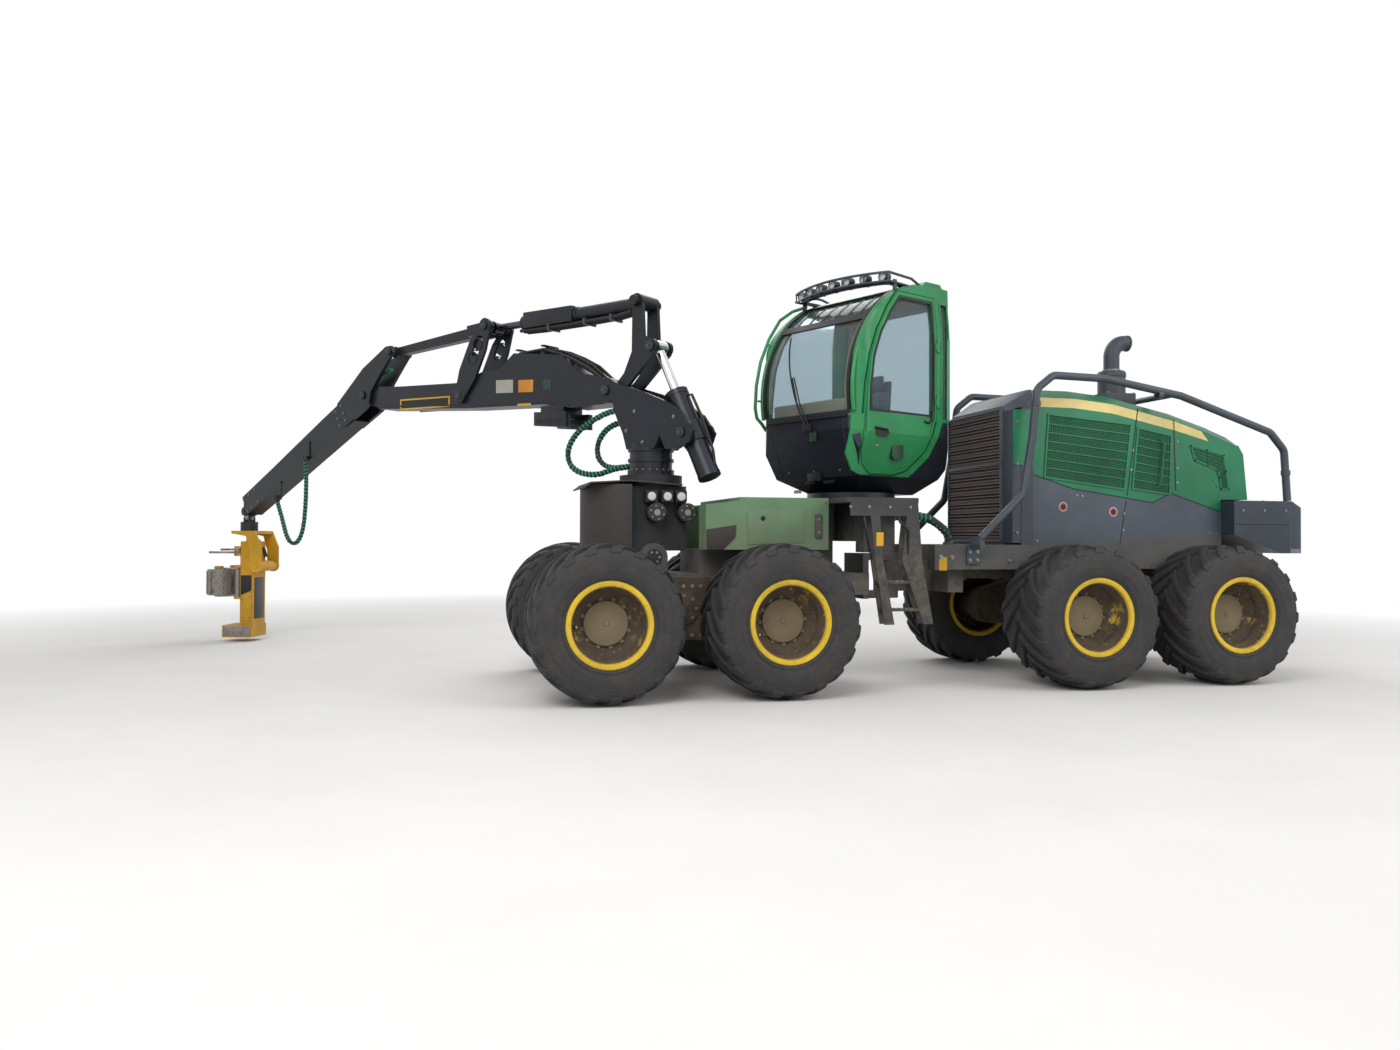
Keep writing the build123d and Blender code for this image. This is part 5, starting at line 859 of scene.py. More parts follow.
def make_radiator():
    """The cooler's brown louvres in an upper and a lower screen, and the sloping panels beside them."""
    x, half = COOLER_X, COOLER_HALF
    piece = Piece("radiator_screen", "rear_frame")
    for z0, z1 in (
        (COOLER_BOTTOM + 0.015, COOLER_SPLIT - 0.008), (COOLER_SPLIT + 0.008, COOLER_TOP - 0.02),
    ):
        # A dark backing behind the louvres: painted shade seen between the slats
        piece.use("louvre_dark").box((x, -half + 0.012, z0), (x + 0.016, half - 0.012, z1))
        count = round((z1 - z0) / 0.031)
        step = (z1 - z0) / count
        piece.use("louvre_brown")
        for index in range(count):
            z = z0 + (index + 0.5) * step
            louvre = [(0.014, 0.011), (0.030, -0.007), (0.032, -0.012), (0.028, -0.013), (0.014, 0.002)]
            piece.prism([(x + out, z + rise) for out, rise in louvre], "y", -half + 0.02, half - 0.02)
        piece.use("panel_grey")
        for y in (-half, half - 0.022):
            piece.box((x, y, z0), (x + 0.032, y + 0.022, z1), 0.002)
        for z in (z0 - 0.006, z1 - 0.006):
            piece.box((x, -half, z), (x + 0.032, half, z + 0.012), 0.002)
    for side in (1, -1):
        slope = [
            (x + 0.005, half), (x + 0.005, half + 0.008), (-3.335, 0.655), (-3.43, 0.655), (-3.43, half),
        ]
        piece.use("panel_grey")
        piece.prism([(a, side * b) for a, b in slope], "z", COOLER_BOTTOM, COOLER_TOP - 0.03)
        heights = (COOLER_BOTTOM + 0.10, COOLER_SPLIT, COOLER_TOP - 0.15)
        piece.use("bolt_steel").side_bolts(side, 0.6615, [(-3.38, z) for z in heights], 0.009)
    piece.use("panel_grey").hull([(a, side * b, z) for side in (1, -1) for a, b, z in COWL_CORNERS])
    piece.use("hood_green")
    for side in (1, -1):
        piece.block(side, (-3.56, 0.654, 2.13), (-3.338, 0.6615, 2.675))
    piece.done()


def make_rear_details():
    """The rear box with its cut corners, its trim, the rails' feet and the exhaust's rings."""
    shell = Piece("rear_box_shell", "rear_frame")
    shell.use("rear_grey").hull([(x, side * y, z) for side in (1, -1) for x, y, z in REAR_BOX_CORNERS])
    # A thin lighter grey skin on each cut corner: a painted highlight on the box's grey
    shell.use("rear_cut")
    for side in (1, -1):
        cut = [(-6.42, 0.8505), (-6.5998, 0.8005), (-6.5998, 0.799), (-6.42, 0.849)]
        shell.prism([(x, side * y) for x, y in cut], "z", 1.262, 1.733)
    shell.done("rear_box")

    piece = Piece("rear_box_trim", "rear_frame")
    for side in (1, -1):
        piece.use("black_plastic")
        seam = [(-5.76, 1.560), (-6.41, 1.560), (-6.41, 1.552), (-5.76, 1.552)]
        piece.plate(seam, side, REAR_BOX_HALF, REAR_BOX_HALF + 0.002)
        places = [(x, 1.70) for x in (-5.84, -6.1, -6.36)]
        piece.use("bolt_steel").side_bolts(side, REAR_BOX_HALF, places, 0.009)
    piece.use("black_plastic").box((-6.40, -0.62, 1.800), (-5.80, 0.62, 1.806), 0.002)
    piece.use("worn_steel").box((-6.37, -0.20, 1.806), (-6.29, 0.20, 1.812), 0.002)
    piece.use("bolt_steel")
    piece.bolts([(x, y, 1.806) for x in (-6.34, -5.84) for y in (-0.57, 0.57)], UP, 0.010)
    for side in (1, -1):
        upper, lower = (-6.5995, side * 0.55, 1.62), (-6.5995, side * 0.55, 1.48)
        piece.use("lamp_lens").lathe(upper, BACK, [(0, 0.004), (0.045, 0.004), (0.050, 0)], 24)
        piece.use("marker_red").lathe(lower, BACK, [(0, 0.004), (0.040, 0.004), (0.045, 0)], 24)
        piece.use("black_plastic").ring(upper, BACK, 0.050, 0.062, 0.008, 24)
    piece.done()

    feet = Piece("rail_bolts", "rear_frame")
    feet.use("bolt_steel")
    for side in (1, -1):
        places = [(x, z) for x in (-2.94, -2.86) for z in (1.19, 1.27)]
        feet.side_bolts(side, 0.68, places, 0.013)
        feet.side_bolts(side, REAR_FRAME_HALF, [(-2.56, 1.22), (-2.68, 1.22)], 0.016)
        places = [(x, 1.18) for x in (-3.3, -3.9, -4.55, -5.2)]
        feet.side_bolts(side, REAR_FRAME_HALF, places, 0.014)
    for side in (1, -1):
        sign = [(-2.542, 1.218), (-2.626, 1.218), (-2.626, 1.091), (-2.542, 1.091)]
        feet.use("plate_yellow").plate(sign, side, REAR_FRAME_HALF, REAR_FRAME_HALF + 0.0025)
        feet.use("rail_grey")
        for x, z, way in ((-3.49, 2.69, UP), (-6.39, 2.07, UP), (-4.9, 2.855, (1, 0, -0.15))):
            feet.ring((x, side * 0.82, z), way, 0.036, 0.046, 0.05, 24)
    feet.done()

    pipe = Piece("exhaust_trim", "rear_frame")
    pipe.use("worn_steel").ring((-4.73, 0.25, 3.152), UP, 0.080, 0.092, 0.030, 36)
    collar = [(0.138, 0), (0.146, 0.004), (0.146, 0.040), (0.132, 0.062), (0.080, 0.066)]
    pipe.use("exhaust_grey").lathe((-4.73, 0.25, 3.10), UP, collar, 48)
    lip = [(0.080, 0), (0.085, 0), (0.085, 0.016), (0.074, 0.0165), (0.074, 0.0)]
    pipe.lathe((-4.905, 0.25, 3.47), BACK, lip, 36)
    mouth = [(0, 0.0), (0.073, 0.0), (0.073, 0.001), (0, 0.001)]
    pipe.use("black_plastic").lathe((-4.9202, 0.25, 3.47), BACK, mouth, 28)
    pipe.use("bolt_steel")
    pipe.bolts([(x, y, 2.92) for x in (-4.885, -4.575) for y in (0.095, 0.405)], UP, 0.010)
    pipe.done()


# Front frame

TOOL_BOX_HALF = 0.74
STEP_FACE = 1.18
GEAR_CASE_HALF = 0.72


def make_front_details():
    """Lids and plates on the tool box, the ladder's treads and handles, and the axles' covers."""
    box = Piece("tool_box_trim", "front_frame")
    y = TOOL_BOX_HALF
    for side in (1, -1):
        lid = [(-0.593, 1.637), (-1.140, 1.674), (-1.146, 1.358), (-0.600, 1.335)]
        box.use("box_green").plate(lid, side, y, y + 0.006, 0.002)
        box.use("black_plastic").cap((-0.74, side * 0.746, 1.578), (0, side, 0), 0.018, 0.024, 0.004, 20)
        box.use("frame_grey").block(side, (-1.31, y, 1.40), (-1.245, 0.760, 1.62), 0.003)
        box.use("bolt_steel").side_bolts(side, 0.760, [(-1.278, 1.45), (-1.278, 1.57)], 0.008)
        box.side_bolts(side, y, [(x, z) for x in (-0.60, -1.35) for z in (1.34, 1.73)], 0.007)
        sheet = [(-0.205, 1.472), (-0.485, 1.515), (-0.475, 1.405), (-0.361, 1.290), (-0.207, 1.290)]
        box.use("guard_brown").plate(sheet, side, y, y + 0.012, 0.002)
    box.use("black_plastic")
    for x in (-0.62, -0.80, -0.98, -1.16):
        box.box((x - 0.02, -0.66, 1.770), (x + 0.02, 0.66, 1.7735))
    box.done()

    ladder = Piece("ladder_trim", "front_frame")
    ladder.use("worn_steel")
    for height, front, rear in ((1.01, -1.696, -2.106), (0.76, -1.743, -2.153)):
        for index in range(8):
            x = rear + 0.03 + index * (front - rear - 0.06) / 7
            ladder.box((x - 0.012, 1.075, height), (x + 0.012, 1.165, height + 0.006))
    ladder.use("plate_yellow").box((-1.736, STEP_FACE, 1.329), (-1.668, 1.183, 1.451))
    places = [(x, 1.68) for x in (-1.42, -1.60, -1.80, -2.0)]
    ladder.use("bolt_steel").side_bolts(1, STEP_FACE, places, 0.009)
    ladder.use("black_plastic")
    for handle in (
        [(-1.556, 1.16, 1.60), (-1.558, 1.19, 1.516), (-1.58, 1.19, 1.407), (-1.633, 1.17, 1.21)],
        [(-1.88, 1.16, 1.60), (-1.90, 1.19, 1.539), (-1.975, 1.19, 1.47), (-1.976, 1.17, 1.251)],
    ):
        ladder.tube(handle, 0.013)
    for index in range(7):
        y = -0.66 + index * 0.22
        ladder.box((-2.06, y, 1.765), (-1.42, y + 0.02, 1.7685))
    ladder.done()

    for name, body, x in (
        ("bogie_trim", "front_frame", 0.0), ("rear_bogie_trim", "rear_frame", -WHEELBASE),
    ):
        axle = Piece(name, body)
        add_bogie_details(axle, x)
        axle.done()


def add_bogie_details(piece, x):
    """Bolted covers on the gear cases and the axle's middle."""
    for side in (1, -1):
        y = side * GEAR_CASE_HALF
        places = [(x + offset, z) for offset in (-0.16, -0.08, 0.0, 0.08, 0.16) for z in (0.96, 0.52)]
        piece.use("bolt_steel").side_bolts(side, GEAR_CASE_HALF, places, 0.012)
        cover = [(0, 0.020), (0.135, 0.020), (0.150, 0.012), (0.150, 0), (0, 0)]
        piece.use("axle_iron").lathe((x, y, 0.76), (0, side, 0), cover, 36)
        piece.use("bolt_steel").bolt_circle((x, y + side * 0.018, 0.76), side, 0.115, 8, 0.010)
    piece.use("axle_iron").cap((x + 0.19, 0, 0.70), (1, 0, 0), 0.10, 0.13, 0.03, 32)


# Crane: places in its plane are S from the slewing axis, Z up

BOOM_FOOT = (0.42, 2.83)
LIFT_FOOT, LIFT_EYE = (-0.50, 2.37), (-0.09, 3.22)
JIB_FOOT, JIB_EYE = (0.08, 3.67), (2.15, 3.66)
KNUCKLE_PIN = (2.54, 2.94)
JIB_PIVOT, TIE_PIN = (4.28, 3.08), (3.80, 3.56)
JIB_SLOPE = math.radians(-26.57)
BASE_HALF = 0.45
# The slewing ring's bolts are hidden, so only specks mark them
SLEW_MARK = 0.0001
BOOM_HALF = 0.14
# Signs and steps on the boom's sides: S and Z limits, rise along the sign, paint
BOOM_PLATES = (
    (2.735, 3.585, 2.836, 2.956, 0.022, "plate_yellow"),
    (2.755, 3.565, 2.852, 2.940, 0.021, "black_plastic"),
    (1.745, 2.000, 2.915, 3.052, 0.014, "plate_blank"),
    (1.450, 1.665, 2.900, 3.028, 0.012, "plate_orange"),
    (1.190, 1.305, 2.905, 3.008, 0.008, "plate_green"),
    (1.480, 1.678, 2.760, 2.790, 0.012, "plate_yellow"),
)
BOOM_WELD = ((0.95, 2.73), (1.20, 2.785), (2.40, 2.83), (3.95, 2.925))
# The boom's hoses: S, share of the hose's Y, Z, share of its rise
BOOM_HOSE = (
    (1.98, 0.8, 3.17, 0.0), (1.70, 0.8, 3.33, 0.4), (1.35, 0.9, 3.34, 0.5), (1.12, 1.0, 3.27, 1.0),
    (0.92, 1.0, 3.19, 1.0), (0.72, 1.0, 3.09, 1.0), (0.56, 0.95, 2.98, 0.5), (0.48, 0.9, 2.90, 0.0),
)


def make_crane_base_details():
    """Rack cylinders' caps, lamps and bolts on the slew housing."""
    piece = Piece("slew_base_trim", "crane_base")
    for side in (1, -1):
        y = side * BASE_HALF
        axis = (0, side, 0)
        for x in (0.19, -0.10):
            cap = [(0.030, 0.0), (0.088, 0.0), (0.088, 0.010), (0.080, 0.016), (0.034, 0.016), (0.030, 0.0)]
            piece.use("base_grey").lathe((x, y, 1.63), axis, cap, 36)
            plug = [(0, 0.012), (0.030, 0.012), (0.034, 0.004), (0, 0.004)]
            piece.use("worn_steel").lathe((x, y, 1.63), axis, plug, 24)
            piece.use("bolt_steel").bolt_circle((x, y + side * 0.012, 1.63), side, 0.062, 6, 0.009, 0.3)
        for x in (0.24, 0.09, -0.04):
            rim = [(0.040, 0), (0.050, 0), (0.050, 0.010), (0.042, 0.010), (0.040, 0)]
            piece.use("black_plastic").lathe((x, y, 1.78), axis, rim, 28)
            front = [(0, 0.009), (0.020, 0.008), (0.040, 0.003), (0.040, 0)]
            piece.use("lamp_lens").lathe((x, y, 1.78), axis, front, 28)
        piece.use("bolt_steel").bolt_circle((0.2, side * 0.382, 1.215), side, 0.05, 6, 0.008)
    places = [(SLEW_X + 0.275 * c, 0.275 * s, 1.9895) for c, s in around(28)]
    piece.bolts(places, UP, SLEW_MARK)
    piece.done()


def pin_cap(piece, pin, y, side, radius):
    """A pin's end plate with its grease nipple."""
    s, z = pin
    end = [(0, 0.012), (radius * 0.7, 0.012), (radius * 0.75, 0.008), (radius, 0.006), (radius, 0), (0, 0)]
    piece.use("pin_dark").lathe((s, side * y, z), (0, side, 0), end, 28)
    piece.use("bolt_steel").rod((s, side * (y + 0.012), z), (s, side * (y + 0.022), z), 0.006, 8)


def make_pillar_details():
    pillar = Piece("pillar_trim", "crane_pillar", CRANE)
    for side in (1, -1):
        pin_cap(pillar, BOOM_FOOT, 0.205, side, 0.048)
        pin_cap(pillar, LIFT_FOOT, 0.200, side, 0.046)
        pillar.side_bolts(side, 0.19, [(0.05, 2.60), (-0.05, 2.30), (0.15, 2.42), (-0.42, 2.52)], 0.012)
    pillar.use("crane_charcoal")
    for z in (2.12, 2.22):
        pillar.ring((0, 0, z), UP, 0.200, 0.222, 0.03, 48)
    places = [(0.214 * c, 0.214 * s, 2.040) for c, s in around(20)]
    pillar.use("bolt_steel").bolts(places, UP, 0.008)
    pillar.done()


def make_boom_details():
    """Signs, weld, pins, the box under the boom, and the bundle of hoses over its foot."""
    boom = Piece("boom_trim", "main_boom", CRANE)
    for side in (1, -1):
        for s0, s1, z0, z1, rise, paint in BOOM_PLATES:
            outline = [(s0, z0), (s1, z0 + rise), (s1, z1 + rise), (s0, z1)]
            thick = 0.0035 if paint == "black_plastic" else 0.0025
            boom.use(paint).plate(outline, side, BOOM_HALF, BOOM_HALF + thick)
        boom.use("crane_charcoal")
        for one, two in zip(BOOM_WELD, BOOM_WELD[1:]):
            boom.plate(level_bar(one, two, 0.008), side, BOOM_HALF, BOOM_HALF + 0.006)
        disc = [(0, 0.003), (0.10, 0.003), (0.10, 0), (0, 0)]
        boom.lathe((KNUCKLE_PIN[0], side * BOOM_HALF, KNUCKLE_PIN[1]), (0, side, 0), disc, 32)
        pin_cap(boom, LIFT_EYE, 0.150, side, 0.05)
    for side in (1, -1):
        cheek = [(0.93, 2.50), (1.38, 2.54), (1.38, 2.68), (0.93, 2.66)]
        boom.use("cab_black").plate(cheek, side, 0.1405, 0.20, 0.006)
        # Black plates for the slots in the box's cheeks: painted shade inside them
        boom.use("black_plastic")
        for s in (1.00, 1.13, 1.26):
            slot = [(s, 2.555), (s + 0.085, 2.563), (s + 0.085, 2.605), (s, 2.597)]
            boom.plate(slot, side, 0.199, 0.202)
    boom.use("cab_black").box((1.02, -0.142, 2.60), (1.34, 0.142, 2.745), 0.006)
    boom.use("worn_steel").box((0.95, -0.10, 3.09), (1.10, 0.10, 3.135), 0.004)
    boom.use("hose_black")
    for index in range(7):
        across = -0.105 + index * 0.035
        lift = 0.035 * math.sin(2.1 * index)
        boom.tube([(s, across * wide, z + lift * share) for s, wide, z, share in BOOM_HOSE], 0.014)
    boom.use("crane_charcoal")
    for s, z in ((1.35, 3.34), (1.72, 3.33)):
        boom.box((s - 0.025, -0.11, z - 0.11), (s + 0.025, 0.11, z - 0.025), 0.003)
        boom.box((s - 0.025, -0.11, z + 0.028), (s + 0.025, 0.11, z + 0.044), 0.003)
    boom.rod((JIB_FOOT[0], -0.10, JIB_FOOT[1]), (JIB_FOOT[0], 0.10, JIB_FOOT[1]), 0.052, 28)
    boom.done()


def make_knuckle_details():
    knuckle = Piece("knuckle_trim", "knuckle", CRANE)
    for side in (1, -1):
        y = side * 0.178
        axis = (0, side, 0)
        boss = [(0.045, 0.012), (0.080, 0.008), (0.085, 0), (0.045, 0)]
        knuckle.use("crane_charcoal").lathe((KNUCKLE_PIN[0], y, KNUCKLE_PIN[1]), axis, boss, 32)
        pin_cap(knuckle, KNUCKLE_PIN, 0.190, side, 0.040)
        pin_cap(knuckle, JIB_EYE, 0.190, side, 0.040)
        knuckle.use("crane_charcoal")
        for s, z in ((2.33, 3.33), (2.255, 3.47)):
            knuckle.ring((s, y, z), axis, 0.062, 0.074, 0.006, 32)
            floor = [(0, 0), (0.066, 0), (0.066, 0.004), (0, 0.004)]
            knuckle.lathe((s, side * 0.155, z), axis, floor, 32)
    knuckle.done()


def make_outer_boom_details():
    jib = Piece("outer_boom_trim", "outer_boom", CRANE)
    along = Vector((math.cos(JIB_SLOPE), 0, math.sin(JIB_SLOPE)))
    above = Vector((-math.sin(JIB_SLOPE), 0, math.cos(JIB_SLOPE)))

    def places(y, *offsets):
        """Points at distances along the outer boom from its pivot and heights above its middle line."""
        pivot = Vector((JIB_PIVOT[0], y, JIB_PIVOT[1]))
        return [pivot + along * distance + above * height for distance, height in offsets]

    for side in (1, -1):
        pin_cap(jib, JIB_PIVOT, 0.153, side, 0.046)
        pin_cap(jib, TIE_PIN, 0.153, side, 0.046)
        end = [(d, h) for d in (2.55, 2.70, 2.82) for h in (-0.09, 0.09)]
        root = [(d, h) for d in (0.42, 0.55) for h in (-0.10, 0.0, 0.10)]
        jib.bolts(places(side * 0.11, *end) + places(side * 0.1395, *root), (0, side, 0), 0.010)
    jib.use("hose_black")
    for y in (-0.05, 0.0, 0.05):
        jib.tube(places(y, (0.1, 0.20), (0.35, 0.205), (0.9, 0.200), (1.6, 0.185), (2.3, 0.168)), 0.014)
    jib.use("hose_green")
    jib.tube(places(0.0, (-0.45, 0.10), (-0.2, 0.17), (0.1, 0.225), (0.35, 0.23)), 0.026)
    jib.done()


def make_cylinder_details():
    """Rings, bolts and pipes on the two cylinders' barrels."""
    across = Vector((0, 1, 0))
    lift = Piece("lift_cylinder_trim", "lift_barrel", CRANE)
    foot = Vector((LIFT_FOOT[0], 0, LIFT_FOOT[1]))
    way = (Vector((LIFT_EYE[0], 0, LIFT_EYE[1])) - foot).normalized()
    third = way.cross(across)
    lift.use("crane_charcoal")
    for distance, radius, length in ((0.40, 0.112, 0.05), (-0.10, 0.120, 0.20), (-0.46, 0.110, 0.04)):
        lift.ring(foot + way * distance, way, 0.10, radius, length, 40)
    places = [foot + way * 0.45 + (across * c + third * s) * 0.082 for c, s in around(8)]
    lift.use("bolt_steel").bolts(places, way, 0.009)
    pipe = ((0.36, 0.10), (0.34, 0.15), (0.1, 0.16), (-0.25, 0.14), (-0.38, 0.10))
    lift.use("hose_black").tube([foot + way * distance + third * out for distance, out in pipe], 0.014)
    lift.done()

    barrel = Piece("jib_cylinder_trim", "jib_barrel", CRANE)
    foot = Vector((JIB_FOOT[0], 0, JIB_FOOT[1]))
    way = (Vector((JIB_EYE[0], 0, JIB_EYE[1])) - foot).normalized()
    barrel.use("crane_charcoal")
    for distance, radius, length in ((1.58, 0.080, 0.055), (0.10, 0.078, 0.05), (0.85, 0.078, 0.03)):
        barrel.ring(foot + way * distance, way, 0.07, radius, length, 36)
    sleeve = [(0.97, 3.590), (0.97, 3.750), (1.66, 3.758), (1.66, 3.590)]
    barrel.prism(sleeve, "y", -0.088, 0.088, 0.006)
    barrel.use("hose_black")
    for y, low in ((0.055, 0.0), (0.0, 0.012), (-0.055, 0.0)):
        barrel.tube([
            (1.72, y, 3.575), (1.45, y, 3.566 - low), (0.90, y, 3.566 - low), (0.40, y, 3.575 - low),
            (0.20, y, 3.60),
        ], 0.019)
    barrel.use("rail_grey")
    for s in (0.45, 0.80, 1.30):
        barrel.box((s - 0.012, -0.092, 3.535), (s + 0.012, 0.092, 3.60), 0.003)
    barrel.done()


# Felling head

ROLLER_RADIUS = 0.139
SPIKE_REACH = 0.149


def make_head_details():
    """Covers, bolts and hoses on the head's frame, and the feed rollers' spikes."""
    head = Piece("head_trim", "head_frame", HEAD)
    head.use("cab_black").box((-0.1395, -0.15, 0.30), (-0.1425, 0.15, 0.85), 0.0005)
    head.use("worn_steel").box((0.03, -0.17, 0.26), (0.042, 0.17, 1.14), 0.002)
    for side in (1, -1):
        lower = [(-0.12, 0.28), (0.02, 0.28), (0.02, 0.60), (-0.12, 0.66)]
        head.use("head_yellow").plate(lower, side, 0.19, 0.200, 0.002)
        upper = [(-0.12, 0.68), (0.02, 0.62), (0.02, 0.88), (-0.12, 0.88)]
        head.use("cab_black").plate(upper, side, 0.19, 0.200, 0.002)
        places = ((-0.10, 0.32), (0.0, 0.32), (-0.10, 0.60), (0.0, 0.56))
        head.use("bolt_steel").side_bolts(side, 0.20, places, 0.009)
        saw = [(-0.13, 0.075), (0.24, 0.075), (0.24, 0.205), (-0.13, 0.205)]
        head.use("worn_steel").plate(saw, side, 0.23, 0.238, 0.002)
    head.use("hose_black")
    for y in (-0.10, -0.05, 0.05, 0.10):
        head.tube([(-0.14, y, 1.25), (-0.17, y, 1.22), (-0.185, y * 1.3, 1.12)], 0.012)
        head.tube([
            (-0.10, y, 1.33), (-0.10, y, 1.345), (-0.05, y * 0.8, 1.352), (0.0, y * 0.7, 1.345),
            (0.0, y * 0.7, 1.33),
        ], 0.012)
    head.done()
    for sign, word in SIDES:
        roller = Piece(f"feed_roller_{word}", f"feed_arm_{word}", HEAD)
        x, y = 0.30, sign * 0.225
        roller.use("worn_steel")
        for row in range(9):
            z = 0.64 + row * 0.035
            for number in range(16):
                angle = 2 * math.pi * (number + 0.5 * (row % 2)) / 16
                start, tip = (
                    (x + radius * math.cos(angle), y + radius * math.sin(angle), z)
                    for radius in (ROLLER_RADIUS, SPIKE_REACH)
                )
                roller.rod(start, tip, 0.010, 5, 0.002)
        end = [(0, 0.022), (0.05, 0.022), (0.06, 0.010), (0.06, 0), (0, 0)]
        roller.use("head_yellow").lathe((x, y, 0.980), UP, end, 28)
        roller.done()


# Hoses: route points as in the CAD, in metres

BASE_HOSE_OUTER = (
    (0.2553, 0.095, 2.640), (0.400, 0.095, 2.640), (0.570, 0.098, 2.595), (0.740, 0.102, 2.525),
    (0.890, 0.106, 2.430), (0.985, 0.110, 2.300), (0.985, 0.108, 2.170), (0.900, 0.100, 2.070),
    (0.750, 0.092, 2.025), (0.580, 0.084, 2.018), (0.400, 0.060, 2.078), (0.208, 0.050, 2.090),
)
BASE_HOSE_INNER = (
    (0.2553, -0.040, 2.540), (0.370, -0.040, 2.540), (0.520, -0.045, 2.520), (0.650, -0.050, 2.455),
    (0.735, -0.055, 2.340), (0.730, -0.050, 2.215), (0.650, -0.045, 2.125), (0.520, -0.040, 2.085),
    (0.380, -0.035, 2.090), (0.208, -0.030, 2.094),
)
TIP_HOSE = (
    (5.400, 0.155, 2.330), (5.385, 0.155, 2.170), (5.375, 0.160, 1.980), (5.380, 0.165, 1.780),
    (5.395, 0.170, 1.590), (5.440, 0.175, 1.420), (5.540, 0.177, 1.310), (5.670, 0.177, 1.310),
    (5.770, 0.175, 1.410), (5.840, 0.170, 1.550), (5.920, 0.163, 1.700), (6.010, 0.155, 1.850),
)
FRAME_HOSE = (
    (-2.0853, 0.260, 1.600), (-2.180, 0.260, 1.600), (-2.310, 0.285, 1.622), (-2.450, 0.315, 1.630),
    (-2.590, 0.345, 1.600), (-2.700, 0.372, 1.525), (-2.780, 0.390, 1.440), (-2.780, 0.390, 1.3653),
)
FRAME_HOSE_BEND = ((-2.10, 0.26, 1.60), (-2.76, 0.38, 1.40))
GUARD_PITCH = 0.045
GUARD_HALF = 0.009
GUARD_STEP = 0.006


def smooth_line(name, route):
    """Points along a hose's NURBS line."""
    data = bpy.data.curves.new(name, "CURVE")
    data.dimensions = "3D"
    data.resolution_u = 10
    spline = data.splines.new("NURBS")
    spline.points.add(len(route) - 1)
    for point, place in zip(spline.points, route):
        point.co = (*place, 1.0)
    spline.order_u = 3
    spline.use_endpoint_u = True
    thing = bpy.data.objects.new(name, data)
    bpy.context.scene.collection.objects.link(thing)
    bpy.context.view_layer.update()
    line = bpy.data.meshes.new_from_object(thing)
    points = [vertex.co.copy() for vertex in line.vertices]
    bpy.data.objects.remove(thing)
    bpy.data.curves.remove(data)
    bpy.data.meshes.remove(line)
    return points


def add_spiral(piece, line, radius):
    """A flat band wound round a line."""
    fine = []
    for one, two in zip(line, line[1:]):
        steps = max(1, int((two - one).length / GUARD_STEP))
        fine += [one.lerp(two, i / steps) for i in range(steps)]
    fine.append(line[-1])
    section = (
        (-0.003, -GUARD_HALF), (0.0045, -GUARD_HALF * 0.8), (0.0045, GUARD_HALF * 0.8),
        (-0.003, GUARD_HALF),
    )
    rings = []
    total = 0.0
    before = fine[0]
    for point, ahead, side, other in moving_frames(fine):
        total += (point - before).length
        before = point
        angle = 2 * math.pi * total / GUARD_PITCH
        out = side * math.cos(angle) + other * math.sin(angle)
        rings.append([piece.mesh.verts.new(point + out * (radius + r) + ahead * a) for r, a in section])
    piece.skin(rings)


def make_hose(node, body, route, radius, place, blend=None):
    """A hose as a tube along its line, with a green guard wound round it."""
    line = smooth_line(f"{node}_line", route)
    tube = Piece(f"{node}_tube", body, place)
    thing = tube.use("hose_black").tube(line, radius - 0.006, 16).done(node, blend=blend)
    guard = Piece(f"{node}_guard", body, place)
    add_spiral(guard.use("hose_green"), line, radius - 0.0045)
    path = [place @ point for point in line]
    tuple(path[0])
    [tuple(point) for point in path]
    guard.done(blend=blend)


def make_hoses():
    make_hose("base_hose_outer", "crane_pillar", BASE_HOSE_OUTER, 0.032, CRANE)
    make_hose("base_hose_inner", "crane_pillar", BASE_HOSE_INNER, 0.032, CRANE)
    make_hose("tip_hose", "outer_boom", TIP_HOSE, 0.030, CRANE)
    start, end = (tuple(MACHINE @ Vector(place)) for place in FRAME_HOSE_BEND)
    make_hose("frame_hose", "front_frame", FRAME_HOSE, 0.045, MACHINE,
              blend=("front_frame", "rear_frame", start, end))


# Cab: U forward from its turntable's axis, N to its left, Z up; outlines are U, Z

CAB_HALF = 0.69
SIDE_FOLD_Z = 3.45
SIDE_WAIST_Z = 2.4
RING_BOTTOM_Z, RING_TOP_Z = 1.997, 2.56
LOCK_Z = 2.27
SCREEN_ARC = ((0.640, 2.600), (0.382, 3.540), (-0.100, 3.860))
SCREEN_CENTRE = Vector((-0.453, 2.805))
LAMP_COUNT = 7
LAMP_RADIUS = 0.047
LAMP_Z = 3.92
RACK_HALF = 0.6
RACK_STEPS = 16
DOOR_EDGE = (
    (-0.490, 3.780), (-0.490, 2.600), (-0.355, 2.250), (-0.150, 2.060), (0.020, 2.010), (0.370, 2.010),
    (0.500, 2.090), (0.545, 2.210), (0.545, 2.490), (0.523, 2.850), (0.480, 3.130), (0.380, 3.380),
    (0.220, 3.610), (0.060, 3.780),
)
SIDE_GUARD = (
    (0.02, -0.620, 3.84), (0.20, -0.650, 3.77), (0.36, -0.668, 3.66), (0.50, -0.680, 3.45),
    (0.615, -0.684, 3.20), (0.672, -0.684, 2.95), (0.688, -0.682, 2.72), (0.668, -0.678, 2.62),
    (0.600, -0.672, 2.56), (0.545, -0.672, 2.50),
)
CUSHIONS = (
    (
        "seat_cushion", (-0.225, -0.235, 2.222), (0.255, 0.235, 2.318),
        ((1, -0.14), (1, 0.14), (0, 0.10)), 0.0,
    ),
    (
        "seat_back", (-0.315, -0.22, 2.335), (-0.235, 0.22, 2.90),
        ((1, -0.13), (1, 0.13), (2, 2.52), (2, 2.72)), -5.5,
    ),
    ("seat_head_rest", (-0.365, -0.13, 2.925), (-0.295, 0.13, 3.065), ((1, 0.0),), -3.0),
)
CUSHION_CROWN = 0.30
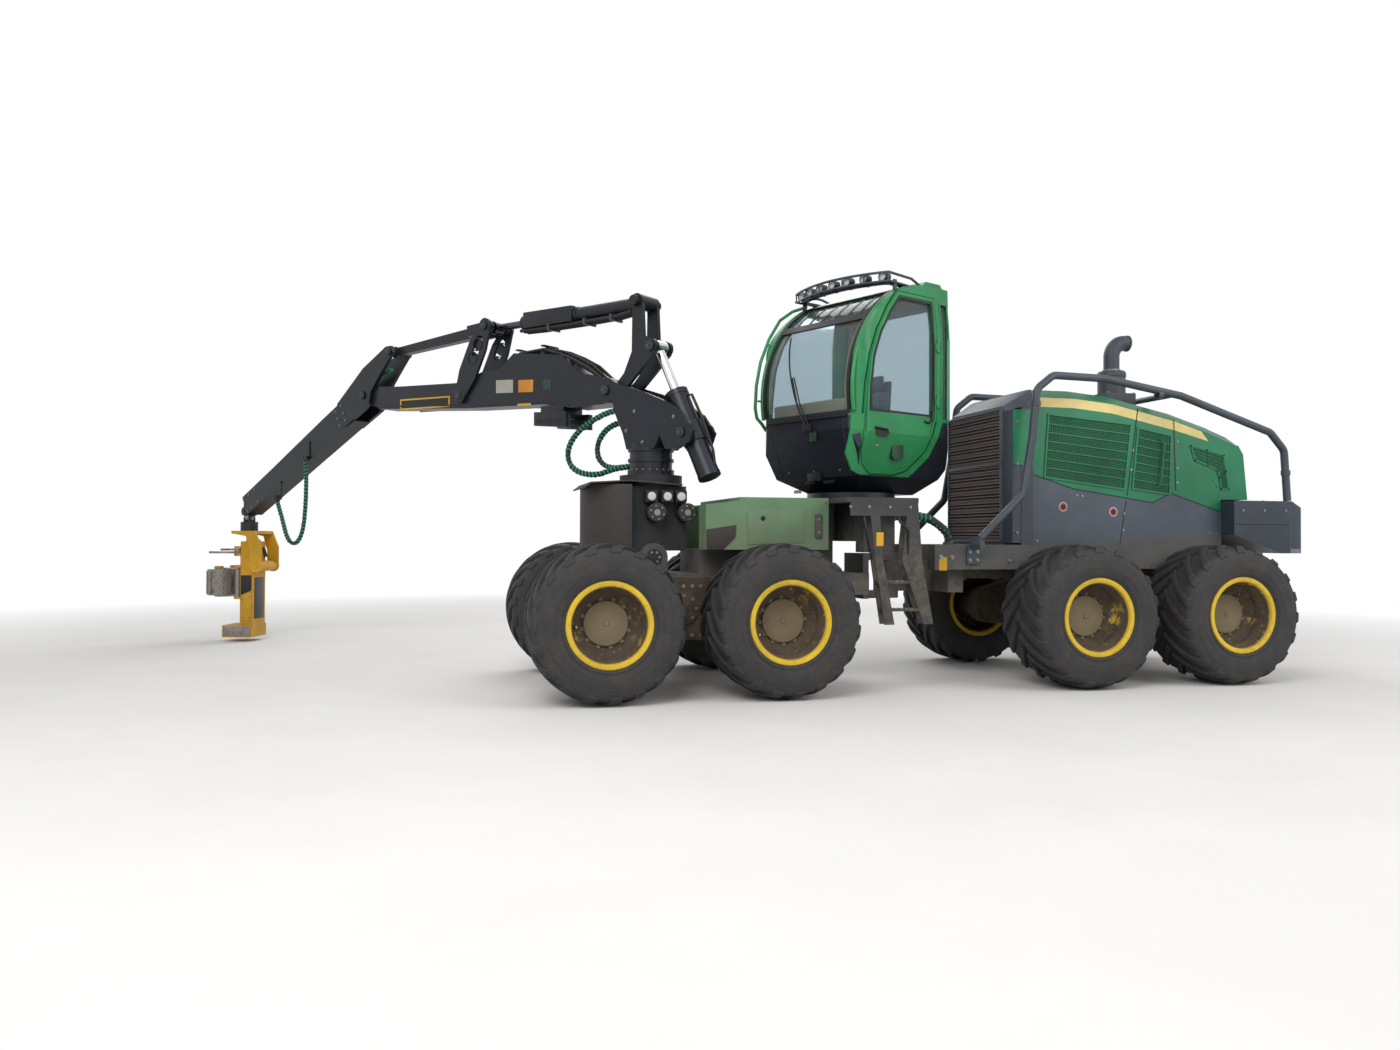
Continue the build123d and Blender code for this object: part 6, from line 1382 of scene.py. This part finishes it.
CUSHION_CELLS = 22
VOXEL = 0.009
SWELL_CAP = 0.008
SWELL_FRAMES = 20
SEAM_DEPTH, SEAM_WIDTH = 0.008, 0.007


def lamp_line(n):
    """The curved rack's U at a place across the cab."""
    return 0.24 - 0.14 * (n / RACK_HALF) ** 2


def arc_points(one, two, three, count):
    """Points along the circle arc through three points."""
    (ax, ay), (bx, by), (cx, cy) = one, two, three
    d = 2 * (ax * (by - cy) + bx * (cy - ay) + cx * (ay - by))
    a2, b2, c2 = ax * ax + ay * ay, bx * bx + by * by, cx * cx + cy * cy
    ux = (a2 * (by - cy) + b2 * (cy - ay) + c2 * (ay - by)) / d
    uy = (a2 * (cx - bx) + b2 * (ax - cx) + c2 * (bx - ax)) / d
    radius = math.hypot(ax - ux, ay - uy)
    first, last = math.atan2(ay - uy, ax - ux), math.atan2(cy - uy, cx - ux)
    turn = [first + (last - first) * i / count for i in range(count + 1)]
    return [(ux + radius * math.cos(a), uy + radius * math.sin(a)) for a in turn]


def side_face(z):
    """The cab's side wall at a height: half its width there."""
    if z > SIDE_FOLD_Z:
        return CAB_HALF - 0.05 * (z - SIDE_FOLD_Z) / 0.45
    if z < SIDE_WAIST_Z:
        return CAB_HALF - 0.13 * (SIDE_WAIST_Z - z) / 0.41
    return CAB_HALF


def body_face(u, z):
    """The lower body's side wall, from above: flat, round at the front corner, then slanting in."""
    if u < 0.476:
        half = CAB_HALF
    elif u < 0.579:
        half = 0.56 + math.sqrt(0.13 ** 2 - (u - 0.476) ** 2)
    else:
        half = CAB_HALF - (u - 0.54) * 1.3
    return half - (CAB_HALF - side_face(z))


def inner_line(outline, depth):
    """An outline moved inwards by a depth, corner by corner."""
    count = len(outline)
    area = sum(a[0] * b[1] - b[0] * a[1] for a, b in zip(outline, outline[1:] + outline[:1]))
    way = 1 if area > 0 else -1
    moved = []
    for index in range(count):
        before, here, after = (Vector(outline[(index + k) % count]) for k in (-1, 0, 1))
        one, two = (here - before).normalized(), (after - here).normalized()
        left_one, left_two = Vector((-one.y, one.x)) * way, Vector((-two.y, two.x)) * way
        middle = (left_one + left_two).normalized()
        moved.append(tuple(here + middle * depth / max(0.35, middle.dot(left_one))))
    return moved


def quads(one, two, three, four, steps):
    """A four-sided piece of a strip, cut into shorter ones along its length."""
    for a, b in ((step / steps, (step + 1) / steps) for step in range(steps)):
        yield [between(one, two, a), between(one, two, b), between(four, three, b), between(four, three, a)]


def side_strip(piece, line, width, out_low, out_high, side=1):
    """A flat strip that follows a closed line on the cab's side wall, standing out from it."""
    inner = inner_line(line, width)
    for one, two, three, four in zip(line, line[1:] + line[:1], inner[1:] + inner[:1], inner):
        for corners in quads(one, two, three, four, 6 if abs(one[1] - two[1]) > 0.5 else 2):
            piece.slab([
                (u, side * (side_face(z) + out), z) for out in (out_low, out_high) for u, z in corners
            ])


def door_ring(piece):
    """The green band on the lower body that follows the door's edge."""
    near, far = inner_line(DOOR_EDGE, -0.010), inner_line(DOOR_EDGE, -0.085)
    for i in range(1, 9):
        for corners in quads(near[i], near[i + 1], far[i + 1], far[i], 4):
            corners = [(u, min(RING_TOP_Z, max(RING_BOTTOM_Z, z))) for u, z in corners]
            one, two, _, four = corners
            if one[1] == two[1] == RING_TOP_Z or abs(one[1] - four[1]) + abs(one[0] - four[0]) < 0.004:
                continue
            piece.slab([(u, body_face(u, z) + out, z) for out in (-0.004, 0.014) for u, z in corners])


def make_lamp_rack():
    """Seven work lamps between the rack's curved tubes, with their brackets."""
    roof = Piece("cab_roof_trim", "cab", CAB)
    ahead = (1, 0, 0)
    for index in range(LAMP_COUNT):
        n = (RACK_HALF - LAMP_RADIUS) * (2 * index / (LAMP_COUNT - 1) - 1)
        u = lamp_line(n) + 0.035
        roof.use("lamp_ring").lathe((u, n, LAMP_Z), ahead, [
            (LAMP_RADIUS - 0.004, 0.0), (LAMP_RADIUS, 0.002), (LAMP_RADIUS, 0.012), (0.042, 0.016),
            (0.038, 0.010), (0.038, 0.0), (LAMP_RADIUS - 0.004, 0.0),
        ], 32)
        front = [(0, 0.011), (0.020, 0.0105), (0.038, 0.006), (0.038, 0.0), (0, 0)]
        roof.use("lamp_lens").lathe((u, n, LAMP_Z), ahead, front, 32)
        roof.use("black_plastic")
        roof.box((u - 0.075, n - 0.012, LAMP_Z - 0.070), (u - 0.012, n + 0.012, LAMP_Z - 0.048), 0.003)
        back = [(0.0, 0.0), (0.030, 0.0), (0.034, 0.006), (0.034, 0.012), (0.0, 0.012), (0.0, 0.0)]
        roof.lathe((u - 0.082, n, LAMP_Z), ahead, back, 24)
    across = [RACK_HALF * 1.05 * (2 * index / RACK_STEPS - 1) for index in range(RACK_STEPS + 1)]
    upper = [(lamp_line(n) + 0.075, n, 3.953) for n in across]
    lower = [(u - 0.005, n, 3.868) for u, n, _ in upper]
    end = across[0]
    rear = [(-0.34, end * 0.94, 3.905), (-0.20, end * 0.97, 3.945)]
    roof.use("rail_grey").tube(rear + upper + [(u, -n, z) for u, n, z in reversed(rear)], 0.013)
    roof.tube(lower, 0.011)
    for index in (0, 3, 6, 10, 13, 16):
        roof.rod(lower[index], upper[index], 0.008, 10)
    for side in (1, -1):
        half = side * RACK_HALF
        roof.tube([
            (lamp_line(RACK_HALF) + 0.07, half * 1.05, 3.87), (-0.20, half * 1.02, 3.865),
            (-0.34, half, 3.865),
        ], 0.012)
        roof.block(side, (0.03, 0.603, 3.79), (0.07, 0.627, 3.90), 0.003)
    roof.use("cab_green").box((-0.66, -0.52, 3.9495), (-0.42, 0.52, 3.9525), 0.001)
    roof.use("black_plastic").cap((-0.53, 0.30, 3.9525), UP, 0.05, 0.06, 0.010, 24)
    roof.done()


def make_screen_trim():
    """Gasket, skylight bars and wiper on the curved windscreen."""
    piece = Piece("windscreen_trim", "cab", CAB)
    line = arc_points(*SCREEN_ARC, 36)

    def out(point, rise):
        return tuple(Vector(point) + (Vector(point) - SCREEN_CENTRE).normalized() * rise)

    def band(n0, n1, first, last, low, high):
        for a, b in zip(line[first:last], line[first + 1:last + 1]):
            piece.prism([out(a, low), out(b, low), out(b, high), out(a, high)], "y", n0, n1)

    piece.use("black_plastic")
    for side in (1, -1):
        band(*sorted((side * 0.555, side * 0.592)), 0, 33, -0.010, 0.003)
    band(-0.56, 0.56, 21, 23, -0.012, 0.004)
    band(-0.56, 0.56, 32, 33, -0.012, 0.004)
    piece.use("interior_beige")
    for side in (1, -1):
        band(*sorted((side * 0.500, side * 0.545)), 1, 24, -0.040, -0.032)
    piece.use("black_plastic")
    u, z = out(line[23], -0.045)
    for n in (-0.42, -0.25, -0.08, 0.09, 0.26, 0.42):
        band(n - 0.014, n + 0.014, 23, 32, -0.030, -0.018)
        knob = [(0, 0), (0.046, 0.0), (0.052, 0.014), (0.040, 0.026), (0, 0.028)]
        piece.lathe((u, n, z - 0.012), (0.45, 0, 0.9), knob, 20)
    sill = out(line[0], 0.004)[0]
    piece.box((sill - 0.012, -0.56, 2.553), (sill + 0.002, 0.56, 2.603), 0.003)
    blade = [(point, -0.10 - 0.016 * index) for index, point in enumerate(line[3:20])]
    piece.tube([(out(point, 0.016)[0], n, out(point, 0.016)[1]) for point, n in blade], 0.008)
    for radius, *across in ((0.010, 0.02, -0.02, -0.10, -0.20), (0.007, 0.065, 0.025, -0.06, -0.17)):
        arm = ((0.652, 2.47), (0.672, 2.56), (0.668, 2.72), (0.635, 2.98))
        piece.tube([(u, n, z) for (u, z), n in zip(arm, across)], radius)
    piece.box((0.640, -0.03, 2.43), (0.664, 0.09, 2.50), 0.006)
    piece.done()


def make_door_trim():
    """The door's rubber, its raised edge, handle, lock, plate and hinge-side pipe."""
    door = Piece("door_trim", "cab_door", CAB)
    rail = inner_line(DOOR_EDGE, 0.045)
    front, rear = rail[9][0], rail[1][0]
    outline = [rail[0], (rear, 2.64), (rear + 0.05, 2.592), (front - 0.035, 2.592), (front + 0.004, 2.64)]
    door.use("black_plastic")
    side_strip(door, outline + rail[9:], 0.022, 0.0005, 0.006)
    door.use("cab_green")
    side_strip(door, inner_line(DOOR_EDGE, 0.010), 0.026, 0.0, 0.008)
    outer = CAB_HALF
    recess = [(0.21, 2.40), (0.255, 2.355), (0.385, 2.365), (0.42, 2.43), (0.40, 2.445), (0.23, 2.425)]
    door.use("black_plastic").prism(recess, "y", outer + 0.0005, outer + 0.004)
    door.tube([
        (0.25, outer + 0.002, 2.425), (0.25, outer + 0.015, 2.428), (0.41, outer + 0.015, 2.44),
        (0.41, outer + 0.002, 2.437),
    ], 0.009)
    lock = side_face(LOCK_Z)
    door.use("bolt_steel").box((0.32, lock, 2.265), (0.355, lock + 0.006, 2.325), 0.003)
    door.use("black_plastic").cap((0.3375, lock + 0.006, 2.295), AXLE, 0.008, 0.010, 0.002, 16)
    z = 2.24
    sign = [
        (0.0, z - 0.09), (0.10, z - 0.09), (0.13, z - 0.06), (0.13, z + 0.06), (0.10, z + 0.09),
        (0.0, z + 0.09), (-0.03, z + 0.06), (-0.03, z - 0.06),
    ]
    door.use("plate_green").prism(sign, "y", side_face(z - 0.09) + 0.012, side_face(z) + 0.018, 0.001)
    door.use("black_plastic")
    start = (-0.405, outer + 0.010, 2.56)
    door.tube([start, (-0.435, outer + 0.012, 2.75), (-0.440, outer + 0.010, 3.30)], 0.011)
    door.use("exhaust_grey").tube([(-0.437, outer + 0.011, 2.82), (-0.440, outer + 0.010, 3.42)], 0.006)
    door.use("black_plastic")
    door.tube([(-0.30, outer + 0.004, 2.545), (-0.36, outer + 0.013, 2.53), start], 0.010)
    door.done()


def make_cab_body():
    """Panel edges, seams and brackets on the cab's body and frame, and its right side's guard."""
    piece = Piece("cab_body_trim", "cab", CAB)
    piece.use("black_plastic").box((0.575, -0.54, 2.540), (0.668, 0.54, 2.553), 0.003)
    piece.use("cab_black")
    for side in (1, -1):
        n = side * 0.50
        piece.tube([(0.635, n, 2.54), (0.640, n, 2.43), (0.505, side * 0.47, 2.0)], 0.006)
    piece.box((0.50, -0.09, 1.955), (0.53, 0.09, 2.04), 0.005)
    piece.use("plate_green").box((0.632, 0.055, 2.33), (0.645, 0.145, 2.42), 0.004)
    piece.use("plate_blank").box((0.36, -0.44, 1.852), (0.372, -0.34, 1.885), 0.003)
    piece.use("bolt_steel").bolts([(0.525, n, 2.05) for n in (-0.35, 0.0, 0.35)], (1, 0, -0.3), 0.009)
    piece.use("cab_green")
    door_ring(piece)
    rear = [(-0.555, 3.75), (-0.690, 3.75), (-0.690, 2.565), (-0.555, 2.565)]
    pillar = arc_points(*SCREEN_ARC, 24)[:22]
    for side in (1, -1):
        side_strip(piece, rear, 0.020, 0.0, 0.006, side)
        piece.tube([(u - 0.012, side * 0.618, z - 0.006) for u, z in pillar], 0.020)
    piece.use("panel_grey")
    for side in (1, -1):
        piece.cap((0.30, side * 0.655, 3.55), (0, side, 0), 0.016, 0.022, 0.012, 18)
    piece.done()

    guard = Piece("cab_side_guard", "cab", CAB)
    guard.use("cab_green").tube(SIDE_GUARD, 0.017)
    for u, z in ((0.53, 3.39), (0.655, 2.80)):
        guard.rod((u, -0.682, z), (u - 0.05, -0.625, z - 0.02), 0.011, 12)
    guard.done()


def make_cab_inside():
    """Dashboard, linings, screen, pedals and a box behind the seat."""
    inside = Piece("cab_interior", "cab", CAB)
    dash = [(0.42, 2.30), (0.53, 2.30), (0.575, 2.45), (0.596, 2.715), (0.54, 2.735), (0.42, 2.50)]
    inside.use("interior_beige").prism(dash, "y", -0.50, 0.50, 0.012)
    inside.box((-0.665, -0.60, 2.15), (-0.58, 0.60, 2.50), 0.02)
    inside.box((-0.66, -0.60, 3.70), (-0.10, 0.60, 3.765), 0.02)
    for side in (1, -1):
        inside.block(side, (-0.665, 0.575, 2.50), (-0.60, 0.605, 3.72), 0.01)
    inside.use("black_plastic").box((0.30, -0.44, 2.46), (0.325, -0.14, 2.70), 0.008)
    inside.rod((0.36, -0.29, 2.20), (0.33, -0.29, 2.52), 0.016, 12)
    for side in (-1, 1):
        inside.block(side, (0.40, 0.06, 1.93), (0.46, 0.20, 2.02), 0.01)
    inside.box((-0.60, -0.58, 2.50), (-0.45, -0.30, 2.72), 0.01)
    inside.use("lamp_lens").box((0.2985, -0.425, 2.475), (0.3005, -0.155, 2.685))
    inside.done()


def cushion(name, low, high):
    """A closed crowned block between two corners, its sides pulled in between its corners."""
    build = bmesh.new()
    bmesh.ops.create_cube(build, size=2.0)
    bmesh.ops.subdivide_edges(build, edges=build.edges[:], cuts=CUSHION_CELLS, use_grid_fill=True)
    half = [(b - a) / 2 for a, b in zip(low, high)]
    middle = [(b + a) / 2 for a, b in zip(low, high)]
    thin = half.index(min(half))
    for vertex in build.verts:
        place = list(vertex.co)
        flat = [place[i] for i in range(3) if i != thin]
        scale = [1 - 0.035 * (flat[0] * flat[1]) ** 4] * 3
        scale[thin] = 0.62 + CUSHION_CROWN * (1 - abs(flat[0]) ** 2.6) * (1 - abs(flat[1]) ** 2.6)
        vertex.co = Vector(middle[i] + half[i] * place[i] * scale[i] for i in range(3))
    data = bpy.data.meshes.new(name)
    build.to_mesh(data)
    build.free()
    thing = bpy.data.objects.new(name, data)
    bpy.context.scene.collection.objects.link(thing)
    return thing


def keep_modified(thing):
    """The thing's mesh as its modifiers leave it, in place of its old one."""
    bpy.context.view_layer.update()
    data = bpy.data.meshes.new_from_object(thing.evaluated_get(bpy.context.evaluated_depsgraph_get()))
    thing.modifiers.clear()
    old, thing.data = thing.data, data
    bpy.data.meshes.remove(old)
    return data


def inflate(thing):
    """Blow a cushion up with a short cloth simulation, each point moved by no more than a cap."""
    scene = bpy.context.scene
    bpy.context.view_layer.objects.active = thing
    remesh = thing.modifiers.new("remesh", "REMESH")
    remesh.mode = "VOXEL"
    remesh.voxel_size = VOXEL
    data = keep_modified(thing)
    start = [vertex.co.copy() for vertex in data.vertices]
    modifier = thing.modifiers.new("cloth", "CLOTH")
    settings = modifier.settings
    settings.quality = 5
    settings.use_pressure = True
    settings.uniform_pressure_force = 4
    settings.effector_weights.gravity = 0
    modifier.point_cache.frame_start = 1
    modifier.point_cache.frame_end = SWELL_FRAMES
    for number in range(1, SWELL_FRAMES + 1):
        scene.frame_set(number)
    evaluated = thing.evaluated_get(bpy.context.evaluated_depsgraph_get())
    moved = [vertex.co.copy() for vertex in evaluated.to_mesh().vertices]
    evaluated.to_mesh_clear()
    thing.modifiers.clear()
    scene.frame_set(1)
    for vertex, one, two in zip(data.vertices, start, moved):
        step = two - one
        if step.length > SWELL_CAP:
            step *= SWELL_CAP / step.length
        vertex.co = one + step


def sew(thing, seams):
    """Pull the cloth in along its seams: each is an axis and a place on it."""
    for vertex in thing.data.vertices:
        pull = 0.0
        for axis, place in seams:
            gap = (vertex.co[axis] - place) / SEAM_WIDTH
            pull = max(pull, math.exp(-gap * gap))
        vertex.co -= vertex.normal * SEAM_DEPTH * pull


def make_seat():
    """The cab's seat: two sewn cushions and a head rest on a moulded base with arm rests."""
    base = Piece("seat_base", "cab", CAB)
    base.use("black_plastic").box((-0.16, -0.16, 1.905), (0.16, 0.16, 1.96), 0.01)
    stem = [(0, 0), (0.12, 0), (0.10, 0.03), (0.085, 0.14), (0.12, 0.18), (0.14, 0.225), (0, 0.225)]
    base.lathe((0, 0, 1.96), UP, stem, 32)
    base.box((-0.25, -0.22, 2.185), (0.25, 0.22, 2.222), 0.012)
    base.prism([(-0.33, 2.24), (-0.27, 2.24), (-0.345, 3.00), (-0.395, 3.00)], "y", -0.20, 0.20, 0.012)
    for side in (1, -1):
        base.block(side, (-0.29, 0.275, 2.475), (0.225, 0.355, 2.53), 0.014)
        base.block(side, (-0.285, 0.290, 2.28), (-0.235, 0.340, 2.48), 0.008)
        base.block(side, (-0.285, 0.22, 2.262), (-0.235, 0.34, 2.30), 0.006)
        base.rod((0.17, side * 0.315, 2.53), (0.185, side * 0.315, 2.60), 0.012, 12)
        grip = [(0, 0), (0.020, 0.008), (0.027, 0.045), (0.020, 0.075), (0, 0.082)]
        base.lathe((0.185, side * 0.315, 2.595), (0.1, 0, 1), grip, 18)
    base.done("cab_seat")
    for name, low, high, seams, tilt in CUSHIONS:
        thing = cushion(name, low, high)
        inflate(thing)
        rounding = thing.modifiers.new("smooth", "SUBSURF")
        rounding.levels = rounding.render_levels = 1
        smooth = keep_modified(thing)
        sew(thing, seams)
        foot = Vector(((low[0] + high[0]) / 2, 0, low[2]))
        turn = Matrix.Rotation(math.radians(tilt), 4, "Y")
        smooth.transform(CAB @ Matrix.Translation(foot) @ turn @ Matrix.Translation(-foot))
        smooth.shade_smooth()
        smooth.materials.clear()
        smooth.materials.append(MATERIALS["seat_fabric"])
        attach(thing, "cab")


# Stage, lights and camera


def make_floor():
    """A pale floor that keeps the shadows near the machine and goes white far from it."""
    data = bpy.data.meshes.new("floor")
    build = bmesh.new()
    bmesh.ops.create_grid(build, x_segments=1, y_segments=1, size=60)
    build.to_mesh(data)
    build.free()
    floor = bpy.data.objects.new("floor", data)
    bpy.context.scene.collection.objects.link(floor)
    m = Nodes("floor_pale")
    m.colour(m.mix(m.spread(m.noise(0.6, 4), 0.3, 0.7), rgb("dddbd6"), rgb("e4e2dd")))
    m.roughness(m.spread(m.noise(8), 0.3, 0.7, 0.75, 0.9))
    flat = m.tree.nodes.new("ShaderNodeVectorMath")
    flat.operation = "LENGTH"
    m.link(m.where, flat.inputs[0])
    far = m.spread(flat.outputs["Value"], 7.0, 15.0)
    rays = m.tree.nodes.new("ShaderNodeLightPath")
    seen = m.maths("ADD", rays.outputs["Is Camera Ray"], rays.outputs["Is Transmission Ray"])
    seen = m.maths("ADD", seen, rays.outputs["Is Glossy Ray"])
    white = m.tree.nodes.new("ShaderNodeEmission")
    white.inputs["Color"].default_value = (1, 1, 1, 1)
    blend = m.tree.nodes.new("ShaderNodeMixShader")
    m.link(m.maths("MULTIPLY", far, seen), blend.inputs["Fac"])
    m.link(m.shader.outputs["BSDF"], blend.inputs[1])
    m.link(white.outputs["Emission"], blend.inputs[2])
    m.link(blend.outputs["Shader"], m.tree.nodes["Material Output"].inputs["Surface"])
    data.materials.append(m.material)


def make_world():
    world = bpy.data.worlds.new("studio")
    bpy.context.scene.world = world
    world.use_nodes = True
    tree = world.node_tree
    background = tree.nodes["Background"]
    rays = tree.nodes.new("ShaderNodeLightPath")
    total = rays.outputs["Is Camera Ray"]
    for name in ("Is Transmission Ray", "Is Glossy Ray"):
        node = tree.nodes.new("ShaderNodeMath")
        node.operation = "ADD"
        node.use_clamp = True
        tree.links.new(total, node.inputs[0])
        tree.links.new(rays.outputs[name], node.inputs[1])
        total = node.outputs["Value"]
    strength = tree.nodes.new("ShaderNodeMapRange")
    strength.inputs["To Min"].default_value = 0.55
    strength.inputs["To Max"].default_value = 1.0
    tree.links.new(total, strength.inputs["Value"])
    tree.links.new(strength.outputs["Result"], background.inputs["Strength"])
    colour = tree.nodes.new("ShaderNodeMix")
    colour.data_type = "RGBA"
    colour.inputs[6].default_value = (0.93, 0.95, 1.0, 1.0)
    colour.inputs[7].default_value = (1.0, 1.0, 1.0, 1.0)
    tree.links.new(total, colour.inputs["Factor"])
    tree.links.new(colour.outputs[2], background.inputs["Color"])


def make_lights():
    for name, place, size, power in (
        ("key", (5, 9, 9), 7, 900),
        ("fill", (-9, 8, 7), 8, 500),
        ("back", (-2, -9, 9), 8, 500),
    ):
        data = bpy.data.lights.new(name, "AREA")
        data.size = size
        data.energy = power
        lamp = bpy.data.objects.new(name, data)
        lamp.location = MACHINE @ Vector(place)
        aim = MACHINE @ Vector((-1.5, 0, 1.5)) - lamp.location
        lamp.rotation_mode = "QUATERNION"
        lamp.rotation_quaternion = aim.to_track_quat("-Z", "Y")
        bpy.context.scene.collection.objects.link(lamp)


def make_camera():
    ahead = Vector((
        math.sin(CAMERA_YAW) * math.cos(CAMERA_PITCH),
        -math.cos(CAMERA_YAW) * math.cos(CAMERA_PITCH),
        math.sin(CAMERA_PITCH),
    ))
    right = ahead.cross(Vector((0, 0, 1))).normalized()
    up = right.cross(ahead)
    right, up = (
        right * math.cos(CAMERA_ROLL) + up * math.sin(CAMERA_ROLL),
        up * math.cos(CAMERA_ROLL) - right * math.sin(CAMERA_ROLL),
    )
    data = bpy.data.cameras.new("camera")
    data.sensor_width = SENSOR_WIDTH
    data.lens = CAMERA_FOCAL / IMAGE_WIDTH * SENSOR_WIDTH
    data.clip_end = 200
    camera = bpy.data.objects.new("camera", data)
    turn = Matrix((right, up, -ahead)).transposed()
    camera.matrix_world = Matrix.Translation(MACHINE @ Vector(CAMERA_PLACE)) @ turn.to_4x4()
    bpy.context.scene.collection.objects.link(camera)
    bpy.context.scene.camera = camera


def paint_nodes():
    for material, nodes in NODES_BY_MATERIAL.items():
        for node in nodes.split():
            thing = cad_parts[node]
            thing.data.materials.clear()
            thing.data.materials.append(MATERIALS[material])


bpy.context.scene.view_settings.view_transform = "Standard"
make_camera()
make_hoses()
paint_nodes()
make_wheels()
make_hood()
make_radiator()
make_rear_details()
make_front_details()
make_crane_base_details()
make_pillar_details()
make_boom_details()
make_knuckle_details()
make_outer_boom_details()
make_cylinder_details()
make_head_details()
make_lamp_rack()
make_door_trim()
make_screen_trim()
make_cab_body()
make_cab_inside()
make_seat()
make_floor()
make_world()
make_lights()
